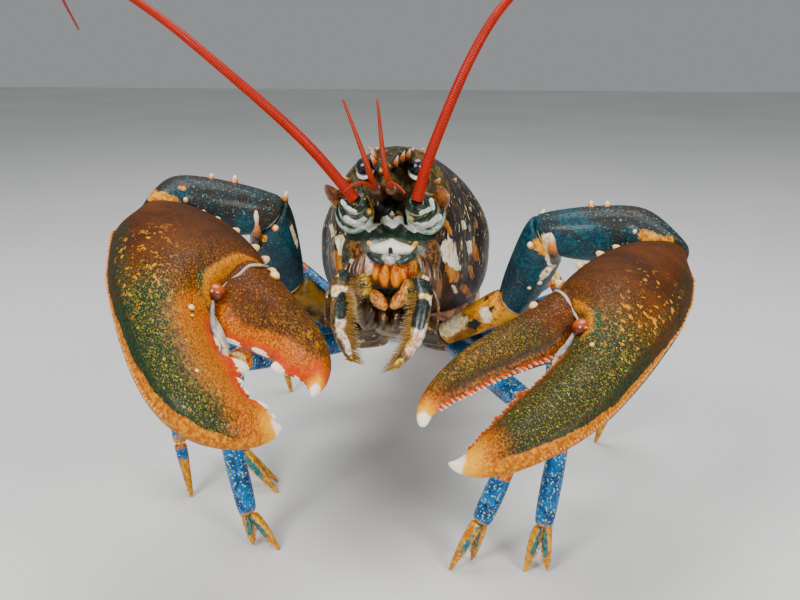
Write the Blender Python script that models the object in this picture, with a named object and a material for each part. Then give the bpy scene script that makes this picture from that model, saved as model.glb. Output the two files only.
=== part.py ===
"""European lobster, Homarus gammarus, life size, standing with both claws raised.

Lengths are in millimetres and turned into metres when a mesh is made. The animal faces -Y, its
left side is +X, and it stands on z = 0. Places on the shell are given in body terms: x to the
left, back behind the front edge of the carapace, up above the body's axis, which is pitched
head-up. The limbs are chains of straight segments cut on the bisecting plane of each joint.
"""
import math
import random

import bmesh
import bpy
from mathutils import Vector

MM = 0.001
GAP = 0.3
SEED = 11
SIDES = ("right", "left")
SIGN = {"right": -1.0, "left": 1.0}

# Stance
AXIS_HEIGHT = 116.0
PITCH = math.radians(15.0)
FORWARD = Vector((0.0, -math.cos(PITCH), math.sin(PITCH)))
UPWARD = Vector((0.0, math.sin(PITCH), math.cos(PITCH)))

# Carapace and what it covers
CARAPACE_FLOOR = -34.0
CARAPACE_STATIONS = (
    (0.0, 21.5, 28.5, -26.0), (6.0, 24.0, 31.0, -30.0), (14.0, 26.5, 33.5, -33.0),
    (25.0, 29.5, 35.0, -34.0), (38.0, 32.0, 36.0, -34.0), (50.0, 34.0, 36.2, -34.0),
    (62.0, 35.2, 36.0, -34.0), (70.0, 35.2, 35.2, -34.0), (74.0, 35.0, 34.6, -34.0),
    (79.0, 35.8, 35.8, -34.0), (90.0, 36.0, 35.8, -34.0), (104.0, 34.8, 34.0, -33.0),
    (114.0, 33.0, 31.8, -31.5), (120.0, 31.5, 30.2, -30.0))
GROOVE_BACK = 74.0
GROOVE_REACH = 44.0
ROSTRUM = (
    (14.0, 28.2, 9.5, 4.5), (2.0, 26.8, 8.4, 3.6), (-5.0, 25.4, 6.4, 2.9), (-14.0, 23.0, 5.4, 2.5),
    (-23.0, 20.0, 3.9, 2.1), (-29.0, 17.8, 2.2, 1.4), (-34.0, 16.2, 0.5, 0.5))
# Teeth of the rostrum and spines of the shell's front, in body terms: back, side, up (and length)
ROSTRUM_TEETH = ((-3.0, 6.0, 26.2), (-10.5, 4.9, 24.4), (-17.5, 4.0, 22.0), (-24.0, 2.8, 19.6))
SHELL_SPINES = ((1.5, 16.8, 17.8, 7.0), (1.5, 20.4, 11.5, 7.5), (12.0, 9.5, 30.6, 5.5),
                (24.0, 22.5, 22.5, 5.0), (30.0, 28.6, 10.5, 5.0))
THORAX_STATIONS = (
    (16.0, 8.0, 3.6), (30.0, 10.0, 4.6), (60.0, 12.5, 4.8), (90.0, 14.0, 4.8), (112.0, 12.0, 3.8))

# Abdomen and tail fan
ABDOMEN_ROOT = (121.0, 2.0)
SOMITE_LENGTH = 21.0
SOMITE_SLOPES = (20.0, 30.0, 38.0, 43.0, 40.0, 27.0)
SOMITE_SIZES = ((28.5, 25.0), (29.0, 26.0), (28.6, 25.0), (27.4, 23.0), (25.6, 20.5), (23.6, 17.0))
FAN_PLATES = (
    ("telson", 0.0, 0.0, 0.0, 34.0, 8.0, 12.0), ("uropod_inner", 12.0, -0.5, 32.0, 36.0, 2.8, 8.6),
    ("uropod_outer", 18.6, -2.5, 67.0, 37.0, 2.6, 8.2))

SWIMMERET_SOMITES = (1, 2, 3, 4)
# Half section of a tail plate, domed above and flat below: share of the half width, of the thickness
PLATE_SECTION = ((1.0, -0.1), (0.88, 0.5), (0.5, 0.86), (0.0, 1.0), (-0.5, 0.86), (-0.88, 0.5),
                 (-1.0, -0.1), (-0.9, -1.0), (-0.45, -1.0), (0.0, -1.0), (0.45, -1.0), (0.9, -1.0))

# Joint places of the limbs, in world millimetres: hip, knee, wrist, ankle, foot
LEG_PATHS = {
    (2, "right"): ((-21, 43, 57), (-58, -20, 66), (-58, -34, 43), (-49, -41, 12), (-37, -44, 0)),
    (2, "left"): ((21, 43, 57), (55, -34, 58), (47, -44, 38), (38.5, -48, 18), (28, -51, 0)),
    (3, "right"): ((-26, 57, 56), (-72, 26, 64), (-83, 19, 39), (-65, 9, 15), (-49, 3, 0)),
    (3, "left"): ((26, 57, 56), (64, -12, 74), (66, -37, 47), (61, -45, 16), (55, -49, 0)),
    (4, "right"): ((-26, 73, 52), (-80, 32, 73), (-92, 11, 50), (-89.5, 0, 22), (-84, -5, 0)),
    (4, "left"): ((26, 73, 52), (80, 60, 78), (96, 68, 52), (94, 71, 23), (88, 74, 0)),
    (5, "right"): ((-22, 88, 48), (-62, 110, 73), (-77, 122, 47), (-76, 126, 20), (-71, 124, 0)),
    (5, "left"): ((22, 88, 48), (66, 113, 71), (80, 126, 45), (79, 131, 19), (75, 133, 0))}
LEG_WIDTHS = {2: 1.0, 3: 0.98, 4: 0.92, 5: 0.86}
CHELATE = (2, 3)
# Where the second finger's tip of each small pincer lies from the first one's
PINCER_SPREAD = {(2, "right"): (-10.0, 1.0, 0.0), (2, "left"): (7.5, 7.0, 0.0),
                 (3, "right"): (-2.0, 9.0, 0.0), (3, "left"): (8.0, 0.5, 0.0)}
ARM_PATHS = {
    "right": ((-19, 25.8, 66), (-44.5, 17.1, 87.4), (-46.6, -6.5, 120.9), (-77.5, -20, 128.2),
              (-78.9, -33.9, 130.5), (-15, -115.7, 80.7)),
    "left": ((19, 25.8, 66), (47.1, 16.8, 83.3), (59.9, -1.3, 114.7), (93, -7, 117.6),
             (102.6, -21.6, 116.9), (29.8, -113.6, 71.8))}
CLAW_NORMALS = {"right": (0.331, -0.289, 0.898), "left": (-0.126, -0.355, 0.926)}

# Claw outlines, from the wrist: outer edge point, inner edge point, half thickness
CRUSHER_PALM = (
    ((-2.0, -6.0), (2.5, 8.0), 6.0), ((5.0, -10.5), (6.0, 14.5), 8.6), ((14.0, -17.5), (14.0, 20.0), 11.2),
    ((27.0, -25.8), (27.0, 22.8), 14.2), ((40.0, -30.4), (42.0, 24.0), 15.8),
    ((51.0, -33.0), (51.5, 22.3), 16.0), ((62.0, -34.6), (62.0, 0.0), 14.5),
    ((74.0, -35.6), (74.0, -7.8), 12.0), ((86.0, -36.3), (84.0, -7.6), 11.0),
    ((98.0, -35.7), (95.0, -7.0), 10.0), ((108.0, -32.8), (103.0, -7.2), 8.5),
    ((115.0, -28.0), (108.5, -5.5), 7.0), ((120.0, -20.4), (112.5, -3.6), 5.0),
    ((121.8, -12.5), (114.8, -2.3), 3.0), ((120.0, -5.6), (116.2, -1.2), 1.2))
CRUSHER_FINGER = (
    ((53.4, 23.0), (63.6, 1.6), 10.5), ((62.0, 24.8), (69.0, -0.6), 11.0),
    ((70.0, 26.4), (75.4, 0.8), 10.5),
    ((79.0, 27.2), (80.5, 6.0), 9.3), ((87.0, 26.8), (86.3, 8.6), 8.0), ((94.0, 25.2), (92.4, 12.0), 6.3),
    ((100.0, 21.6), (97.0, 14.2), 4.5), ((104.0, 17.2), (101.0, 13.8), 2.8),
    ((106.0, 13.6), (104.8, 12.4), 0.9))
CUTTER_PALM = (
    ((-2.5, -4.0), (5.5, 8.6), 5.6), ((5.0, -9.0), (7.5, 14.0), 7.8), ((12.0, -15.5), (13.5, 16.6), 9.8),
    ((25.0, -22.0), (24.0, 18.6), 12.0), ((39.0, -26.3), (37.0, 18.5), 13.4),
    ((52.0, -28.3), (51.0, 16.6), 13.0), ((60.0, -29.2), (60.0, 0.5), 11.5),
    ((72.0, -30.0), (72.0, -4.0), 9.5), ((84.0, -30.5), (84.0, -4.4), 8.5),
    ((95.0, -29.3), (96.0, -3.6), 7.5), ((105.0, -26.3), (106.0, -3.7), 6.5),
    ((114.0, -22.6), (113.5, -4.2), 5.3), ((121.0, -18.4), (119.5, -4.7), 4.0),
    ((126.3, -13.0), (124.5, -4.4), 2.6), ((128.0, -6.6), (126.6, -2.0), 1.0))
CUTTER_FINGER = (
    ((53.0, 17.3), (61.8, 1.9), 8.6), ((62.0, 18.2), (68.0, 1.0), 8.8), ((70.0, 20.8), (75.0, 2.4), 8.0),
    ((80.0, 23.6), (83.0, 5.5), 7.0), ((90.0, 25.0), (92.0, 8.6), 6.0), ((100.0, 24.6), (101.0, 11.6), 5.0),
    ((109.0, 22.8), (108.5, 14.3), 3.8), ((115.5, 19.8), (113.8, 14.6), 2.4),
    ((119.6, 15.0), (118.0, 12.6), 0.9))
# How far the palm lies below the claw's plane at its root, and where it reaches that plane
PALM_SINK = {"right": 6.0, "left": 4.6}
SINK_END = 52.0
# Forms of the claws: distance from the wrist, radius, height
RIM_COUNT = 14
RIM_RADIUS = {"right": 2.0, "left": 1.6}
PALM_TEETH = {
    "right": ((68.0, 2.4, 1.8), (73.5, 3.0, 2.4), (80.5, 3.8, 3.2), (89.0, 4.4, 4.2), (97.0, 3.2, 3.0),
              (103.0, 2.6, 2.4), (108.0, 1.9, 1.8), (112.0, 1.4, 1.4)),
    "left": tuple((a, 1.5, 2.6 if k in (4, 9) else 1.7) for k, a in enumerate(range(67, 120, 5)))}
FINGER_TEETH = {
    "right": ((67.5, 2.6, 1.6), (73.0, 3.2, 2.2), (79.0, 3.6, 2.8), (85.2, 2.8, 2.4), (90.5, 2.2, 2.0),
              (95.5, 1.5, 1.5)),
    "left": tuple((a, 1.4, 2.4 if k == 3 else 1.6) for k, a in enumerate(range(68, 112, 5)))}
INNER_SPINES = {
    "right": ((4.5, 1.9, 3.0), (12.0, 2.2, 4.4), (23.0, 2.4, 4.8), (34.0, 2.4, 4.6), (42.0, 2.2, 4.0),
              (50.0, 2.2, 3.6)),
    "left": ((7.0, 1.9, 4.0), (14.5, 2.2, 5.6), (26.0, 2.3, 5.8), (38.0, 2.3, 5.4), (49.0, 2.0, 3.8))}
HINGE_KNOB = {"right": (64.5, -4.4, 8.6), "left": (64.5, -6.4, 7.6)}
# Spines of the claw arm: share of the length, direction off the axis, length
MERUS_SPINES = (
    (0.82, (0.1, -0.55, 0.6), 6.0), (0.8, (0.75, -0.5, 0.1), 5.0), (0.55, (-0.5, -0.8, 0.0), 4.5))
CARPUS_SPINES = (
    (0.24, (-0.2, -0.9, 0.1), 6.5), (0.35, (0.0, -0.1, 1.0), 5.0), (0.62, (0.0, -0.35, 0.95), 5.5),
    (0.55, (0.0, -0.95, 0.25), 5.0), (0.88, (0.0, -0.6, 0.8), 4.5))
CLAWS = {"right": (CRUSHER_PALM, CRUSHER_FINGER), "left": (CUTTER_PALM, CUTTER_FINGER)}
CLAW_SIDES = 16

# Feelers: places along each, in world millimetres
ANTENNA_PATHS = {
    "right": ((-28, -30, 153), (-58.6, -31.7, 180), (-81.6, -25, 196), (-112, -4, 210), (-138, 28, 214),
              (-158, 68, 207), (-170, 112, 190)),
    "left": ((17.9, -25.5, 148.7), (30.4, -20.9, 179.3), (42.7, -8.7, 199.4), (62, 16, 217), (86, 50, 226),
             (112, 90, 225), (134, 132, 212))}
ANTENNA_RADII = (2.1, 0.45)
OUTER_WHIP_RADII = (1.3, 0.4)
INNER_WHIP_RADII = (1.0, 0.35)
# Antennule whips, in body terms
ANTENNULE_PATHS = {
    "right": ((-3.6, -37.5, 15.0), (-5.6, -39.0, 22.0), (-13.6, -36.7, 41.8)),
    "left": ((2.2, -37.5, 15.0), (1.2, -39.0, 22.0), (-1.6, -35.5, 42.0))}
INNER_WHIP = ((3.4, -39.0, 12.2), (6.0, -44.0, 12.4), (9.2, -48.0, 9.4), (10.6, -50.5, 4.5))


def body(x, back, up):
    """World place of a point on the body, in millimetres."""
    return Vector((x, 0.0, AXIS_HEIGHT)) - back * FORWARD + up * UPWARD


def material(name, colour, roughness):
    """Return a plain Principled material."""
    made = bpy.data.materials.new(name)
    made.use_nodes = True
    shader = made.node_tree.nodes["Principled BSDF"]
    shader.inputs["Base Color"].default_value = (*colour, 1.0)
    shader.inputs["Roughness"].default_value = roughness
    shader.inputs["Metallic"].default_value = 0.0
    return made


def mesh_object(name, rings, tip=None):
    """Return a closed object lofted through rings of equal count, with flat ends or a pointed tip."""
    shape = bmesh.new()
    rows = [[shape.verts.new(point * MM) for point in ring] for ring in rings]
    count = len(rows[0])
    for first, second in zip(rows, rows[1:]):
        for i in range(count):
            j = (i + 1) % count
            shape.faces.new((first[i], first[j], second[j], second[i]))
    shape.faces.new(list(reversed(rows[0])))
    if tip is None:
        shape.faces.new(rows[-1])
    else:
        point = shape.verts.new(tip * MM)
        for i in range(count):
            shape.faces.new((rows[-1][i], rows[-1][(i + 1) % count], point))
    bmesh.ops.recalc_face_normals(shape, faces=shape.faces)
    if shape.calc_volume(signed=True) < 0.0:
        bmesh.ops.reverse_faces(shape, faces=shape.faces)
    bmesh.ops.triangulate(shape, faces=shape.faces)
    mesh = bpy.data.meshes.new(name)
    shape.to_mesh(mesh)
    shape.free()
    made = bpy.data.objects.new(name, mesh)
    bpy.context.scene.collection.objects.link(made)
    return made


def power_pair(angle, power):
    """Return the unit superellipse point at an angle."""
    c, s = math.cos(angle), math.sin(angle)
    bend = 2.0 / power
    return math.copysign(abs(c) ** bend, c), math.copysign(abs(s) ** bend, s)


def segment_rings(start, end, normals, profile, guide, count=10, power=2.0):
    """Rings of one limb segment whose ribs run along its axis between two cutting planes.

    profile lists (share of the length, half width along guide, half depth across it).
    """
    axis = (end - start).normalized()
    length = (end - start).length
    side = (guide - guide.dot(axis) * axis).normalized()
    depth = axis.cross(side)
    first, last = normals
    rings = []
    for share, half_width, half_depth in profile:
        ring = []
        for i in range(count):
            c, s = power_pair(math.tau * i / count, power)
            lateral = side * (half_width * c) + depth * (half_depth * s)
            low = -lateral.dot(first) / axis.dot(first)
            high = length - lateral.dot(last) / axis.dot(last)
            ring.append(start + lateral + axis * (low * (1.0 - share) + high * share))
        rings.append(ring)
    return rings


def joint_normal(before, at, after):
    """Normal of the plane that halves the angle of a joint."""
    return ((at - before).normalized() + (after - at).normalized()).normalized()


def chain(points, normals):
    """Cutting-plane normals at every point of a chain, with given end normals where not None."""
    found = []
    for i, point in enumerate(points):
        if i == 0:
            found.append(normals[0] or (points[1] - point).normalized())
        elif i == len(points) - 1:
            found.append(normals[1] or (point - points[-2]).normalized())
        else:
            found.append(joint_normal(points[i - 1], point, points[i + 1]))
    return found


def trimmed(points, cuts, gaps):
    """Move a chain's ends inwards so that it clears its neighbours by half the gap each."""
    out = list(points)
    if gaps[0]:
        axis = (points[1] - points[0]).normalized()
        out[0] = points[0] + axis * (GAP / 2.0 / axis.dot(cuts[0]))
    if gaps[1]:
        axis = (points[-1] - points[-2]).normalized()
        out[-1] = points[-1] - axis * (GAP / 2.0 / axis.dot(cuts[-1]))
    return out


def limb(name, points, profiles, guide, normals=(None, None), gaps=(True, True), count=10, power=2.0):
    """A limb part along a chain of points, one profile for each straight stretch."""
    cuts = chain(points, normals)
    points = trimmed(points, cuts, gaps)
    rings = []
    for i, profile in enumerate(profiles):
        stretch = segment_rings(points[i], points[i + 1], cuts[i:i + 2], profile, guide, count, power)
        rings.extend(stretch if i == 0 else stretch[1:])
    return mesh_object(name, rings)


def spike(root, direction, radius, length, sides=5, shape=((-0.15, 1.0), (0.5, 0.62))):
    """A small cone, or a knob with a rounder shape, whose base is sunk below root."""
    axis = direction.normalized()
    across = axis.orthogonal().normalized()
    depth = axis.cross(across)
    rings = []
    for share, swell in shape:
        rings.append([root + axis * (length * share)
                      + radius * swell * (across * math.cos(a) + depth * math.sin(a))
                      for a in (math.tau * k / sides for k in range(sides))])
    return mesh_object("spike", rings, root + axis * length)


def knob(root, direction, radius, height, sides=5):
    """A low rounded tubercle."""
    return spike(root, direction, radius, height, sides, ((-0.4, 0.95), (0.62, 0.85)))


def varied(size, spread=0.18):
    """A size with a small seeded variation."""
    return size * random.uniform(1.0 - spread, 1.0 + spread)


def ball(centre, radii, axes, sides=8, rows=5):
    """A closed ellipsoid with its radii along three directions."""
    rings = []
    for j in range(1, rows):
        polar = math.pi * j / rows
        rings.append([centre + axes[0] * (radii[0] * math.sin(polar) * math.cos(a))
                      + axes[1] * (radii[1] * math.sin(polar) * math.sin(a))
                      + axes[2] * (radii[2] * math.cos(polar))
                      for a in (math.tau * k / sides for k in range(sides))])
    return mesh_object("ball", rings)


def smooth_path(points, steps):
    """Points on a Catmull-Rom curve through the given ones."""
    ends = [2 * points[0] - points[1]] + list(points) + [2 * points[-1] - points[-2]]
    out = []
    for a, b, c, d in zip(ends, ends[1:], ends[2:], ends[3:]):
        for k in range(steps):
            t = k / steps
            out.append(0.5 * (2 * b + (c - a) * t + (2 * a - 5 * b + 4 * c - d) * t * t
                              + (3 * b - 3 * c + d - a) * t * t * t))
    return out + [points[-1]]


def whip(name, points, radii, steps=4, count=6):
    """A tapered feeler along a smooth path."""
    path = smooth_path(points, steps)
    side = (path[1] - path[0]).cross(Vector((0.0, 0.0, 1.0))).normalized()
    rings = []
    for i, point in enumerate(path):
        axis = (path[min(i + 1, len(path) - 1)] - path[max(i - 1, 0)]).normalized()
        side = (side - side.dot(axis) * axis).normalized()
        depth = axis.cross(side)
        share = i / (len(path) - 1)
        radius = radii[0] + (radii[1] - radii[0]) * share
        rings.append([point + radius * (side * math.cos(a) + depth * math.sin(a))
                      for a in (math.tau * k / count for k in range(count))])
    return mesh_object(name, rings)


def shell_ring(back, half_width, top, bottom, count=28, power=2.2, groove=0.0):
    """Cross-section of the carapace, rounded above and flattened below."""
    ring = []
    for i in range(count):
        angle = math.tau * i / count
        c, s = math.cos(angle), math.sin(angle)
        bend = 2.0 / (power if s > 0.0 else 2.9)
        x = math.copysign(abs(c) ** bend, c) * half_width
        up = abs(s) ** bend * (top if s > 0.0 else bottom)
        lean = groove * (1.0 - max(s, 0.0)) ** 0.8
        ring.append(body(x, back - lean, up))
    return ring


def make_carapace():
    """Carapace with its rostrum; the cervical groove leans forward down the flanks."""
    rings = []
    for back, half_width, top, bottom in CARAPACE_STATIONS:
        near = max(0.0, 1.0 - abs(back - GROOVE_BACK) / GROOVE_REACH)
        rings.append(shell_ring(back, half_width, top, bottom, groove=near * 30.0))
    shell = mesh_object("carapace", rings)
    rostrum = []
    for back, up, half_width, half_depth in ROSTRUM:
        rostrum.append([body(half_width * c, back, up + half_depth * s)
                        for c, s in (power_pair(math.tau * k / 12, 1.7) for k in range(12))])
    parts = [mesh_object("rostrum", rostrum)]
    for side in SIDES:
        s = SIGN[side]
        for back, x, up in ROSTRUM_TEETH:
            parts.append(spike(body(x * s, back, up), FORWARD + Vector((0.75 * s, 0, 0)) + 0.25 * UPWARD,
                               1.5, varied(4.6)))
        for back, x, up, length in SHELL_SPINES:
            parts.append(spike(body(x * s, back, up), FORWARD + Vector((0.3 * s, 0, 0)) + 0.2 * UPWARD,
                               1.9, length))
    return fuse(shell, parts)


def make_thorax():
    """Breast plate under the carapace, with a stub for each leg and claw arm."""
    rings = []
    for back, half_width, half_depth in THORAX_STATIONS:
        middle = CARAPACE_FLOOR - GAP - half_depth
        rings.append([body(half_width * c, back, middle + half_depth * s)
                      for c, s in (power_pair(math.tau * k / 16, 3.0) for k in range(16))])
    plate = mesh_object("thorax", rings)
    stubs = []
    for (number, side), path in LEG_PATHS.items():
        hip, knee = Vector(path[0]), Vector(path[1])
        stubs.append(hip_stub(hip, knee, 5.0 * LEG_WIDTHS[number]))
    for side in SIDES:
        hip, elbow = Vector(ARM_PATHS[side][0]), Vector(ARM_PATHS[side][1])
        stubs.append(hip_stub(hip, elbow, 5.4))
    return fuse(plate, stubs)


def hip_stub(hip, knee, radius):
    """Coxa that runs from inside the breast plate to the plane of the hip joint."""
    axis = (knee - hip).normalized()
    root = Vector((hip.x * 0.4, hip.y - 7.0 * axis.y, hip.z + 0.8))
    profile = ((0.0, radius, radius), (0.6, radius, radius), (1.0, radius * 0.86, radius * 0.86))
    return limb("stub", [root, hip], [profile], Vector((0, 0, 1)), normals=(None, axis),
                gaps=(False, True), count=7)


def make_head_front():
    """Epistome and mouth parts that fill the front of the carapace."""
    block = []
    for back, half_width, top, bottom in ((-0.3, 19.5, -5.4, -24.5), (-5.0, 18.5, -5.4, -23.5),
                                          (-9.5, 13.5, -5.8, -21.5), (-12.5, 8.5, -7.5, -18.0)):
        middle, half = (top + bottom) / 2.0, (top - bottom) / 2.0
        block.append([body(half_width * c, back, middle + half * s)
                      for c, s in (power_pair(math.tau * k / 16, 2.6) for k in range(16))])
    face = mesh_object("head_front", block)
    bridge = []
    for back, half in ((-0.3, 4.6), (-6.0, 4.4), (-10.0, 3.0)):
        bridge.append([body(half * c, back, 0.5 + 8.0 * s)
                       for c, s in (power_pair(math.tau * k / 10, 3.0) for k in range(10))])
    axes = (Vector((1, 0, 0)), UPWARD, FORWARD)
    parts = [mesh_object("bridge", bridge), ball(body(0, -11.5, -11.5), (4.6, 3.4, 4.2), axes)]
    for side in SIDES:
        parts.append(ball(body(3.5 * SIGN[side], -11.5, -17.8), (3.4, 4.4, 4.4), axes))
        parts.append(ball(body(9.0 * SIGN[side], -10.0, -8.8), (4.2, 2.2, 3.6), axes))
    return fuse(face, parts)


def make_eyes():
    """Each eye on its short stalk, set in the front of the carapace beside the rostrum."""
    profile = ((0.0, 2.6), (1.6, 2.7), (2.6, 3.3), (4.0, 3.7), (5.6, 3.6), (7.2, 2.7), (8.2, 1.2))
    made = []
    for side in SIDES:
        root = body(9.0 * SIGN[side], -GAP, 20.6)
        tip = body(11.2 * SIGN[side], -8.0, 24.2)
        axis = (tip - root).normalized()
        across = axis.cross(UPWARD).normalized()
        depth = axis.cross(across)
        rings = []
        for i, (along, radius) in enumerate(profile):
            ring = []
            for k in range(10):
                a = math.tau * k / 10
                lateral = radius * (across * math.cos(a) + depth * math.sin(a))
                slide = -lateral.dot(FORWARD) / axis.dot(FORWARD) if i == 0 else 0.0
                ring.append(root + lateral + axis * (along + slide))
            rings.append(ring)
        made.append(mesh_object("eye_" + side, rings))
    return made


def make_antennules():
    """Short double feelers between the eyes."""
    made = []
    for side in SIDES:
        s = SIGN[side]
        stem_points = [body(3.4 * s, -GAP, 12.2), body(3.2 * s, -14.0, 12.2), body(2.7 * s, -34.0, 11.2)]
        stem = limb("antennule_" + side, stem_points,
                    [((0.0, 2.7, 2.7), (0.5, 2.9, 2.9), (1.0, 2.4, 2.4)),
                     ((0.0, 2.4, 2.4), (1.0, 1.9, 1.9))],
                    Vector((1, 0, 0)), normals=(FORWARD, None), gaps=(False, False), count=8)
        root = stem_points[1].lerp(stem_points[2], 0.85)
        outer = [root] + [body(*place) for place in ANTENNULE_PATHS[side]]
        inner = [root] + [body(x * s, back, up) for x, back, up in INNER_WHIP]
        whips = [whip("outer", outer, OUTER_WHIP_RADII, 3), whip("inner", inner, INNER_WHIP_RADII, 3)]
        made.append(fuse(stem, whips))
    return made


def make_antennae():
    """Stout bases with their scales, and the long feelers."""
    made = []
    for side in SIDES:
        s = SIGN[side]
        points = [body(13.8 * s, -GAP, 4.2), body(14.2 * s, -10.0, 5.0), body(13.2 * s, -19.0, 6.2),
                  body(12.4 * s, -27.0, 7.6)]
        first = Vector(ANTENNA_PATHS[side][0])
        end_normal = joint_normal(points[-2], points[-1], first)
        base = limb("antenna_base_" + side, points,
                    [((0.0, 8.0, 8.0), (0.5, 8.4, 8.6), (1.0, 7.0, 7.2)),
                     ((0.0, 7.0, 7.2), (0.5, 7.2, 7.2), (1.0, 5.4, 5.6)),
                     ((0.0, 5.4, 5.6), (0.5, 5.2, 5.2), (1.0, 3.4, 3.4))],
                    Vector((1, 0, 0)), normals=(FORWARD, end_normal), gaps=(False, True), count=12)
        scale_rings = []
        for back, x, up, half_width, half_depth in (
                (-3.0, 17.0, 6.0, 4.0, 3.0), (-10.0, 19.5, 8.0, 3.8, 2.0), (-18.0, 19.5, 9.6, 2.8, 1.4),
                (-25.0, 18.0, 10.8, 0.7, 0.6)):
            scale_rings.append([body((x + half_width * c) * s, back, up + half_depth * t)
                                for c, t in (power_pair(math.tau * k / 8, 2.0) for k in range(8))])
        made.append(fuse(base, [mesh_object("scale", scale_rings)]))
        axis = (first - points[-1]).normalized()
        start = points[-1] + axis * 2.6
        made.append(whip("antenna_" + side, [start] + [Vector(p) for p in ANTENNA_PATHS[side]],
                         ANTENNA_RADII))
    return made


def make_maxillipeds():
    """Outer mouth limbs that hang before the mouth, bent at the knee."""
    places = {
        "right": (body(-9, 13.5, -38.5), body(-15.4, -16.8, -20.2), body(-16.0, -19.0, -26.5),
                  body(-14.5, -24.8, -40.4), body(-8.3, -31.2, -50.3)),
        "left": (body(9, 13.5, -38.5), body(13.9, -14.5, -20.6), body(15.4, -16.5, -27.2),
                 body(13.4, -21.5, -42.5), body(6.3, -29.4, -52.7))}
    made = []
    for side in SIDES:
        made.append(limb("maxilliped_" + side, list(places[side]),
                         [((0.0, 3.6, 2.6), (0.5, 4.4, 2.8), (1.0, 3.2, 2.6)),
                          ((0.0, 3.2, 2.6), (1.0, 3.0, 2.8)),
                          ((0.0, 3.0, 2.8), (0.5, 3.2, 3.0), (1.0, 2.4, 2.4)),
                          ((0.0, 2.4, 2.4), (0.6, 1.9, 2.1), (1.0, 0.5, 0.6))],
                         Vector((1, 0, 0)), gaps=(False, False), count=10))
    return made


def palm_drop(distance, sink):
    """How far a point of the palm lies below the claw's plane, at its distance from the wrist."""
    return -sink * max(0.0, 1.0 - max(distance, 0.0) / SINK_END)


def blade(name, sections, wrist, frame, count, sink=0.0):
    """A claw part lofted through flat sections that run from the outer edge to the inner one."""
    along, inward, normal = frame
    rings = []
    for outer, inner, thick in sections:
        o = wrist + along * outer[0] + inward * outer[1]
        i = wrist + along * inner[0] + inward * inner[1]
        drop = normal * palm_drop((outer[0] + inner[0]) / 2.0, sink)
        middle, half = (o + i) / 2.0 + drop, (i - o) / 2.0
        rings.append([middle + half * c + normal * (thick * s)
                      for c, s in (power_pair(math.tau * k / count, 1.9) for k in range(count))])
    return mesh_object(name, rings)


def claw_frame(side):
    """Wrist place and the claw's three directions: along it, inwards across it, off its face."""
    wrist, tip = Vector(ARM_PATHS[side][4]), Vector(ARM_PATHS[side][5])
    along = (tip - wrist).normalized()
    normal = Vector(CLAW_NORMALS[side])
    normal = (normal - normal.dot(along) * along).normalized()
    inward = normal.cross(along) * -SIGN[side]
    return wrist, (along, inward, normal)


def arm_spines(start, end, depth, table, s):
    """Spines on a stretch of the claw arm, pointing off its axis and a little forwards."""
    parts = []
    for share, (x, y, z), length in table:
        direction = Vector((x * s, y, z))
        axis = (end - start).normalized()
        direction = (direction - direction.dot(axis) * axis).normalized()
        root = start.lerp(end, share) + direction * (depth - 1.0)
        parts.append(spike(root, direction + 0.35 * axis, 2.1, length + 1.5))
    return parts


def make_claws():
    """Both claw arms: crusher on the right, cutter on the left."""
    made = []
    for side in SIDES:
        hip, elbow, knee, bend, wrist, _ = (Vector(p) for p in ARM_PATHS[side])
        _, frame = claw_frame(side)
        normal = frame[2]
        palm, finger = CLAWS[side]
        across = (palm[0][1][0] - palm[0][0][0], palm[0][1][1] - palm[0][0][1])
        wrist_plane = (frame[0] * across[1] - frame[1] * across[0]).normalized()
        hip_normal = (elbow - hip).normalized()
        elbow_normal = joint_normal(hip, elbow, knee)
        knee_normal = joint_normal(elbow, knee, bend)
        made.append(limb("cheliped_ischium_" + side, [hip, elbow],
                         [((0.0, 4.8, 4.8), (0.3, 5.6, 5.6), (0.8, 7.2, 6.8), (1.0, 6.8, 6.4))],
                         normal, normals=(hip_normal, elbow_normal), count=12))
        merus = limb("cheliped_merus_" + side, [elbow, knee],
                     [((0.0, 6.8, 6.4), (0.25, 8.2, 8.0), (0.75, 9.4, 8.8), (1.0, 8.0, 7.6))],
                     normal, normals=(elbow_normal, knee_normal), count=12)
        made.append(fuse(merus, arm_spines(elbow, knee, 7.6, MERUS_SPINES, SIGN[side])))
        palm_root = wrist + normal * palm_drop(0.0, PALM_SINK[side])
        carpus = limb("cheliped_carpus_" + side, [knee, bend, palm_root],
                      [((0.0, 8.0, 7.6), (0.25, 9.4, 9.4), (0.7, 10.4, 10.0), (1.0, 9.6, 9.2)),
                       ((0.0, 9.6, 9.2), (0.5, 8.2, 7.8), (1.0, 6.2, 5.2))],
                      normal, normals=(knee_normal, wrist_plane), count=14)
        made.append(fuse(carpus, arm_spines(knee, bend, 9.4, CARPUS_SPINES, SIGN[side])))
        palm_body = blade("cheliped_palm_" + side, palm, wrist, frame, CLAW_SIDES, PALM_SINK[side])
        finger_body = blade("cheliped_finger_" + side, finger, wrist, frame, CLAW_SIDES)
        made.append(fuse(palm_body, palm_forms(side, palm, wrist, frame)))
        made.append(fuse(finger_body, finger_forms(side, finger, wrist, frame)))
    return made


def edge_point(sections, edge, along):
    """Point of a claw outline at a distance from the wrist; edge 0 is the outer one, 1 the inner."""
    outline = [section[edge] for section in sections]
    for first, second in zip(outline, outline[1:]):
        if first[0] <= along <= second[0]:
            share = (along - first[0]) / (second[0] - first[0])
            return first[0] + share * (second[0] - first[0]), first[1] + share * (second[1] - first[1])
    return outline[-1]


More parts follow.
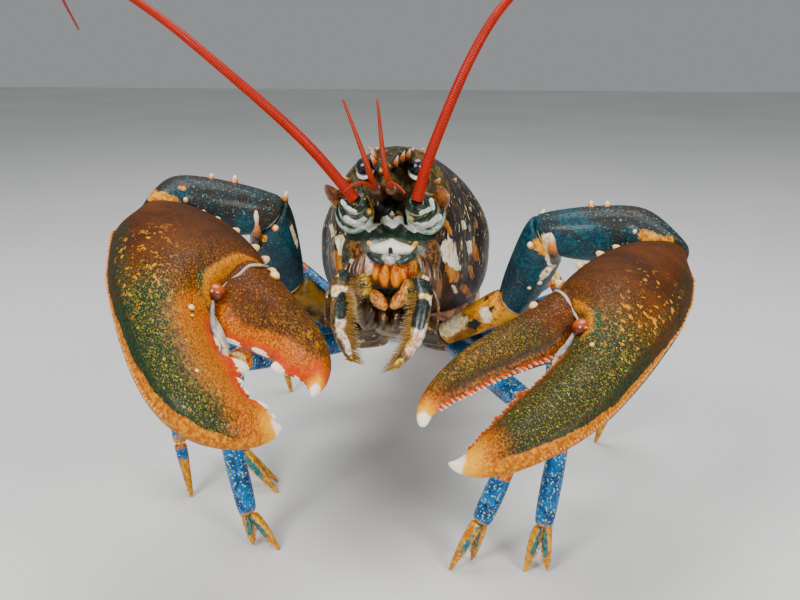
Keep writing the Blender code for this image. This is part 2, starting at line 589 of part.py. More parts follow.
def row_of_forms(maker, sections, edge, rows, wrist, frame, lean, sink, drop=0.0):
    """Forms set along one edge of a claw part: (distance from the wrist, radius, height) each."""
    along, inward, normal = frame
    outwards = -1.0 if edge == 0 else 1.0
    parts = []
    for distance, radius, height in rows:
        a, b = edge_point(sections, edge, distance)
        place = wrist + along * a + inward * (b - outwards * sink * radius) + normal * palm_drop(a, drop)
        direction = inward * outwards + along * lean + normal * 0.08
        parts.append(maker(place, direction, radius, varied(height, 0.12) + sink * radius))
    return parts


def steps(first, last, count):
    """Evenly spaced values from first to last."""
    return [first + (last - first) * k / (count - 1) for k in range(count)]


def palm_forms(side, palm, wrist, frame):
    """Teeth, rim knobs, inner-edge spines and the hinge knob of a claw's palm and fixed finger."""
    along, inward, normal = frame
    crusher = side == "right"
    rim = [(a, RIM_RADIUS[side], RIM_RADIUS[side] * 0.9) for a in steps(9.0, 117.0, RIM_COUNT)]
    parts = row_of_forms(knob, palm, 0, rim, wrist, frame, 0.1, 0.5, PALM_SINK[side])
    parts += row_of_forms(knob if crusher else spike, palm, 1, PALM_TEETH[side], wrist, frame, 0.0, 0.5)
    parts += row_of_forms(spike, palm, 1, INNER_SPINES[side], wrist, frame, 0.25, 0.6, PALM_SINK[side])
    a, b, height = HINGE_KNOB[side]
    parts.append(knob(wrist + along * a + inward * b + normal * height, normal, 3.2, 3.0, 8))
    return parts


def finger_forms(side, finger, wrist, frame):
    """Teeth of a claw's moving finger, which bite against the fixed one, and its base knob."""
    along, inward, normal = frame
    maker = knob if side == "right" else spike
    parts = []
    for distance, radius, height in FINGER_TEETH[side]:
        a, b = edge_point(finger, 1, distance)
        place = wrist + along * a + inward * (b + 0.5 * radius)
        parts.append(maker(place, -inward + normal * 0.08, radius, varied(height, 0.12) + 0.5 * radius))
    a, b = edge_point(finger, 0, finger[0][0][0] + 4.0)
    place = wrist + along * a + inward * (b - 1.2) + normal * 1.5
    parts.append(knob(place, inward + normal * 0.5, 2.4, 3.4))
    return parts


def make_legs():
    """Four pairs of walking legs: two with small pincers, two with plain claws."""
    made = []
    for (number, side), path in LEG_PATHS.items():
        hip, knee, wrist, ankle, foot = (Vector(p) for p in path)
        w = LEG_WIDTHS[number]
        plane = (knee - hip).cross(wrist - knee).normalized()
        knee_normal = joint_normal(hip, knee, wrist)
        ankle_normal = joint_normal(wrist, ankle, foot)
        name = f"leg{number}_%s_{side}"
        made.append(limb(name % "upper", [hip, knee],
                         [((0.0, 4.2 * w, 4.2 * w), (0.25, 4.4 * w, 4.9 * w), (0.8, 4.2 * w, 5.2 * w),
                           (1.0, 3.6 * w, 4.2 * w))],
                         plane, normals=((knee - hip).normalized(), knee_normal)))
        shank = limb(name % "shank", [knee, wrist, ankle],
                     [((0.0, 3.6 * w, 4.2 * w), (0.5, 3.9 * w, 4.4 * w), (1.0, 3.3 * w, 3.6 * w)),
                      ((0.0, 3.3 * w, 3.6 * w), (0.5, 3.8 * w, 4.2 * w), (1.0, 3.4 * w, 3.2 * w))],
                     plane, normals=(knee_normal, ankle_normal))
        level = Vector((0, 0, -1))
        if number in CHELATE:
            spread = PINCER_SPREAD[(number, side)]
            reach = (foot - ankle).normalized()
            apart = Vector(spread)
            apart = (apart - apart.dot(reach) * reach).normalized()
            fixed_root = ankle - (ankle - wrist).normalized() * 4.0 + apart * 1.6
            fixed_tip = foot + Vector(spread) + Vector((0, 0, 0.8))
            fixed = limb("fixed finger", [fixed_root, ankle + apart * 1.9 + reach * 1.5, fixed_tip],
                         [((0.0, 1.2, 1.2), (1.0, 1.5, 1.9)),
                          ((0.0, 1.5, 1.9), (0.5, 1.4, 1.6), (1.0, 0.5, 0.5))],
                         apart, gaps=(False, False), count=8)
            shank = fuse(shank, [fixed])
            aside = apart - apart.dot(ankle_normal) * ankle_normal
            finger = limb(name % "finger", [ankle - aside * 1.7, foot],
                          [((0.0, 1.3, 2.4), (0.5, 1.6, 1.9), (1.0, 0.9, 0.9))],
                          apart, normals=(ankle_normal, level), gaps=(True, False), count=8)
        else:
            finger = limb(name % "finger", [ankle, foot],
                          [((0.0, 2.9 * w, 3.0 * w), (0.5, 2.0 * w, 2.2 * w), (1.0, 0.9, 0.9))],
                          plane, normals=(ankle_normal, level), gaps=(True, False), count=8)
        made += [shank, finger]
    return made


def somite_frames():
    """Start, direction and up vector of each abdominal somite, and of the tail's root."""
    place = body(0.0, *ABDOMEN_ROOT)
    frames = []
    for slope in SOMITE_SLOPES:
        angle = math.radians(slope)
        along = Vector((0.0, math.cos(angle), -math.sin(angle)))
        upward = Vector((0.0, math.sin(angle), math.cos(angle)))
        frames.append((place, along, upward))
        place = place + along * SOMITE_LENGTH
    frames.append((place, along, upward))
    return frames


def make_abdomen():
    """Six arched somites, each with a pointed flap down either side."""
    frames = somite_frames()
    made = []
    for k, (half_width, top) in enumerate(SOMITE_SIZES):
        place, along, upward = frames[k]
        before = frames[max(k - 1, 0)][1]
        after = frames[min(k + 1, 5)][1]
        cuts = ((before + along).normalized(), (along + after).normalized())
        rings = []
        for share, grow in ((0.0, 0.93), (0.3, 0.97), (0.8, 1.0), (1.0, 0.985)):
            ring = []
            for i in range(20):
                c, s = power_pair(math.tau * i / 20, 2.1 if i < 10 else 3.0)
                lateral = (Vector((half_width * c * grow, 0, 0))
                           + upward * ((top * s if s > 0 else 0.42 * top * s) * grow))
                low = -lateral.dot(cuts[0]) / along.dot(cuts[0]) + GAP / 2.0
                high = SOMITE_LENGTH - lateral.dot(cuts[1]) / along.dot(cuts[1]) - GAP / 2.0
                ring.append(place + lateral + along * (low * (1.0 - share) + high * share))
            rings.append(ring)
        ring_body = mesh_object(f"abdomen_{k + 1}", rings)
        flaps = [pleuron(place, along, upward, half_width, top, s) for s in (-1.0, 1.0)]
        if k in SWIMMERET_SOMITES:
            for s in (-1.0, 1.0):
                flaps += swimmerets(place, along, upward, half_width, top, s)
        made.append(fuse(ring_body, flaps))
    return made


def swimmerets(place, along, upward, half_width, top, s):
    """A pair of leaf-shaped vanes that hang from one side of a somite's underside."""
    floor = -0.42 * top
    vanes = []
    for x, turn, length in ((0.42, 0.25, 15.0), (0.62, -0.15, 13.0)):
        hang = (-upward * 0.75 + along * 0.65).normalized()
        across = (Vector((s, 0, 0)) + along * turn).normalized()
        across = (across - across.dot(hang) * hang).normalized()
        face = hang.cross(across)
        root = place + along * 7.0 + upward * (floor + 2.0) + Vector((s * half_width * x, 0, 0))
        rings = []
        for share, half in ((0.0, 1.1), (0.3, 1.6), (0.65, 3.4), (1.0, 1.0)):
            rings.append([root + hang * (length * share) + across * (half * c) + face * (0.5 * t)
                          for c, t in (power_pair(math.tau * i / 4, 2.0) for i in range(4))])
        vanes.append(mesh_object("vane", rings))
    return vanes


def pleuron(place, along, upward, half_width, top, s):
    """Pointed side flap of a somite."""
    rings = []
    for down, x, length, thick, shift in ((-0.1, 0.93, 8.2, 1.5, 10.5), (0.35, 0.965, 7.6, 1.5, 10.5),
                                          (0.62, 0.94, 5.0, 1.1, 11.8), (0.82, 0.9, 1.0, 0.6, 14.0)):
        middle = place + along * shift + upward * (-down * top) + Vector((s * half_width * x, 0, 0))
        rings.append([middle + along * (length * c) + Vector((thick * t, 0, 0))
                      for c, t in (power_pair(math.tau * i / 8, 2.0) for i in range(8))])
    return mesh_object("pleuron", rings)


def make_tail_fan():
    """Telson and four uropods that slope down and rest flat on the floor."""
    root, along, upward = somite_frames()[-1]
    made = []
    for name, x, back, angle, length, root_half, full_half in FAN_PLATES:
        for side in (("",) if name == "telson" else SIDES):
            s = SIGN.get(side, 1.0)
            turn = math.radians(angle) * s
            heading = Vector((math.sin(turn), math.cos(turn), 0.0))
            across = Vector((math.cos(turn), -math.sin(turn), 0.0))
            start = Vector((x * s, root.y + 1.6 + back, 0.0))
            face = root + along * GAP
            rings = []
            for share in (0.0, 0.15, 0.35, 0.6, 0.8, 0.93, 1.0):
                swell = math.sin(min(share, 0.7) / 0.7 * math.pi / 2.0) ** 1.5
                close = 1.0 if share < 0.9 else math.sqrt(max(0.0, 1.0 - ((share - 0.9) / 0.115) ** 2))
                half = (root_half + (full_half - root_half) * swell) * close
                thick = 1.9 - 1.1 * share
                lift = max(0.0, (root.z - 3.5) * (1.0 - share / 0.72))
                middle = start + heading * (length * share) + Vector((0, 0, lift + thick))
                ring = [middle + across * (half * c) + Vector((0, 0, thick * t)) for c, t in PLATE_SECTION]
                if share == 0.0:
                    ring = [face + Vector((x * s + half * c, 0, 0)) + upward * (thick * t - 2.5)
                            for c, t in PLATE_SECTION]
                rings.append(ring)
            made.append(mesh_object(name + ("_" + side if side else ""), rings))
    return made


def fuse(base, parts):
    """Union closed parts with a base object, and keep its largest closed surface."""
    group = bpy.data.collections.new("parts of " + base.name)
    bpy.context.scene.collection.children.link(group)
    for part in parts:
        bpy.context.scene.collection.objects.unlink(part)
        group.objects.link(part)
    joining = base.modifiers.new("join", "BOOLEAN")
    joining.operation = "UNION"
    joining.operand_type = "COLLECTION"
    joining.collection = group
    joining.solver = "EXACT"
    evaluated = base.evaluated_get(bpy.context.evaluated_depsgraph_get())
    joined = bpy.data.meshes.new_from_object(evaluated)
    base.modifiers.remove(joining)
    joined.name = base.name
    base.data = joined
    for part in parts:
        bpy.data.objects.remove(part)
    bpy.data.collections.remove(group)
    keep_largest_surface(base)
    return base


def keep_largest_surface(item):
    """Drop every closed surface of a mesh but its largest."""
    shape = bmesh.new()
    shape.from_mesh(item.data)
    waiting, islands = set(shape.faces), []
    while waiting:
        seed_face = waiting.pop()
        island, edge_faces = {seed_face}, [seed_face]
        while edge_faces:
            face = edge_faces.pop()
            for edge in face.edges:
                for other in edge.link_faces:
                    if other in waiting:
                        waiting.discard(other)
                        island.add(other)
                        edge_faces.append(other)
        islands.append(island)
    islands.sort(key=lambda island: sum(face.calc_area() for face in island))
    doomed = [face for island in islands[:-1] for face in island]
    if doomed:
        bmesh.ops.delete(shape, geom=doomed, context="FACES")
    bmesh.ops.triangulate(shape, faces=shape.faces)
    shape.to_mesh(item.data)
    shape.free()


FINISHES = (
    (("carapace", "thorax", "abdomen", "telson", "uropod"), (0.03, 0.03, 0.05), 0.35),
    (("cheliped",), (0.12, 0.06, 0.03), 0.35),
    (("leg",), (0.02, 0.1, 0.35), 0.35),
    (("antenna_right", "antenna_left", "antennule"), (0.5, 0.02, 0.01), 0.3),
    (("head_front", "maxilliped", "antenna_base"), (0.45, 0.42, 0.3), 0.4),
    (("eye",), (0.01, 0.01, 0.02), 0.1))


def dress(items):
    """Give each node its own material in the colour of its group."""
    for item in items:
        for starts, colour, roughness in FINISHES:
            if item.name.startswith(starts):
                break
        item.data.materials.clear()
        item.data.materials.append(material(item.name + " shell", colour, roughness))
        item.data.shade_smooth()


def stand_at_origin(items):
    """Parent all nodes to one empty and move it so the model's base centre is the origin."""
    stand = bpy.data.objects.new("lobster", None)
    bpy.context.scene.collection.objects.link(stand)
    corners = [vertex.co for item in items for vertex in item.data.vertices]
    middle = [(min(c[k] for c in corners) + max(c[k] for c in corners)) / 2.0 for k in (0, 1)]
    for item in items:
        item.parent = stand
    stand.location = (-middle[0], -middle[1], -min(c[2] for c in corners))


def main():
    """Build the lobster."""
    for item in list(bpy.data.objects):
        bpy.data.objects.remove(item)
    random.seed(SEED)
    items = [make_carapace(), make_thorax(), make_head_front()]
    for maker in (make_eyes, make_antennules, make_antennae, make_maxillipeds, make_claws, make_legs,
                  make_abdomen, make_tail_fan):
        items.extend(maker())
    dress(items)
    stand_at_origin(items)


main()
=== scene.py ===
"""Looks of a life-size european lobster, standing with both claws raised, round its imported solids.

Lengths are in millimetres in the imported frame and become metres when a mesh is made. The animal
faces -Y and its left side is +X. Places on the shell are given in body terms: x to the left, back
behind the front edge of the carapace, up above the body's axis. Claws have terms of their own:
along from the wrist, inwards across the claw, and off its upper face. Markings are drawn as lines
of photo pixels, and lie on the surface that the photo's camera sees there.
"""
from __future__ import annotations

import logging
import math
import random
from dataclasses import dataclass, field
from enum import Enum
from typing import Callable, Sequence

import bpy
import numpy as np
from mathutils import Matrix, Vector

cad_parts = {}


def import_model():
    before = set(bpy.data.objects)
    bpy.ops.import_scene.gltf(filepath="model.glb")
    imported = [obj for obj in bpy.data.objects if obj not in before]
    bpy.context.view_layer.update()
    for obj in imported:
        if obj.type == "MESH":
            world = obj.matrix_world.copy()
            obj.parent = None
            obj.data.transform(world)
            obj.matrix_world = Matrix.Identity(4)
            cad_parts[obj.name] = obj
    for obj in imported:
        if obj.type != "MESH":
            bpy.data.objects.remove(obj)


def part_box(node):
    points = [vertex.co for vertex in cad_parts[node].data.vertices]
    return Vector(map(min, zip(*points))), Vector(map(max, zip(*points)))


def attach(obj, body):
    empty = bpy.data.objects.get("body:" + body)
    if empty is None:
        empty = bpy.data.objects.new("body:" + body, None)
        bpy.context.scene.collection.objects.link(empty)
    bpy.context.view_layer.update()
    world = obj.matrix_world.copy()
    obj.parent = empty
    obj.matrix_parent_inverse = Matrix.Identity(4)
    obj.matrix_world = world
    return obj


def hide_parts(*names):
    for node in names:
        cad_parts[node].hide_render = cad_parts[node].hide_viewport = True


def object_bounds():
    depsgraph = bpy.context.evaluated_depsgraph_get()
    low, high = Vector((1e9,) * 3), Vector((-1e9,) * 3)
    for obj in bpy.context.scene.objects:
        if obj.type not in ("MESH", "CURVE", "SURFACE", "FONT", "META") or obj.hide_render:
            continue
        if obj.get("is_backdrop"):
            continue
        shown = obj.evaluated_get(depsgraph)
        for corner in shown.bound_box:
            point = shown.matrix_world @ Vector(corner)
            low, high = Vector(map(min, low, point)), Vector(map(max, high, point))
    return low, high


LOG = logging.getLogger("lobster")
MM = 0.001
SEED = 11

LEFTWARD = np.array((1.0, 0.0, 0.0))
SKYWARD = np.array((0.0, 0.0, 1.0))

Array = np.ndarray
Piece = bpy.types.Object
Material = bpy.types.Material
Socket = bpy.types.NodeSocket
Section = tuple[tuple[float, float], tuple[float, float], float]
Pixel = tuple[float, float]
Triple = tuple[float, float, float]
Triples = tuple[Triple, ...]
Profile = Sequence[Triple]


class Side(Enum):
    """Which side of the animal a piece is on."""

    RIGHT = "right"
    LEFT = "left"

    @property
    def sign(self) -> float:
        """Direction of the side along X."""
        return -1.0 if self is Side.RIGHT else 1.0


class Slot(Enum):
    """Material slots of the record."""

    BODY = "body_shell"
    CLAW = "claw_shell"
    LEG = "leg_shell"
    FEELER = "feeler"
    MOUTH = "mouth_parts"
    EYE = "eye"


def unit(direction: Array) -> Array:
    """Return a direction at length one."""
    return direction / np.linalg.norm(direction)


def smooth(value: Array, low: float, high: float) -> Array:
    """Return a soft step of a value from 0 at low to 1 at high."""
    t = np.clip((value - low) / (high - low), 0.0, 1.0)
    return t * t * (3.0 - 2.0 * t)


def across_of(axis: Array, guide: Array) -> tuple[Array, Array]:
    """Return two directions square to an axis, the first of them nearest to a guide."""
    side = unit(guide - np.dot(guide, axis) * axis)
    return side, np.cross(axis, side)


def super_pair(angle: float, power: float) -> tuple[float, float]:
    """Return the point of a unit superellipse at an angle.

    Args:
        angle: Angle in radians.
        power: How boxy the shape is; 2 is a circle.

    Returns:
        Its two coordinates.
    """
    c, s = math.cos(angle), math.sin(angle)
    bend = 2.0 / power
    return math.copysign(abs(c) ** bend, c), math.copysign(abs(s) ** bend, s)


def circle(sides: int) -> list[float]:
    """Return angles that share a full turn evenly."""
    return [math.tau * k / sides for k in range(sides)]


def oval(sides: int, power: float) -> list[tuple[float, float]]:
    """Return the points of a unit superellipse; power 2 is a circle, and more is boxier."""
    return [super_pair(angle, power) for angle in circle(sides)]


def bulge(share: float, edge: float, power: float = 1.0) -> float:
    """Return a swelling that is highest halfway and stays above nothing within an edge of both ends."""
    return math.sin(math.pi * min(max(share, edge), 1.0 - edge)) ** power


@dataclass(frozen=True)
class Stance:
    """Where the animal's own directions and places lie in the frame."""

    middle: float
    shift: float
    axis_height: float = 116.0
    pitch: float = math.radians(15.0)

    @classmethod
    def from_frame(cls) -> "Stance":
        """Work out the animal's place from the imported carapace.

        Returns:
            The stance, whose middle plane and rear edge are the carapace's own.
        """
        low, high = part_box("carapace")
        pitch = cls.pitch
        rear = CARAPACE[-1].back * math.cos(pitch) + CARAPACE[-1].top * math.sin(pitch)
        return cls(middle=(low.x + high.x) / 2.0 / MM, shift=high.y / MM - rear)

    @property
    def forward(self) -> Array:
        """Direction in which the animal looks."""
        return np.array((0.0, -math.cos(self.pitch), math.sin(self.pitch)))

    @property
    def upward(self) -> Array:
        """Direction off the animal's back."""
        return np.array((0.0, math.sin(self.pitch), math.cos(self.pitch)))

    def body(self, x: float, back: float, up: float) -> Array:
        """Return the place of a point on the body."""
        root = np.array((self.middle + x, self.shift, self.axis_height))
        return root - back * self.forward + up * self.upward

    def place(self, point: Sequence[float]) -> Array:
        """Return the place of a point given from the middle plane, above the floor."""
        return np.array(point, float) + np.array((self.middle, self.shift, 0.0))

    def terms(self, points: Array) -> tuple[Array, Array, Array]:
        """Return the body terms x, back and up of many points."""
        away = points - self.body(0.0, 0.0, 0.0)
        return away[:, 0], -away @ self.forward, away @ self.upward


@dataclass(frozen=True)
class PhotoView:
    """The photo's camera: where it stands and how it maps places to pixels."""

    stance: Stance
    stand: Triple = (49.7, -375.9, 188.6)
    azimuth: float = math.radians(7.0)
    elevation: float = math.radians(15.0)
    focal: float = 1000.0
    centre: Pixel = (400.0, 300.0)
    sensor: float = 36.0
    nearest: float = 0.01

    def axes(self) -> tuple[Array, Array, Array]:
        """Return the camera's right, up and ahead directions.

        Returns:
            Three unit vectors.
        """
        a, e = self.azimuth, self.elevation
        ahead = np.array((-math.sin(a) * math.cos(e), math.cos(a) * math.cos(e), -math.sin(e)))
        right = np.array((math.cos(a), math.sin(a), 0.0))
        return right, np.cross(right, ahead), ahead

    def project(self, points: Array) -> tuple[Array, Array, Array]:
        """Return the pixel places and the depths of many points.

        Args:
            points: Places in millimetres.

        Returns:
            Pixel columns, pixel rows and distances ahead of the camera.
        """
        right, up, ahead = self.axes()
        away = points - self.stance.place(self.stand)
        depth = away @ ahead
        return (self.centre[0] + self.focal * (away @ right) / depth,
                self.centre[1] - self.focal * (away @ up) / depth, depth)

    def make(self) -> Piece:
        """Add the camera to the scene.

        Returns:
            The camera object, which is also the scene's camera.
        """
        right, up, ahead = self.axes()
        bpy.ops.object.camera_add()
        camera = bpy.context.active_object
        camera.name = "photo_camera"
        camera.data.sensor_width = self.sensor
        camera.data.lens = self.sensor * self.focal / (2.0 * self.centre[0])
        camera.data.clip_start = self.nearest
        turn = Matrix((right, up, -ahead)).transposed().to_4x4()
        turn.translation = self.stance.place(self.stand) * MM
        camera.matrix_world = turn
        bpy.context.scene.camera = camera
        return camera


@dataclass(frozen=True)
class Mark:
    """A marking: the colour layer that it belongs to, its line in pixels, and its half width."""

    layer: str
    line: tuple[Pixel, ...]
    half: float
    reach: float = 9.0

    def strength(self, u: Array, v: Array, depth: Array) -> Array:
        """Return how much of the marking each point takes.

        Args:
            u: Pixel columns of the points.
            v: Pixel rows of the points.
            depth: Their distances ahead of the camera, in millimetres.

        Returns:
            A share from 0 to 1 for each point.
        """
        away = line_distance(u, v, self.line)
        near = away < self.half + 0.5
        if not near.any():
            return np.zeros(len(u))
        front = np.percentile(depth[near], 3.0)
        fade = 1.0 - smooth(depth, front + self.reach, front + 1.5 * self.reach)
        return (1.0 - smooth(away, 0.15 * self.half, 1.85 * self.half)) * fade


class Bench:
    """Modelling steps that every piece shares."""

    @staticmethod
    def clear() -> None:
        """Deselect everything."""
        if bpy.context.object and bpy.context.object.mode != "OBJECT":
            bpy.ops.object.mode_set(mode="OBJECT")
        bpy.ops.object.select_all(action="DESELECT")

    @staticmethod
    def choose(pieces: Sequence[Piece]) -> None:
        """Select some pieces alone, the first of them active.

        Args:
            pieces: The pieces, at least one.
        """
        Bench.clear()
        for piece in pieces:
            piece.select_set(True)
        bpy.context.view_layer.objects.active = pieces[0]

    @staticmethod
    def points(piece: Piece) -> Array:
        """Return a piece's vertex places in millimetres.

        Args:
            piece: The piece.

        Returns:
            One row for each vertex.
        """
        flat = np.empty(len(piece.data.vertices) * 3)
        piece.data.vertices.foreach_get("co", flat)
        return flat.reshape(-1, 3) / MM

    @staticmethod
    def put(piece: Piece, places: Array) -> None:
        """Move a piece's vertices to places in millimetres."""
        piece.data.vertices.foreach_set("co", (places * MM).astype(np.float32).ravel())
        piece.data.update()

    @staticmethod
    def normals(piece: Piece) -> Array:
        """Return a piece's vertex normals.

        Args:
            piece: The piece.

        Returns:
            One row for each vertex.
        """
        flat = np.empty(len(piece.data.vertices) * 3)
        piece.data.vertex_normals.foreach_get("vector", flat)
        return flat.reshape(-1, 3)

    @staticmethod
    def paint(piece: Piece, layer: str, values: Array) -> None:
        """Store one number for each vertex, which the piece's material reads.

        Args:
            piece: The piece.
            layer: Name of the painted layer.
            values: One number for each vertex.
        """
        found = piece.data.attributes.get(layer)
        made = found or piece.data.attributes.new(layer, "FLOAT", "POINT")
        made.data.foreach_set("value", np.clip(values, -1e3, 1e3).astype(np.float32))

    @staticmethod
    def fill(piece: Piece, layer: str, value: float = 1.0) -> None:
        """Store the same number for every vertex."""
        Bench.paint(piece, layer, np.full(len(piece.data.vertices), value))

    @staticmethod
    def outward(piece: Piece) -> None:
        """Turn all faces of a piece outwards.

        Args:
            piece: The piece.
        """
        Bench.choose([piece])
        bpy.ops.object.mode_set(mode="EDIT")
        bpy.ops.mesh.select_all(action="SELECT")
        bpy.ops.mesh.normals_make_consistent(inside=False)
        bpy.ops.object.mode_set(mode="OBJECT")

    @staticmethod
    def subdivide(piece: Piece, levels: int) -> None:
        """Round a piece off with a subdivision surface.

        Args:
            piece: The piece.
            levels: How many times; nothing happens at 0.
        """
        if levels == 0:
            return
        Bench.choose([piece])
        surface = piece.modifiers.new("round", "SUBSURF")
        surface.levels = levels
        surface.render_levels = levels
        bpy.ops.object.modifier_apply(modifier=surface.name)

    @staticmethod
    def tube(name: str, rings: Array | Sequence, levels: int = 2) -> Piece:
        """Model a closed drawn-out form.

        A sphere is added, and its parallels are moved onto the rings one by one.

        Args:
            name: Name of the piece.
            rings: Ring places in millimetres, as rings by sides by three.
            levels: Levels of the subdivision surface that rounds it off.

        Returns:
            The piece, at the origin.
        """
        rings = np.asarray(rings)
        count, sides = rings.shape[:2]
        Bench.clear()
        bpy.ops.mesh.primitive_uv_sphere_add(segments=sides, ring_count=count + 1, radius=1.0)
        piece = bpy.context.active_object
        piece.name = name
        ball = Bench.points(piece) * MM
        row = np.rint(np.arccos(np.clip(ball[:, 2], -1.0, 1.0)) / math.pi * (count + 1)).astype(int) - 1
        turn = np.rint(np.arctan2(ball[:, 1], ball[:, 0]) / math.tau * sides).astype(int) % sides
        places = rings[np.clip(row, 0, count - 1), turn]
        places[row < 0] = rings[0].mean(0)
        places[row >= count] = rings[-1].mean(0)
        Bench.put(piece, places)
        Bench.outward(piece)
        Bench.subdivide(piece, levels)
        piece.data.shade_smooth()
        return piece

    @staticmethod
    def join(name: str, pieces: Sequence[Piece]) -> Piece:
        """Join pieces into one object.

        Args:
            name: Name of the joined piece.
            pieces: The pieces.

        Returns:
            The joined piece.
        """
        Bench.choose(pieces)
        if len(pieces) > 1:
            bpy.ops.object.join()
        joined = bpy.context.view_layer.objects.active
        joined.name = name
        return joined

    @staticmethod
    def stamp(name: str, template: Piece, frames: Sequence[Array]) -> Piece:
        """Copy a template's mesh to many places as one joined mesh, and remove the template.

        Args:
            name: Name of the piece.
            template: The form that repeats, in millimetres about the origin.
            frames: A 4 by 4 matrix for each copy, in millimetres.

        Returns:
            The joined piece, with the template's layers on every copy.
        """
        corners = Bench.points(template) * MM
        faces = [tuple(face.vertices) for face in template.data.polygons]
        copies = [corners @ frame[:3, :3].T + frame[:3, 3] for frame in frames]
        count = len(corners)
        mesh = bpy.data.meshes.new(name)
        mesh.from_pydata((np.concatenate(copies) * MM).tolist(), [],
                         [tuple(i + k * count for i in face) for k in range(len(copies)) for face in faces])
        piece = bpy.data.objects.new(name, mesh)
        bpy.context.scene.collection.objects.link(piece)
        for layer in template.data.attributes:
            if layer.data_type == "FLOAT" and layer.domain == "POINT":
                values = np.empty(count)
                layer.data.foreach_get("value", values)
                Bench.paint(piece, layer.name, np.tile(values, len(copies)))
        bpy.data.objects.remove(template)
        mesh.shade_smooth()
        return piece

    @staticmethod
    def spine(sides: int = 10, blunt: float = 0.25) -> Piece:
        """Model one spine a unit long and wide, which the stamps copy.

        Args:
            sides: Sides of the spine.
            blunt: How round its tip is, from 0, sharp, to 1, a knob.

        Returns:
            The template, with the layer height from root to tip.
        """
        shape = [(-0.6, 1.0), (0.0, 0.98 + 0.1 * blunt), (0.35, 0.66 + 0.4 * blunt),
                 (0.7, 0.32 + 0.5 * blunt), (0.92, 0.12 + 0.35 * blunt)]
        rings = np.array([[(swell * math.cos(math.tau * k / sides), swell * math.sin(math.tau * k / sides),
            up) for k in range(sides)] for up, swell in shape])
        piece = Bench.tube("spine_template", rings, 0)
        corners = Bench.points(piece)
        corners[:, 2] = np.where(np.hypot(corners[:, 0], corners[:, 1]) < 1e-6,
                                 np.where(corners[:, 2] > 0.5, 1.0, -0.6), corners[:, 2])
        Bench.paint(piece, "height", corners[:, 2])
        piece.data.vertices.foreach_set("co", corners.astype(np.float32).ravel())
        return piece

    @staticmethod
    def frame(root: Array, axis: Array, radius: float, length: float, flat: float = 1.0) -> Array:
        """Return the matrix that stands a unit template on a root along an axis.

        Args:
            root: Where it stands.
            axis: Direction that its length takes.
            radius: Its radius.
            length: Its length.
            flat: Depth across as a share of the radius.

        Returns:
            A 4 by 4 matrix in millimetres.
        """
        axis = unit(axis)
        guide = LEFTWARD if abs(axis[0]) < 0.8 else np.array((0.0, 1.0, 0.0))
        side, depth = across_of(axis, guide)
        made = np.eye(4)
        made[:3, 0], made[:3, 1], made[:3, 2] = side * radius, depth * radius * flat, axis * length
        made[:3, 3] = root
        return made

    @staticmethod
    def hand_over(piece: Piece, slot: Slot, material: Material, nodes: Sequence[str] = ()) -> Piece:
        """Dress a finished piece and tie it to the frame.

        Args:
            piece: The finished piece.
            slot: The record's slot; not used.
            material: Its material.
            nodes: The solids that it stands for.

        Returns:
            The same piece.
        """
        piece.data.materials.clear()
        piece.data.materials.append(material)
        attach(piece, "root")
        if nodes:
            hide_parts(*nodes)
        LOG.info("%s: %d faces", piece.name, len(piece.data.polygons))
        return piece


def tint(code: str) -> tuple[float, float, float, float]:
    """Return the linear colour of a six-digit colour code.

    Args:
        code: Two hexadecimal digits each for red, green and blue.

    Returns:
        Red, green, blue and one.
    """
    parts = [int(code[k:k + 2], 16) / 255.0 for k in (0, 2, 4)]
    linear = [p / 12.92 if p <= 0.04045 else ((p + 0.055) / 1.055) ** 2.4 for p in parts]
    return (*linear, 1.0)


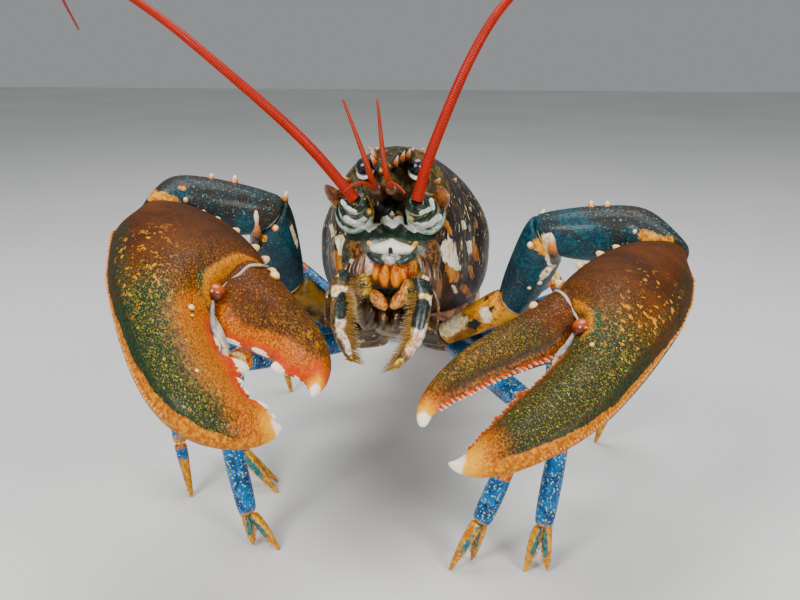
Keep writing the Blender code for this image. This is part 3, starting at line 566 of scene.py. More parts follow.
class Graph:
    """A material's node graph, built step by step from the surface's own coordinates."""

    def __init__(self, name: str, stretch: Triple = (1.0, 1.0, 1.0), turn: Matrix | None = None) -> None:
        """Start a material.

        Args:
            name: Name of the material.
            stretch: Scale of the pattern along its three directions.
            turn: Rotation that brings the pattern's directions onto the axes, if it has any.
        """
        self.material = bpy.data.materials.new(name)
        self.material.use_nodes = True
        self.tree = self.material.node_tree
        self.shader = self.tree.nodes["Principled BSDF"]
        texture = self.tree.nodes.new("ShaderNodeTexCoord")
        mapping = self.tree.nodes.new("ShaderNodeMapping")
        if turn is not None:
            mapping.inputs["Rotation"].default_value = turn.to_euler()
        self.tree.links.new(texture.outputs["Object"], mapping.inputs["Vector"])
        scaled = self.tree.nodes.new("ShaderNodeMapping")
        scaled.inputs["Scale"].default_value = stretch
        self.tree.links.new(mapping.outputs["Vector"], scaled.inputs["Vector"])
        self.vector = scaled.outputs["Vector"]

    def put(self, socket: Socket, value: object) -> None:
        """Set a socket to a value, or link it to another socket.

        Args:
            socket: The socket.
            value: A number, a colour or another socket.
        """
        if isinstance(value, Socket):
            self.tree.links.new(value, socket)
        else:
            socket.default_value = value

    def attribute(self, layer: str) -> Socket:
        """Return a painted layer of the piece.

        Args:
            layer: Name of the painted layer.

        Returns:
            The layer's value.
        """
        node = self.tree.nodes.new("ShaderNodeAttribute")
        node.attribute_name = layer
        return node.outputs["Fac"]

    def noise(self, scale: float, detail: float = 3.0, rough: float = 0.55, bend: float = 0.0) -> Socket:
        """Return a noise with features of about 1 / scale metres.

        Args:
            scale: Fineness of the pattern, per metre.
            detail: Octaves.
            rough: Weight of the finer octaves.
            bend: Distortion.

        Returns:
            A value round 0.5.
        """
        node = self.tree.nodes.new("ShaderNodeTexNoise")
        node.inputs["Scale"].default_value = scale
        node.inputs["Detail"].default_value = detail
        node.inputs["Roughness"].default_value = rough
        node.inputs["Distortion"].default_value = bend
        self.tree.links.new(self.vector, node.inputs["Vector"])
        return node.outputs["Fac"]

    def cells(self, scale: float) -> Socket:
        """Return the distance to the nearest of many scattered points.

        Args:
            scale: Fineness of the pattern, per metre.

        Returns:
            The distance.
        """
        node = self.tree.nodes.new("ShaderNodeTexVoronoi")
        node.inputs["Scale"].default_value = scale
        self.tree.links.new(self.vector, node.inputs["Vector"])
        return node.outputs["Distance"]

    def math(self, kind: str, first: object, second: object = 0.0) -> Socket:
        """Return a sum, product or other arithmetic of two values.

        Args:
            kind: The node's operation.
            first: First value.
            second: Second value.

        Returns:
            The result.
        """
        node = self.tree.nodes.new("ShaderNodeMath")
        node.operation = kind
        self.put(node.inputs[0], first)
        self.put(node.inputs[1], second)
        return node.outputs[0]

    def step(self, value: object, low: float, high: float, first: float = 0.0, last: float = 1.0) -> Socket:
        """Return a soft step of a value from first at low to last at high.

        Args:
            value: The value that is stepped.
            low: Where the step begins.
            high: Where it ends.
            first: Result below it.
            last: Result above it.

        Returns:
            The stepped value.
        """
        node = self.tree.nodes.new("ShaderNodeMapRange")
        node.interpolation_type = "SMOOTHSTEP"
        self.put(node.inputs["Value"], value)
        for socket, number in (("From Min", low), ("From Max", high), ("To Min", first), ("To Max", last)):
            node.inputs[socket].default_value = number
        return node.outputs["Result"]

    def mix(self, share: object, first: object, second: object) -> Socket:
        """Return a mix of two colours.

        Args:
            share: Share of the second colour.
            first: First colour.
            second: Second colour.

        Returns:
            The mixed colour.
        """
        node = self.tree.nodes.new("ShaderNodeMix")
        node.data_type = "RGBA"
        self.put(node.inputs[0], share)
        self.put(node.inputs[6], first)
        self.put(node.inputs[7], second)
        return node.outputs[2]

    def bump(self, height: object, depth: float, normal: Socket | None = None,
             strength: float = 1.0) -> Socket:
        """Return a normal bumped by a height of up to depth metres.

        Args:
            height: The height, from 0 to 1.
            depth: What a height of 1 means, in metres.
            normal: A normal to start from.
            strength: Strength of the bump.

        Returns:
            The bumped normal.
        """
        node = self.tree.nodes.new("ShaderNodeBump")
        node.inputs["Distance"].default_value = depth
        node.inputs["Strength"].default_value = strength
        self.put(node.inputs["Height"], height)
        if normal is not None:
            self.put(node.inputs["Normal"], normal)
        return node.outputs["Normal"]

    def finish(self, colour: object, rough: object, normal: object = None, coat: float = 0.0,
               coat_rough: float = 0.1, specular: float = 0.5, subsurface: float = 0.0
               ) -> Material:
        """Set the shader and return the material.

        Args:
            colour: Base colour.
            rough: Roughness.
            normal: Bumped normal, if any.
            coat: Weight of the clear coat.
            coat_rough: Its roughness.
            specular: Level of the reflections.
            subsurface: Weight of the soft glow.

        Returns:
            The material.
        """
        inputs = self.shader.inputs
        self.put(inputs["Base Color"], colour)
        self.put(inputs["Roughness"], rough)
        if normal is not None:
            self.put(inputs["Normal"], normal)
        inputs["Coat Weight"].default_value = coat
        inputs["Coat Roughness"].default_value = coat_rough
        inputs["Specular IOR Level"].default_value = specular
        if subsurface > 0.0:
            inputs["Subsurface Weight"].default_value = subsurface
            inputs["Subsurface Radius"].default_value = (0.004, 0.002, 0.001)
            inputs["Subsurface Scale"].default_value = 0.5
        return self.material


def paint_marks(piece: Piece, view: PhotoView, marks: Sequence[Mark], layers: Sequence[str]) -> None:
    """Paint layers of markings on a piece, and let its flecks in everywhere.

    Args:
        piece: The piece.
        view: The view whose pixels the markings are given in.
        marks: The markings.
        layers: The layers to paint.
    """
    u, v, depth = view.project(Bench.points(piece))
    for layer in layers:
        total = np.zeros(len(u))
        for mark in marks:
            if mark.layer == layer:
                total = np.maximum(total, mark.strength(u, v, depth))
        Bench.paint(piece, layer, total)
    Bench.fill(piece, "all")


def rooted(shell: Piece, view: PhotoView, rows: Sequence[tuple[Pixel, float, float]]) -> list[Array]:
    """Stand spines on a part, each where the photo shows it.

    Args:
        shell: The part that carries them.
        view: The view whose pixels they are given in.
        rows: Pixel place, radius and length of each; the long ones rise along the shell.

    Returns:
        A frame for each spine.
    """
    places, normals = Bench.points(shell), Bench.normals(shell)
    u, v, _ = view.project(places)
    _, up, ahead = view.axes()
    frames = []
    for (pu, pv), radius, length in rows:
        away = np.hypot(u - pu, v - pv) + np.where(normals @ ahead > -0.1, 1e3, 0.0)
        near = int(np.argmin(away))
        rise, stand = (2.2, 1.3) if length > 6.0 else (0.45, 0.2)
        frames.append(Bench.frame(places[near] - normals[near] * 0.6,
                                  normals[near] + rise * up - stand * ahead, radius, length))
    return frames


@dataclass(frozen=True)
class Speckle:
    """Small flecks of one colour: the layer that lets them in, their size and how many show."""

    layer: str
    colour: str
    scale: float
    share: float
    soft: float = 0.04


@dataclass(frozen=True)
class Wash:
    """A painted colour layer and how ragged its edge is."""

    layer: str
    colour: str
    ragged: float = 0.35
    scale: float = 300.0
    second: str | None = None
    soft: float = 0.12


@dataclass(frozen=True)
class ShellFinish:
    """Living shell: a clouded ground, flecks, painted washes, fine pits and a wet gloss."""

    name: str
    ground: str
    cloud: str
    washes: tuple[Wash, ...] = ()
    speckles: tuple[Speckle, ...] = ()
    cloud_scale: float = 60.0
    rough: tuple[float, float] = (0.24, 0.42)
    pit_depth: float = 0.00012
    pit_scale: float = 900.0
    coat: float = 0.35
    stretch: Triple = (1.0, 1.0, 1.0)
    turn: Matrix | None = None
    speckles_last: bool = False
    specular: float = 0.5

    def flecked(self, graph: Graph, colour: object) -> object:
        """Lay the flecks over a colour.

        Args:
            graph: The material's graph.
            colour: The colour under them.

        Returns:
            The flecked colour.
        """
        for speckle in self.speckles:
            spot = graph.noise(speckle.scale, 2.0, 0.6)
            inside = graph.step(spot, 1.0 - speckle.share, 1.0 - speckle.share + speckle.soft)
            share = graph.math("MULTIPLY", inside, graph.attribute(speckle.layer))
            colour = graph.mix(share, colour, tint(speckle.colour))
        return colour

    def material(self) -> Material:
        """Build the finish as a node material.

        Returns:
            The material.
        """
        graph = Graph(self.name, self.stretch, self.turn)
        clouds = graph.step(graph.noise(self.cloud_scale, 5.0, 0.6, 0.4), 0.36, 0.64)
        colour = graph.mix(clouds, tint(self.ground), tint(self.cloud))
        if not self.speckles_last:
            colour = self.flecked(graph, colour)
        for wash in self.washes:
            edge = graph.math("MULTIPLY_ADD", graph.noise(wash.scale, 4.0, 0.65), wash.ragged)
            edge.node.inputs[2].default_value = -0.5 * wash.ragged
            value = graph.math("ADD", graph.attribute(wash.layer), edge)
            inside = graph.step(value, 0.48 - wash.soft, 0.48 + wash.soft)
            paint: object = tint(wash.colour)
            if wash.second:
                grain = graph.step(graph.noise(wash.scale * 1.6, 3.0, 0.6), 0.42, 0.6)
                paint = graph.mix(grain, paint, tint(wash.second))
            colour = graph.mix(inside, colour, paint)
        if self.speckles_last:
            colour = self.flecked(graph, colour)
        rough = graph.step(graph.noise(220.0, 4.0), 0.3, 0.7, *self.rough)
        pits = graph.step(graph.cells(self.pit_scale), 0.05, 0.45)
        waves = graph.noise(130.0, 5.0, 0.6)
        normal = graph.bump(pits, self.pit_depth, graph.bump(waves, self.pit_depth * 3.0))
        return graph.finish(colour, rough, normal, self.coat, specular=self.specular)


@dataclass(frozen=True)
class SpineFinish:
    """Spines and knobs: the shell's colour at the root, a bright tip."""

    name: str
    root: str
    middle: str
    tip: str
    low: float = 0.15
    high: float = 0.75

    def material(self) -> Material:
        """Build the finish as a node material.

        Returns:
            The material.
        """
        graph = Graph(self.name)
        wander = graph.math("MULTIPLY_ADD", graph.noise(500.0), 0.3)
        wander.node.inputs[2].default_value = -0.15
        height = graph.math("ADD", graph.attribute("height"), wander)
        middle = (self.low + self.high) / 2.0
        colour = graph.mix(graph.step(height, self.low, middle), tint(self.root), tint(self.middle))
        colour = graph.mix(graph.step(height, middle, self.high), colour, tint(self.tip))
        normal = graph.bump(graph.noise(900.0, 4.0), 0.00008)
        return graph.finish(colour, 0.28, normal, 0.4, subsurface=0.08)


@dataclass(frozen=True)
class FeelerFinish:
    """Feelers: saturated red with the fine rings of their joints."""

    name: str = "feeler_red"
    bright: str = "b01e00"
    dark: str = "4a0a00"
    rings_per_mm: float = 1.15

    def material(self) -> Material:
        """Build the finish as a node material.

        Returns:
            The material.
        """
        graph = Graph(self.name)
        along = graph.attribute("along")
        wave = graph.math("SINE", graph.math("MULTIPLY", along, self.rings_per_mm * math.tau))
        groove = graph.step(wave, -1.0, -0.55)
        tone = graph.step(graph.noise(160.0, 4.0), 0.3, 0.7, 0.0, 0.45)
        colour = graph.mix(tone, tint(self.bright), tint("8c1400"))
        colour = graph.mix(graph.step(groove, 0.0, 1.0, 0.45, 1.0), tint(self.dark), colour)
        normal = graph.bump(groove, 0.00012)
        return graph.finish(colour, 0.44, normal, 0.04, specular=0.2)


@dataclass(frozen=True)
class PlainFinish:
    """A softer surface of two near colours, for skin, membrane and teeth."""

    name: str
    first: str
    second: str
    scale: float = 300.0
    rough: float = 0.4
    depth: float = 0.0001
    coat: float = 0.2
    subsurface: float = 0.1

    def material(self) -> Material:
        """Build the finish as a node material.

        Returns:
            The material.
        """
        graph = Graph(self.name)
        tone = graph.step(graph.noise(self.scale, 5.0, 0.6, 0.3), 0.38, 0.62)
        colour = graph.mix(tone, tint(self.first), tint(self.second))
        normal = graph.bump(graph.noise(self.scale * 2.5, 4.0), self.depth)
        return graph.finish(colour, self.rough, normal, self.coat, subsurface=self.subsurface)


@dataclass(frozen=True)
class CarapaceStation:
    """One cross-section of the carapace."""

    back: float
    half: float
    top: float
    bottom: float


CARAPACE = tuple(CarapaceStation(*row) for row in (
    (0.0, 21.5, 28.5, -26.0), (6.0, 24.0, 31.0, -30.0), (14.0, 26.5, 33.5, -33.0),
    (25.0, 29.5, 35.0, -34.0), (38.0, 32.0, 36.0, -34.0), (50.0, 34.0, 36.2, -34.0),
    (62.0, 35.2, 36.0, -34.0), (70.0, 35.2, 35.2, -34.0), (74.0, 35.0, 34.6, -34.0),
    (79.0, 35.8, 35.8, -34.0), (90.0, 36.0, 35.8, -34.0), (104.0, 34.8, 34.0, -33.0),
    (114.0, 33.0, 31.8, -31.5), (120.0, 31.5, 30.2, -30.0)))


class LimbShop:
    """Makes the rings of limbs whose parts meet on the planes that halve their joints."""

    @staticmethod
    def joint_plane(before: Array, at: Array, after: Array) -> Array:
        """Return the normal of the plane that halves a joint."""
        return unit(unit(at - before) + unit(after - at))

    @staticmethod
    def rings(points: Sequence[Array], profiles: Sequence[Profile], guide: Array,
              ends: tuple[Array | None, Array | None] = (None, None), sides: int = 16,
              power: float = 2.1, gap: float = 0.15) -> Array:
        """Return the rings of a limb part.

        Args:
            points: The places of its bends, from root to tip.
            profiles: For each straight stretch, rows of share, half width and half depth.
            guide: The direction that the width is measured along.
            ends: Plane normals at the root and at the tip, where they aren't square.
            sides: Sides of each ring.
            power: How boxy the section is; 2 is round.
            gap: Room kept to the neighbouring part, in millimetres.

        Returns:
            Ring places, as rings by sides by three.
        """
        cuts = []
        for i, point in enumerate(points):
            if i == 0:
                cuts.append(unit(points[1] - point) if ends[0] is None else ends[0])
            elif i == len(points) - 1:
                cuts.append(unit(point - points[-2]) if ends[1] is None else ends[1])
            else:
                cuts.append(LimbShop.joint_plane(points[i - 1], point, points[i + 1]))
        made = []
        for i, profile in enumerate(profiles):
            start, end = points[i], points[i + 1]
            axis = unit(end - start)
            length = np.linalg.norm(end - start)
            side, depth = across_of(axis, guide)
            first, last = cuts[i], cuts[i + 1]
            for share, width, thick in (profile if i == 0 else profile[1:]):
                ring = []
                for k in range(sides):
                    c, s = super_pair(math.tau * k / sides, power)
                    off = side * (width * c) + depth * (thick * s)
                    low = -off @ first / (axis @ first) + (gap if i == 0 else 0.0)
                    high = length - off @ last / (axis @ last) - (gap if i == len(profiles) - 1 else 0.0)
                    ring.append(start + off + axis * (low * (1.0 - share) + high * share))
                made.append(ring)
        return np.array(made)

    @staticmethod
    def scaled(profile: Profile, width: float) -> list[Triple]:
        """Return a profile whose widths are multiplied."""
        return [(share, across * width, deep * width) for share, across, deep in profile]

    @staticmethod
    def along(points: Array, start: Array, end: Array) -> Array:
        """Return how far along a stretch many points lie, from 0 at its start to 1 at its end."""
        span = end - start
        return (points - start) @ span / (span @ span)


def curve_points(points: Sequence[Array], steps: int) -> Array:
    """Return places on the smooth curve through the given ones.

    Args:
        points: The places to pass through.
        steps: How many places each stretch gets.

    Returns:
        The places in order, with both ends.
    """
    ends = [2 * points[0] - points[1], *points, 2 * points[-1] - points[-2]]
    out = []
    for a, b, c, d in zip(ends, ends[1:], ends[2:], ends[3:]):
        for k in range(steps):
            t = k / steps
            out.append(0.5 * (2 * b + (c - a) * t + (2 * a - 5 * b + 4 * c - d) * t * t
                              + (3 * b - 3 * c + d - a) * t ** 3))
    return np.array([*out, points[-1]])


def whip_rings(path: Array, radius: Callable[[float], float], sides: int) -> tuple[Array, Array]:
    """Return the rings of a feeler along a path, and the distance of each from its root.

    Args:
        path: Places along the middle.
        radius: Radius at a share of the length.
        sides: Sides of each ring.

    Returns:
        The rings, and a distance for each.
    """
    side = unit(np.cross(path[1] - path[0], (0.0, 0.0, 1.0)))
    steps = np.concatenate([[0.0], np.cumsum(np.linalg.norm(np.diff(path, axis=0), axis=1))])
    rings = []
    for i, point in enumerate(path):
        axis = unit(path[min(i + 1, len(path) - 1)] - path[max(i - 1, 0)])
        side, depth = across_of(axis, side)
        size = radius(steps[i] / steps[-1])
        rings.append([point + size * (side * math.cos(a) + depth * math.sin(a)) for a in circle(sides)])
    return np.array(rings), steps


def line_distance(u: Array, v: Array, line: Sequence[Pixel]) -> Array:
    """Return the distance of many flat points from a line of straight stretches.

    Args:
        u: First coordinates of the points.
        v: Second coordinates.
        line: The corners of the line.

    Returns:
        A distance for each point.
    """
    away = np.full(len(u), np.inf)
    for (u0, v0), (u1, v1) in zip(line, line[1:]):
        du, dv = u1 - u0, v1 - v0
        t = np.clip(((u - u0) * du + (v - v0) * dv) / max(du * du + dv * dv, 1e-9), 0.0, 1.0)
        away = np.minimum(away, np.hypot(u - u0 - t * du, v - v0 - t * dv))
    return away


@dataclass(frozen=True)
class ClawPlan:
    """Sizes of one claw in its own terms: along from the wrist, inwards, and off its upper face."""

    side: Side
    wrist: Triple
    tip: Triple
    face: Triple
    palm: tuple[Section, ...]
    finger: tuple[Section, ...]
    palm_teeth: Triples
    finger_teeth: Triples
    inner_spines: Triples
    condyle: Triple
    arch: tuple[Pixel, ...]
    membranes: tuple[tuple[Pixel, ...], ...]
    pouch: Triples
    face_knobs: Triples
    rim_count: int
    rim_radius: float
    palm_end: float
    palm_tip: Pixel
    finger_tip: Pixel
    white_tip: float
    sink: float
    molars: bool


CRUSHER = ClawPlan(side=Side.RIGHT, wrist=(-78.9, -33.9, 130.5), tip=(-15.0, -115.7, 80.7),
    face=(0.331, -0.289, 0.898), palm=(((-2.0, -6.0), (2.5, 8.0), 5.6), ((-1.6, -6.6), (2.8, 8.8), 6.4),
    ((5.0, -12.0), (6.0, 14.5), 8.6), ((13.0, -20.6), (14.0, 20.0), 11.2),
    ((27.0, -25.8), (27.0, 22.8), 14.2), ((40.0, -30.4), (42.0, 24.0), 15.8),
    ((51.0, -33.0), (51.5, 22.3), 16.0), ((62.0, -34.6), (62.0, 0.0), 14.5),
    ((74.0, -35.6), (74.0, -8.6), 12.0), ((86.0, -36.3), (84.0, -9.8), 11.0),
    ((98.0, -35.7), (95.0, -9.0), 10.0), ((108.0, -32.8), (103.0, -8.6), 8.5),
    ((115.0, -28.0), (108.5, -5.5), 7.0), ((120.0, -20.4), (112.5, -3.6), 5.0),
    ((121.8, -12.5), (114.8, -2.3), 3.0), ((120.0, -5.6), (116.2, -1.2), 1.2)),
    finger=(((46.0, 15.5), (57.0, -2.0), 9.6), ((47.0, 18.6), (59.5, -3.6), 11.6),
    ((51.0, 21.6), (63.0, -4.8), 12.2), ((56.0, 23.6), (67.5, -5.2), 12.0),
    ((62.0, 24.8), (71.5, -4.8), 11.4), ((70.0, 26.4), (76.4, -2.0), 10.6),
    ((79.0, 27.2), (81.0, 5.0), 9.3), ((87.0, 26.8), (86.3, 10.2), 8.0), ((94.0, 25.2), (92.4, 12.4), 6.3),
    ((100.0, 21.6), (97.0, 14.2), 4.5), ((104.0, 17.2), (101.0, 13.8), 2.8),
    ((106.0, 13.6), (104.8, 12.4), 0.9)),
    palm_teeth=((80.5, 3.6, 2.4), (91.0, 4.6, 7.4), (97.5, 2.4, 3.0), (102.0, 2.0, 2.6), (107.6, 2.6, 3.4),
    (112.0, 1.6, 2.0)), finger_teeth=((76.6, 3.2, 2.2), (82.4, 3.0, 2.0), (90.4, 3.7, 6.2),
    (95.4, 1.6, 2.4), (98.2, 1.2, 1.4), (100.6, 1.0, 1.1)),
    inner_spines=((5.6, 1.7, 2.5), (10.5, 1.8, 2.8), (19.5, 1.9, 3.1), (32.0, 2.0, 3.3), (40.0, 1.9, 3.0),
    (48.0, 2.0, 2.8)), condyle=(64.5, -4.4, 8.6),
    arch=((67.0, -8.0), (61.0, -5.5), (57.0, 0.5), (52.5, 8.0), (51.5, 17.5)),
    membranes=(((62.4, -2.4), (60.4, 1.6), (59.6, 5.0), (56.8, 9.0), (56.4, 13.0), (54.4, 17.4)),
    ((66.4, -5.8), (70.0, -6.8), (74.5, -7.6), (79.0, -7.4), (83.0, -7.0))),
    pouch=((68.0, -5.0, 2.0), (76.0, -6.0, 0.6), (86.5, -6.6, -1.6)),
    face_knobs=((73.3, -15.8, 1.1), (99.0, -22.9, 0.7), (60.0, 17.4, 1.7), (76.5, -16.6, 0.5)),
    rim_count=72, rim_radius=0.62, palm_end=122.0, palm_tip=(117.0, -1.5), finger_tip=(106.0, 13.0),
    white_tip=3.6, sink=6.0, molars=True)

CUTTER = ClawPlan(side=Side.LEFT, wrist=(102.6, -21.6, 116.9), tip=(29.8, -113.6, 71.8),
    face=(-0.126, -0.355, 0.926), palm=(((-2.5, -4.0), (5.5, 8.6), 5.2), ((-2.1, -4.6), (5.7, 9.2), 5.9),
    ((5.0, -9.0), (7.5, 14.0), 7.8), ((12.0, -15.5), (13.5, 16.6), 9.8),
    ((25.0, -22.0), (24.0, 18.6), 12.0), ((39.0, -26.3), (37.0, 18.5), 13.4),
    ((52.0, -28.3), (51.0, 16.6), 13.0), ((60.0, -29.2), (60.0, 0.5), 11.5),
    ((72.0, -30.0), (72.0, -4.0), 9.5), ((84.0, -30.5), (84.0, -4.4), 8.5),
    ((95.0, -29.3), (96.0, -3.6), 7.5), ((105.0, -26.3), (106.0, -3.7), 6.5),
    ((114.0, -22.6), (113.5, -4.2), 5.3), ((121.0, -18.4), (119.5, -4.7), 4.0),
    ((126.3, -13.0), (124.5, -4.4), 2.6), ((128.0, -6.6), (126.6, -2.0), 1.0)),
    finger=(((45.0, 11.5), (56.5, -2.0), 8.2), ((46.0, 14.0), (59.0, -3.2), 9.6),
    ((50.0, 16.4), (62.5, -3.6), 10.2), ((56.0, 17.6), (67.0, -2.8), 9.8),
    ((62.0, 18.2), (71.0, -1.4), 8.8), ((70.0, 20.8), (76.5, 1.2), 8.0), ((80.0, 23.6), (83.6, 4.8), 7.0),
    ((90.0, 25.0), (92.0, 8.6), 6.0), ((100.0, 24.6), (101.0, 11.6), 5.0),
    ((109.0, 22.8), (108.5, 14.3), 3.8), ((115.5, 19.8), (113.8, 14.6), 2.4),
    ((119.6, 15.0), (118.0, 12.6), 0.9)),
    palm_teeth=tuple((74.0 + 1.72 * k, 0.8 + (0.7 if k == 11 else 0.25 * (k % 4 == 2)),
    1.5 + (1.6 if k == 11 else 0.5 * (k % 4 == 2))) for k in range(27)),
    finger_teeth=tuple((70.0 + 1.7 * k, 0.75 + 0.25 * (k % 5 == 3), 1.4 + 0.5 * (k % 5 == 3))
    for k in range(25)), inner_spines=((4.0, 1.5, 2.3), (10.5, 1.7, 2.9), (17.5, 1.8, 3.2),
    (28.0, 1.9, 3.4), (41.5, 1.9, 3.2)), condyle=(64.5, -6.4, 8.0),
    arch=((71.0, -9.5), (66.0, -10.4), (60.0, -6.6), (57.0, 0.0), (52.5, 14.0)),
    membranes=(((61.6, -3.6), (58.6, 1.0), (55.6, 5.6), (53.4, 10.6), (50.6, 15.0)),
    ((65.6, -4.4), (68.4, -4.6), (71.4, -3.9), (74.0, -2.9))),
    pouch=((64.0, -3.0, 2.0), (69.0, -3.0, 0.6), (75.0, -2.0, -0.6)),
    face_knobs=((71.2, -14.6, 0.8), (62.0, 13.8, 1.6)), rim_count=90, rim_radius=0.5, palm_end=128.0,
    palm_tip=(127.6, -2.6), finger_tip=(119.5, 13.4), white_tip=5.0, sink=4.6, molars=False)


@dataclass(frozen=True)
class ClawColours:
    """Colour codes of the claws."""

    ground: str = "3e1c02"
    cloud: str = "582a02"
    green: str = "10241a"
    green_cloud: str = "2a3c1a"
    haze: str = "984000"
    haze_cloud: str = "d07800"
    red: str = "c03400"
    rim: str = "a45200"
    rim_cloud: str = "d08400"
    yellow: str = "f0a400"
    white: str = "fff0d8"
    fleck: str = "dc8c00"
    dot: str = "8c7a1a"
    clump: str = "b0a040"
    ring: str = "0c3a20"

    def finish(self, name: str, turn: Matrix) -> ShellFinish:
        """Return the shell finish of a claw whose own directions the turn brings onto the axes.

        Args:
            name: Its name.
            turn: Rotation onto the axes.

        Returns:
            The finish.
        """
        return ShellFinish(name=name, ground=self.ground, cloud=self.cloud, cloud_scale=60.0, turn=turn,
            stretch=(0.8, 1.12, 1.0), rough=(0.46, 0.64), pit_depth=0.00016, pit_scale=1100.0, coat=0.02,
            specular=0.15, washes=(Wash("green", self.green, 1.2, 900.0, self.green_cloud, 0.3),
            Wash("haze", self.haze, 1.5, 1000.0, self.haze_cloud, 0.34),
            Wash("ring", self.ring, 0.6, 700.0, None, 0.25),
            Wash("arch", self.rim, 1.1, 800.0, self.rim_cloud, 0.3),
            Wash("red", self.red, 0.8, 420.0, "c85000", 0.34),
            Wash("rim", self.rim, 1.1, 560.0, self.rim_cloud, 0.16),
            Wash("yellow", self.yellow, 0.7, 800.0, None, 0.46),
            Wash("white", self.white, 0.3, 600.0, None, 0.26)),
            speckles=(Speckle("fleck", self.fleck, 480.0, 0.42, 0.06),
            Speckle("dust", self.haze_cloud, 1700.0, 0.44, 0.12),
            Speckle("dot", self.dot, 1900.0, 0.46, 0.12), Speckle("dot", self.clump, 820.0, 0.37, 0.08)),
            speckles_last=True)


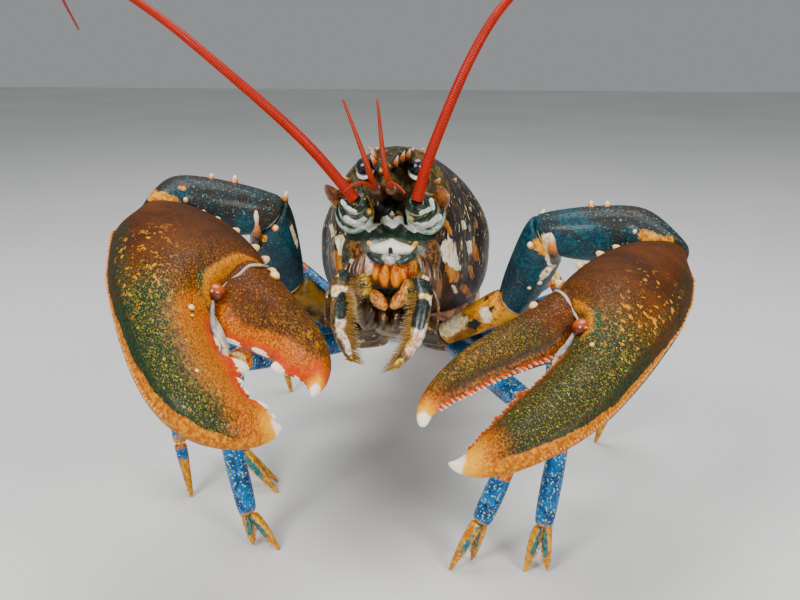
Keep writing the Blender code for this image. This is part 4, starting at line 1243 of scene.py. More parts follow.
@dataclass
class Claw:
    """One great claw: the palm with its fixed finger, the moving finger, teeth, knobs and hinge."""

    plan: ClawPlan
    stance: Stance
    colours: ClawColours = field(default_factory=ClawColours)
    sides: int = 28
    levels: int = 3
    section_power: float = 1.95
    drop_span: float = 52.0

    def axes(self) -> tuple[Array, Array, Array, Array]:
        """Return the wrist and the directions along the claw, inwards and off its face.

        Returns:
            The wrist's place and three unit vectors.
        """
        wrist = self.stance.place(self.plan.wrist)
        along = unit(self.stance.place(self.plan.tip) - wrist)
        face = np.array(self.plan.face)
        face = unit(face - face @ along * along)
        return wrist, along, np.cross(face, along) * -self.plan.side.sign, face

    def at(self, a: float, b: float, n: float) -> Array:
        """Return the place of a point given in the claw's terms."""
        wrist, along, inward, face = self.axes()
        return wrist + a * along + b * inward + n * face

    def terms(self, points: Array) -> tuple[Array, Array, Array]:
        """Return the claw's terms of many points.

        Args:
            points: Places in millimetres.

        Returns:
            Distances along, inwards and off the face.
        """
        wrist, along, inward, face = self.axes()
        away = points - wrist
        return away @ along, away @ inward, away @ face

    def edge(self, sections: Sequence[Section], which: int, a: Array | float) -> Array:
        """Return how far inwards an edge lies; which is 0 for the outer edge, 1 for the inner."""
        return np.interp(a, [s[which][0] for s in sections], [s[which][1] for s in sections])

    def drop(self, a: Array | float) -> Array:
        """Return how far the palm lies off the claw's plane at a distance from the wrist."""
        return -self.plan.sink * np.clip(1.0 - np.maximum(a, 0.0) / self.drop_span, 0.0, 1.0)

    def blade(self, name: str, sections: Sequence[Section], dropped: bool) -> Piece:
        """Model a claw part through its flat sections.

        Args:
            name: Name of the piece.
            sections: Its sections.
            dropped: Whether it follows the palm's drop towards the wrist.

        Returns:
            The part, thinner towards the edge that bites.
        """
        *_, face = self.axes()
        rings = []
        for outer, inner, thick in sections:
            o, i = self.at(*outer, 0.0), self.at(*inner, 0.0)
            here = (outer[0] + inner[0]) / 2.0
            middle, half = (o + i) / 2.0 + face * (float(self.drop(here)) if dropped else 0.0), (i - o) / 2.0
            thin = 0.42 * float(smooth(np.array(here), 56.0, 78.0))
            rings.append([middle + half * c + face * (thick * s * (1.0 - thin * max(c, 0.0) ** 1.5))
                          for c, s in oval(self.sides, self.section_power)])
        return Bench.tube(name, rings, self.levels)

    def grow_molars(self, piece: Piece, sections: Sequence[Section], which: float,
                    teeth: Sequence[Triple], level: float) -> Array:
        """Swell the broad teeth of a crusher out of a biting edge.

        Args:
            piece: The claw part.
            sections: Its sections, whose inner edge bites.
            which: 1 where the edge faces inwards, -1 where it faces outwards.
            teeth: Rows of distance along, radius and height.
            level: How far off the claw's middle plane the row of teeth stands.

        Returns:
            How much of a tooth's crown each vertex is.
        """
        places = Bench.points(piece)
        a, b, n = self.terms(places)
        _, _, inward, _ = self.axes()
        room = (self.edge(sections, 1, a) - b) * which
        push, crown = np.zeros(len(a)), np.zeros(len(a))
        for where, radius, height in teeth:
            lump = np.exp(-np.abs((a - where) / (0.78 * radius)) ** 3
                - ((n - level) / (0.7 * radius + 0.9)) ** 2)
            lump *= 1.0 - smooth(room, 0.4, 1.3 * radius)
            push += height * lump
            crown = np.maximum(crown, smooth(lump, 0.3, 0.8))
        Bench.put(piece, places + np.outer(push * which, inward))
        return crown

    def paint_palm(self, piece: Piece, crown: Array) -> None:
        """Paint the colour zones of the palm and the fixed finger.

        Args:
            piece: The piece.
            crown: How much of a tooth's crown each vertex is.
        """
        plan = self.plan
        a, b, n = self.terms(Bench.points(piece))
        rim = b - self.edge(plan.palm, 0, a)
        gape = np.where(a > 58.0, self.edge(plan.palm, 1, a) - b, 99.0)
        tip = np.hypot(a - plan.palm_tip[0], b - plan.palm_tip[1])
        under = smooth(-n, 1.0, 5.0)
        big = plan.molars
        arch = line_distance(a, b, plan.arch)
        upper = smooth(n, 0.0, 3.0)
        ball = np.hypot(a - plan.condyle[0], b - plan.condyle[1])
        near_tip = 1.0 - smooth(tip, 9.0, 24.0)
        reach = (16.0 if big else 25.0) + 0.12 * (a - 60.0)
        zone = (1.0 - smooth(rim, reach - 9.0, reach + 5.0)) * smooth(a, 24.0, 64.0)
        side_band = (1.0 - smooth(rim, 3.0, 9.0)) * smooth(a, 6.0, 18.0) * 0.7
        green = np.maximum(zone * smooth(a, 36.0, 70.0), side_band) * (1.0 - near_tip) * (1.0 - 0.4 * under)
        Bench.paint(piece, "green", green * (0.8 if big else 0.62))
        glow = 24.0 if big else 5.0
        haze = (1.0 - smooth(gape, 0.15 * glow, glow)) * smooth(a, 58.0, 74.0) * (0.95 if big else 0.5)
        middle = smooth(rim, 10.0, 20.0) * smooth(a, 62.0, 84.0) * (0.42 if big else 0.16)
        Bench.paint(piece, "haze", np.maximum(np.maximum(haze, middle),
            np.maximum(0.8 * near_tip, 0.3 * under)))
        red = (1.0 - smooth(gape, 0.2, 5.6 if big else 0.5)) * smooth(a, 66.0, 76.0)
        Bench.paint(piece, "red", red)
        Bench.paint(piece, "arch", upper * (1.0 - smooth(arch, 0.2, 4.0 if big else 2.6))
            * (0.95 if big else 0.7) * (1.0 - 0.7 * smooth(a, 66.0, 74.0)))
        Bench.paint(piece, "ring", upper * (1.0 - smooth(np.abs(ball - 5.2), 0.8, 2.2))
            * (0.8 if big else 1.0) * smooth(-b, 1.0, 6.0))
        band = np.interp(a, (10.0, 50.0, 80.0, 105.0, 120.0), (0.1, 0.15, 0.4, 1.4, 2.8))
        Bench.paint(piece, "rim", (1.0 - smooth(rim, 0.45 * band, 1.4 * band + 0.2)) * smooth(a, 4.0, 14.0))
        white = plan.white_tip
        Bench.paint(piece, "yellow", 1.0 - smooth(tip, 0.7 * white, 3.6 * white))
        Bench.paint(piece, "white", np.maximum(1.0 - smooth(tip, 0.6 * white, 1.7 * white),
            smooth(crown, 0.3, 0.6)))
        quiet = smooth(rim, 1.6, 3.4) * smooth(gape, 1.5, 6.0) * (1.0 - near_tip)
        flecks = smooth(a, 24.0, 38.0) * (1.0 - smooth(a, 58.0, 82.0)) * (1.0 - smooth(rim, 9.0, 24.0))
        Bench.paint(piece, "fleck", flecks * quiet)
        Bench.paint(piece, "dot", smooth(a, 30.0, 66.0) * quiet * (0.35 + 0.65 * smooth(green, 0.1, 0.6)))
        Bench.paint(piece, "dust", smooth(a, 34.0, 70.0) * smooth(rim, 1.6, 3.4)
            * (1.0 - smooth(green, 0.3, 0.9)) * smooth(gape, 1.0, 3.0) * (1.0 - smooth(near_tip, 0.5, 1.0)))

    def paint_finger(self, piece: Piece, crown: Array) -> None:
        """Paint the colour zones of the moving finger.

        Args:
            piece: The piece.
            crown: How much of a tooth's crown each vertex is.
        """
        plan = self.plan
        a, b, n = self.terms(Bench.points(piece))
        back = self.edge(plan.finger, 0, a) - b
        gape = b - self.edge(plan.finger, 1, a)
        tip = np.hypot(a - plan.finger_tip[0], b - plan.finger_tip[1])
        under = smooth(-n, 1.0, 4.0)
        big = plan.molars
        near_tip = 1.0 - smooth(tip, 7.0, 20.0)
        haze = (1.0 - smooth(gape, 0.8, 6.4 if big else 3.0)) * smooth(a, 58.0, 66.0) * (0.9 if big else 0.4)
        edges = 0.4 * (1.0 - smooth(back, 0.2, 1.6))
        Bench.paint(piece, "haze", np.maximum(np.maximum(haze, 0.62 * near_tip),
            np.maximum(0.3 * under, edges)))
        red = (1.0 - smooth(gape, 0.1, 2.6 if big else 0.4)) * smooth(a, 68.0, 76.0) * (1.0
            - smooth(n, 0.0, 2.6))
        Bench.paint(piece, "red", np.maximum(red, (0.85 if big else 0.45) * (1.0 - smooth(tip, 5.0, 17.0))))
        green = np.full(len(a), 0.0) if big else 0.5 * smooth(a, 60.0, 74.0) * (1.0 - near_tip)
        Bench.paint(piece, "green", green)
        white = 0.85 * plan.white_tip
        Bench.paint(piece, "yellow", 1.0 - smooth(tip, 0.7 * white, 3.1 * white))
        Bench.paint(piece, "white", np.maximum(1.0 - smooth(tip, 0.6 * white, 1.6 * white),
            smooth(crown, 0.3, 0.6)))
        quiet = smooth(gape, 2.0, 5.0) * (1.0 - near_tip)
        Bench.paint(piece, "fleck", 0.5 * smooth(a, 74.0, 90.0) * smooth(gape, 4.0, 8.0) * (1.0 - near_tip))
        Bench.paint(piece, "dust", 0.6 * quiet)
        Bench.paint(piece, "dot", (0.45 if big else 0.9) * smooth(a, 62.0, 84.0) * quiet)

    def shells(self) -> None:
        """Build the palm and the moving finger."""
        plan, word = self.plan, self.plan.side.value
        _, along, inward, face = self.axes()
        skin = self.colours.finish(f"claw_shell_{word}", Matrix((along, inward, face))).material()
        palm = self.blade(f"claw_palm_{word}", plan.palm, True)
        finger = self.blade(f"claw_finger_{word}", plan.finger, False)
        crowns = [np.zeros(len(part.data.vertices)) for part in (palm, finger)]
        if plan.molars:
            crowns = [self.grow_molars(palm, plan.palm, 1.0, plan.palm_teeth, 1.2),
                      self.grow_molars(finger, plan.finger, -1.0, plan.finger_teeth, -2.8)]
        self.swell(palm)
        self.paint_palm(palm, crowns[0])
        self.paint_finger(finger, crowns[1])
        Bench.hand_over(palm, Slot.CLAW, skin, [f"cheliped_palm_{word}"])
        Bench.hand_over(finger, Slot.CLAW, skin, [f"cheliped_finger_{word}"])

    def swell(self, palm: Piece) -> None:
        """Raise the collar round the hinge and sink the shell behind it.

        Args:
            palm: The palm.
        """
        places = Bench.points(palm)
        a, b, n = self.terms(places)
        *_, face = self.axes()
        arch = line_distance(a, b, self.plan.arch)
        upper = smooth(n, 1.0, 4.0)
        lift = 0.9 * np.exp(-(arch / 1.7) ** 2) - 0.3 * np.exp(-((arch - 5.5) / 2.6) ** 2)
        Bench.put(palm, places + np.outer(lift * upper, face))

    def small_forms(self) -> None:
        """Build the knobs of the rim, the spines of the inner edge and the cutter's teeth."""
        plan, word = self.plan, self.plan.side.value
        _, along, inward, face = self.axes()
        knobs = []
        for k in range(plan.rim_count):
            a = 7.0 + (plan.palm_end - 24.0) * k / (plan.rim_count - 1)
            b = float(self.edge(plan.palm, 0, a))
            size = plan.rim_radius * random.uniform(0.5, 0.8)
            knobs.append(Bench.frame(self.at(a, b + 0.5, float(self.drop(a)) + random.uniform(-0.3, 0.3)),
                                     -inward + 0.15 * along, size, 0.9 * size + 0.5, 1.5))
        rim = Bench.stamp(f"claw_rim_knobs_{word}", Bench.spine(8, 1.0), knobs)
        Bench.hand_over(rim, Slot.CLAW,
            SpineFinish(f"rim_knob_{word}", "9a4a00", "c87000", "e89a10").material())
        spines = []
        for a, radius, height in plan.inner_spines:
            b = float(self.edge(plan.palm, 1, a))
            spines.append(Bench.frame(self.at(a, b - 0.6, float(self.drop(a)) + 2.4),
                                      inward + 0.15 * along + 0.55 * face,
                                      0.86 * radius, height))
        for a, b, radius in plan.face_knobs:
            part = plan.finger if b > 0.0 else plan.palm
            spines.append(Bench.frame(self.on_face(part, a, b, -0.4), face + 0.1 * inward, radius,
                1.1 * radius))
        inner = Bench.stamp(f"claw_inner_spines_{word}", Bench.spine(12, 0.75), spines)
        Bench.hand_over(inner, Slot.CLAW, SpineFinish(f"inner_spine_{word}", "4a2206", "c07404", "f6d68c",
                                                      -0.2, 0.5).material())
        if not plan.molars:
            teeth = []
            for sections, turn, rows in ((plan.palm, 1.0, plan.palm_teeth),
                                         (plan.finger, -1.0, plan.finger_teeth)):
                for a, radius, height in rows:
                    b = float(self.edge(sections, 1, a)) - 0.5 * turn
                    teeth.append(Bench.frame(self.at(a, b, random.uniform(-0.3, 0.3)),
                                             turn * inward + random.uniform(-0.12, 0.12) * along,
                                             radius, height * random.uniform(0.85, 1.15) + 0.5))
            row = Bench.stamp(f"claw_teeth_{word}", Bench.spine(8, 0.45), teeth)
            Bench.hand_over(row, Slot.CLAW, SpineFinish(f"claw_tooth_{word}", "9a3000", "d87a10", "fff0dc",
                                                        0.25, 1.05).material())

    def on_face(self, sections: Sequence[Section], a: float, b: float, lift: float) -> Array:
        """Return the place on a part's upper face above a point of its outline, raised by lift.

        Args:
            sections: The part's sections.
            a: Distance along.
            b: Distance inwards.
            lift: How far above the face.

        Returns:
            The place.
        """
        outer, inner = float(self.edge(sections, 0, a)), float(self.edge(sections, 1, a))
        thick = float(np.interp(a, [(s[0][0] + s[1][0]) / 2.0 for s in sections], [s[2] for s in sections]))
        share = min(abs((b - (outer + inner) / 2.0) / ((inner - outer) / 2.0)), 0.98)
        power = self.section_power
        return self.at(a, b, thick * (1.0 - share ** power) ** (1.0 / power) + lift + float(self.drop(a)))

    def on_seam(self, a: float, b: float) -> Array:
        """Return the place above a point of the outline where the higher of palm and finger lies.

        Args:
            a: Distance along.
            b: Distance inwards.

        Returns:
            The place.
        """
        tops = [self.on_face(part, a, b, 0.1) for part in (self.plan.palm, self.plan.finger)]
        *_, face = self.axes()
        return max(tops, key=lambda place: float(place @ face))

    def hinge(self) -> None:
        """Build the hinge's glossy ball and the pale folds of skin between palm and finger."""
        plan, word = self.plan, self.plan.side.value
        _, _, inward, face = self.axes()
        a, b, n = plan.condyle
        ball = Bench.stamp(f"claw_hinge_ball_{word}", Bench.spine(20, 1.0),
                           [Bench.frame(self.at(a, b, n - 0.2), face + 0.15 * inward, 3.0, 3.0)])
        Bench.subdivide(ball, 1)
        ball.data.shade_smooth()
        Bench.hand_over(ball, Slot.CLAW, SpineFinish(f"hinge_ball_{word}", "300a00", "6a2000", "b84a00",
                                                     -0.2, 1.0).material())
        folds = []
        for k, line in enumerate(plan.membranes):
            path = curve_points([self.on_seam(*point) for point in line], 5)
            rings, _ = whip_rings(path, lambda t, k=k: 0.3 + (0.26 + 0.5 * k)
                * (1.0 + 0.2 * math.sin(19.0 * t)) * bulge(t, 0.04, 0.7), 12)
            folds.append(Bench.tube(f"fold_{k}", rings, 1))
        pouch = curve_points([self.at(*place) for place in plan.pouch], 8)
        rings, _ = whip_rings(pouch, lambda t: 0.4 + 1.7 * bulge(t, 0.05), 14)
        folds.append(Bench.tube("pouch", rings, 1))
        fold = Bench.join(f"claw_hinge_skin_{word}", folds)
        Bench.hand_over(fold, Slot.CLAW, PlainFinish(f"hinge_skin_{word}", "8a929a", "d0bc94", 240.0, 0.34,
                                                     0.00025, 0.4, 0.25).material())

    def build(self) -> None:
        """Build the claw."""
        self.shells()
        self.small_forms()
        self.hinge()


@dataclass(frozen=True)
class ArmPlan:
    """Joint places of one claw arm: hip, elbow, knee, bend and wrist, and its spines."""

    side: Side
    joints: Triples
    marks: tuple[Mark, ...]
    merus_spines: tuple[tuple[Pixel, float, float], ...]
    carpus_spines: tuple[tuple[Pixel, float, float], ...]


RIGHT_ARM = ArmPlan(side=Side.RIGHT,
    joints=((-19, 25.8, 66), (-44.5, 17.1, 87.4), (-46.6, -6.5, 120.9), (-77.5, -20, 128.2),
    (-78.9, -33.9, 130.5)), marks=(Mark("yellow", ((148, 193), (158, 197), (172, 201)), 5.5),
    Mark("yellow", ((181, 187), (184, 188)), 2.5), Mark("teal", ((172, 197), (182, 193)), 6.0),
    Mark("teal", ((245, 222), (252, 240)), 9.0), Mark("yellow", ((255, 236), (264, 238)), 3.0),
    Mark("teal", ((283, 232), (300, 275)), 7.0), Mark("teal", ((300, 240), (322, 285)), 6.0),
    Mark("dark", ((288, 200), (310, 240)), 9.0), Mark("white", ((291, 226), (297, 244)), 1.6)),
    merus_spines=(((287, 198), 1.5, 4.2), ((275, 229), 1.6, 2.2), ((279, 287), 1.2, 1.2)),
    carpus_spines=(((213, 174), 1.5, 2.4), ((236, 173), 1.7, 3.4), ((258, 238), 2.3, 11.5),
    ((185, 200), 1.3, 1.6), ((206, 212), 1.3, 1.4)))

LEFT_ARM = ArmPlan(side=Side.LEFT,
    joints=((19, 25.8, 66), (47.1, 16.8, 83.3), (59.9, -1.3, 114.7), (93, -7, 117.6),
    (102.6, -21.6, 116.9)), marks=(Mark("yellow", ((644, 236), (668, 242)), 5.5),
    Mark("teal", ((632, 232), (642, 238)), 6.0), Mark("white", ((548, 238), (552, 262)), 5.0),
    Mark("yellow", ((538, 244), (552, 254)), 5.5), Mark("teal", ((566, 214), (600, 240)), 10.0),
    Mark("teal", ((534, 214), (508, 282)), 9.0), Mark("teal", ((560, 240), (590, 262)), 9.0),
    Mark("teal", ((520, 255), (545, 290)), 8.0), Mark("white", ((543, 276), (548, 270)), 3.5),
    Mark("yellow", ((498, 296), (470, 318)), 4.0), Mark("white", ((432, 330), (455, 322)), 11.0),
    Mark("white", ((484, 312), (488, 318)), 5.0), Mark("yellow", ((430, 345), (475, 338), (502, 308)), 4.5),
    Mark("dark", ((460, 318), (478, 326)), 5.0), Mark("dark", ((488, 300), (492, 310)), 4.0)),
    merus_spines=(((546, 210), 1.6, 4.2), ((530, 246), 1.8, 2.4), ((540, 283), 1.4, 1.6),
    ((531, 287), 1.2, 1.2), ((548, 271), 1.7, 1.8)),
    carpus_spines=(((590, 200), 1.6, 2.8), ((608, 207), 1.6, 2.4), ((549, 255), 2.2, 9.5),
    ((635, 232), 1.2, 1.2)))


@dataclass
class ClawArm:
    """The three parts that carry a great claw, with their spines and the skin of their joints."""

    plan: ArmPlan
    claw: ClawPlan
    stance: Stance
    view: PhotoView
    sides: int = 20
    ischium: Profile = ((0.0, 4.6, 4.6), (0.04, 4.9, 4.9), (0.3, 5.7, 5.7), (0.6, 6.6, 6.4), (0.82, 7.4, 7.0),
                        (0.95, 7.3, 6.8), (1.0, 6.7, 6.3))
    merus: Profile = ((0.0, 6.6, 6.2), (0.05, 7.0, 6.6), (0.25, 8.3, 8.1), (0.55, 9.2, 8.8), (0.8, 9.7, 9.1),
                      (0.95, 9.0, 8.4), (1.0, 7.9, 7.5))
    carpus: tuple[Profile, ...] = (((0.0, 7.8, 7.4), (0.05, 8.5, 8.2), (0.22, 9.5, 9.4), (0.45, 10.4, 10.2),
        (0.75, 10.6, 10.2), (1.0, 9.6, 9.2)),
        ((0.0, 9.6, 9.2), (0.5, 8.4, 7.8), (0.9, 6.8, 5.8), (1.0, 6.2, 5.2)))
    skin: Profile = ((0.0, 0.72, 0.7), (0.25, 0.92, 0.9), (0.5, 1.0, 0.96), (0.75, 0.92, 0.9),
        (1.0, 0.72, 0.7))
    skin_reach: float = 2.6

    def joints(self) -> list[Array]:
        """Return the joint places."""
        return [self.stance.place(point) for point in self.plan.joints]

    def finish(self, name: str, ground: str, cloud: str) -> Material:
        """Return the arm's shell finish over a ground of its own.

        Args:
            name: Its name.
            ground: Colour code of the ground.
            cloud: Colour code of the clouds in it.

        Returns:
            The material.
        """
        return ShellFinish(name=name, ground=ground, cloud=cloud, cloud_scale=110.0, rough=(0.36, 0.54),
            coat=0.08, specular=0.25, pit_scale=800.0, pit_depth=0.00018,
            washes=(Wash("dark", "0b1512", 0.9, 600.0, "132a24", 0.25),
            Wash("teal", "022c3c", 1.6, 500.0, "064c54", 0.3),
            Wash("yellow", "b86a00", 1.7, 330.0, "f0a400", 0.16),
            Wash("white", "fff4dc", 1.4, 340.0, "ecc878", 0.2)),
            speckles=(Speckle("dots", "3f9a92", 1100.0, 0.37, 0.05),
            Speckle("veins", "b58a3c", 620.0, 0.33, 0.05)),).material()

    def dress(self, piece: Piece, dots: float, veins: float) -> None:
        """Paint the markings and the speckles of one part.

        Args:
            piece: The piece.
            dots: Share of the teal dots.
            veins: Share of the ochre veins.
        """
        paint_marks(piece, self.view, self.plan.marks, ("dark", "teal", "yellow", "white"))
        Bench.fill(piece, "dots", dots)
        Bench.fill(piece, "veins", veins)

    def build(self) -> None:
        """Build the arm."""
        word = self.plan.side.value
        hip, elbow, knee, bend, wrist = self.joints()
        guide = np.array(self.claw.face)
        claw = Claw(self.claw, self.stance)
        _, along, inward, face = claw.axes()
        (a0, b0), (a1, b1), _ = self.claw.palm[0]
        wrist_plane = unit(along * (b1 - b0) - inward * (a1 - a0))
        elbow_plane = LimbShop.joint_plane(hip, elbow, knee)
        knee_plane = LimbShop.joint_plane(elbow, knee, bend)
        ischium = Bench.tube(f"arm_ischium_{word}", LimbShop.rings(
            [hip, elbow], [self.ischium], guide,
            (unit(elbow - hip), elbow_plane), self.sides), 2)
        merus = Bench.tube(f"arm_merus_{word}", LimbShop.rings(
            [elbow, knee], [self.merus], guide,
            (elbow_plane, knee_plane), self.sides), 2)
        root = wrist + face * float(claw.drop(0.0))
        carpus = Bench.tube(f"arm_carpus_{word}", LimbShop.rings(
            [knee, bend, root], self.carpus, guide,
            (knee_plane, wrist_plane), self.sides), 2)
        hip_ground = ("2c220a", "94680a") if self.plan.side is Side.RIGHT else ("8a5000", "e09808")
        grounds = (("ischium", ischium, *hip_ground, 0.0, 0.6),
            ("merus", merus, "0d2530", "143c4a", 0.5, 0.35),
            ("carpus", carpus, "2b1d12", "17262a", 1.0, 0.25))
        for part, piece, ground, cloud, dots, veins in grounds:
            self.dress(piece, dots, veins)
            Bench.hand_over(piece, Slot.CLAW, self.finish(f"arm_{part}_{word}", ground, cloud),
                            [f"cheliped_{part}_{word}"])
        tips = SpineFinish(f"arm_spine_{word}", "3a2206", "e07c06", "fff0cc", -0.1, 0.85).material()
        for part, shell, rows in (("merus", merus, self.plan.merus_spines),
                                  ("carpus", carpus, self.plan.carpus_spines)):
            spikes = Bench.stamp(f"arm_{part}_spines_{word}", Bench.spine(12, 0.35),
                rooted(shell, self.view, rows))
            Bench.hand_over(spikes, Slot.CLAW, tips)
        skins = []
        for place, axis, size in ((elbow, elbow_plane, 5.9), (knee, knee_plane, 7.0),
                (root, wrist_plane, 4.6)):
            rings = LimbShop.rings([place - axis * self.skin_reach, place + axis * self.skin_reach],
                                   [LimbShop.scaled(self.skin, size)], guide, sides=16, gap=0.0)
            skins.append(Bench.tube("joint_skin", rings, 1))
        skin = Bench.join(f"arm_joint_skin_{word}", skins)
        Bench.hand_over(skin, Slot.CLAW,
            PlainFinish(f"arm_skin_{word}", "8fa3a0", "d9c48a", 260.0).material())


@dataclass
class Carapace:
    """The head shell with its rostrum, its teeth and spines, and its mottled markings."""

    stance: Stance
    view: PhotoView
    sides: int = 56
    backs: tuple[float, ...] = (0.0, 0.8, 2.6, 6.0, 10.0, 14.0, 20.0, 25.0, 31.0, 38.0, 44.0, 50.0, 56.0,
        62.0, 66.0, 70.0, 72.2, 74.0, 76.0, 79.0, 84.0, 90.0, 97.0, 104.0, 109.0, 114.0, 117.0, 119.2,
        120.0)
    groove_back: float = 74.0
    groove_reach: float = 44.0
    groove_lean: float = 30.0
    rostrum: tuple[tuple[float, float, float, float], ...] = (
        (14.0, 29.6, 9.5, 4.2), (6.0, 28.3, 9.2, 3.9), (0.0, 27.2, 7.8, 3.5), (-5.0, 25.9, 6.3, 3.0),
        (-12.0, 23.9, 5.2, 2.6), (-18.0, 22.0, 4.4, 2.2), (-24.0, 19.9, 3.4, 1.9), (-29.0, 18.1, 2.2, 1.4),
        (-32.5, 16.9, 1.0, 0.8))
    teeth: Triples = ((-4.0, 6.0, 26.4), (-12.5, 4.8, 24.2), (-21.0, 3.5, 21.2))
    spines: tuple[tuple[float, float, float, float], ...] = (
        (1.5, 16.8, 17.8, 7.0), (1.5, 20.4, 11.5, 7.5), (12.0, 9.5, 31.2, 5.5), (24.0, 22.0, 21.4, 4.2),
        (30.0, 28.0, 10.4, 4.2), (6.0, 6.6, 31.0, 2.6))
    marks: tuple[Mark, ...] = (Mark("rim", ((342, 204), (343, 223), (351, 235)), 1.6, 6.0),
        Mark("rim", ((443, 200), (441, 222), (430, 238)), 1.6, 6.0),
        Mark("cream", ((339, 240), (343, 251)), 4.5, 12.0),
        Mark("ochre", ((337, 256), (345, 272)), 5.5, 12.0),
        Mark("cream", ((447, 247), (450, 258)), 7.0, 16.0),
        Mark("cream", ((455, 262), (457, 267)), 4.0, 16.0),
        Mark("ochre", ((450, 268), (454, 276)), 6.0, 16.0),
        Mark("cream", ((469, 243), (470, 252)), 2.2, 20.0),
        Mark("ochre", ((473, 246), (476, 258)), 3.0, 20.0),
        Mark("ochre", ((470, 268), (473, 276)), 2.4, 20.0),
        Mark("cream", ((463, 222), (465, 228)), 1.4, 20.0),
        Mark("ochre", ((464, 288), (468, 295)), 3.4, 20.0),
        Mark("cream", ((453, 286), (456, 292)), 1.6, 20.0),
        Mark("ochre", ((446, 222), (450, 232)), 2.0, 16.0),
        Mark("cream", ((331, 226), (333, 236)), 1.8, 16.0))

    def rings(self) -> Array:
        """Return the rings of the shell, closer together where its front edge turns in.

        Returns:
            Ring places, as rings by sides by three.
        """
        made = []
        table = [s.back for s in CARAPACE]
        for row, back in enumerate(self.backs):
            half = float(np.interp(back, table, [s.half for s in CARAPACE]))
            top = float(np.interp(back, table, [s.top for s in CARAPACE]))
            bottom = float(np.interp(back, table, [s.bottom for s in CARAPACE]))
            edge = 1.4 if row == 0 else (0.35 if row == 1 else (1.0 if row == len(self.backs) - 1 else 0.0))
            near = max(0.0, 1.0 - abs(back - self.groove_back) / self.groove_reach)
            roof = float(smooth(np.array(back), 6.0, 24.0))
            sink = 1.3 * math.exp(-((back - self.groove_back) / 2.4) ** 2)
            ring = []
            for angle in circle(self.sides):
                c, s = math.cos(angle), math.sin(angle)
                bend = 2.0 / (2.2 - 0.36 * roof if s > 0.0 else 2.9)
                x = math.copysign(abs(c) ** bend, c) * (half - edge - sink)
                up = abs(s) ** bend * ((top - edge - sink) if s > 0.0 else bottom + edge + sink)
                lean = near * self.groove_lean * (1.0 - max(s, 0.0)) ** 0.8
                ring.append(self.stance.body(x, back - lean, up))
            made.append(ring)
        return np.array(made)

    def paint(self, shell: Piece) -> None:
        """Paint the markings of the shell.

        Args:
            shell: The shell or the rostrum.
        """
        x, back, up = self.stance.terms(Bench.points(shell))
        paint_marks(shell, self.view, self.marks, ("rim", "cream", "ochre"))
        front = 1.0 - smooth(back, 1.0, 3.0)
        Bench.paint(shell, "olive", (1.0 - smooth(back, 2.0, 16.0)) * smooth(up, 10.0, 18.0)
            * (1.0 - 0.1 * front))
        Bench.paint(shell, "flank", (1.0 - smooth(up, -26.0, -2.0))
            * (0.6 + 0.4 * smooth(np.abs(x), 14.0, 30.0)))
        Bench.paint(shell, "mottle", 0.4 + 0.6 * (1.0 - smooth(up, 4.0, 24.0)))
        Bench.paint(shell, "groove", np.exp(-((back - self.groove_back + self.lean(up)) / 3.0) ** 2) * 0.9)

    def lean(self, up: Array) -> Array:
        """Return how far forward the cervical groove has run at a height."""
        return self.groove_lean * (1.0 - np.clip(up / 35.0, 0.0, 1.0)) ** 0.8

    def build(self) -> None:
        """Build the shell, the rostrum and their spines."""
        shell = Bench.tube("carapace_shell", self.rings(), 2)
        beak = [[self.stance.body(half * c, back, up + thick * s)
                 for c, s in oval(20, 1.7)]
                for back, up, half, thick in self.rostrum]
        rostrum = Bench.tube("rostrum", beak, 2)
        places = Bench.points(rostrum)
        x, back, up = self.stance.terms(places)
        crest = 0.9 * np.exp(-((np.abs(x) - 0.62
            * np.interp(back, [r[0] for r in reversed(self.rostrum)],
            [r[2] for r in reversed(self.rostrum)])) / 0.9) ** 2)
        Bench.put(rostrum, places + np.outer(crest * smooth(up, 14.0, 20.0), self.stance.upward))
        skin = ShellFinish(name="carapace_shell", ground="0c0805", cloud="1c120a", cloud_scale=110.0,
            rough=(0.36, 0.56), coat=0.03, pit_depth=0.0002, pit_scale=620.0, stretch=(1.35, 1.1, 0.5),
            specular=0.22, washes=(Wash("flank", "3a2008", 1.6, 160.0, "1a140c", 0.2),
            Wash("olive", "2e2608", 1.2, 300.0, "6a5418"), Wash("groove", "060506", 0.9, 200.0),
            Wash("ochre", "a05404", 2.3, 230.0, "c88420", 0.12),
            Wash("cream", "fff6e0", 1.9, 240.0, "e0bc84", 0.1),
            Wash("rim", "3a7a74", 0.6, 400.0, "9cc4b4")),
            speckles=(Speckle("mottle", "4a3210", 190.0, 0.44, 0.06),
            Speckle("mottle", "9a7432", 330.0, 0.4, 0.04), Speckle("mottle", "f0dca4", 460.0, 0.36, 0.03),
            Speckle("mottle", "24424c", 420.0, 0.33, 0.04))).material()
        for piece in (shell, rostrum):
            self.paint(piece)
        Bench.hand_over(shell, Slot.BODY, skin, ["carapace"])
        Bench.hand_over(rostrum, Slot.BODY,
            ShellFinish(name="rostrum_shell", ground="161004", cloud="3a2e0c", cloud_scale=190.0,
            rough=(0.46, 0.62), coat=0.02, specular=0.2, washes=(Wash("rim", "5f9c98", 0.4),),
            speckles=(Speckle("mottle", "c9a95c", 420.0, 0.4),
            Speckle("mottle", "0e1a20", 260.0, 0.4))).material())
        rows = []
        ahead, upward = self.stance.forward, self.stance.upward
        for sign in (-1.0, 1.0):
            for back_at, x_at, up_at in self.teeth:
                rows.append(Bench.frame(self.stance.body(x_at * sign, back_at, up_at),
                                        ahead + 0.4 * sign * LEFTWARD + 0.75 * upward, 1.15, 5.2, 0.8))
            for back_at, x_at, up_at, length in self.spines:
                rows.append(Bench.frame(self.stance.body(x_at * sign, back_at + 0.5, up_at - 0.4),
                                        ahead + 0.3 * sign * LEFTWARD + 0.2 * upward,
                                        0.8 + 0.1 * length, length))
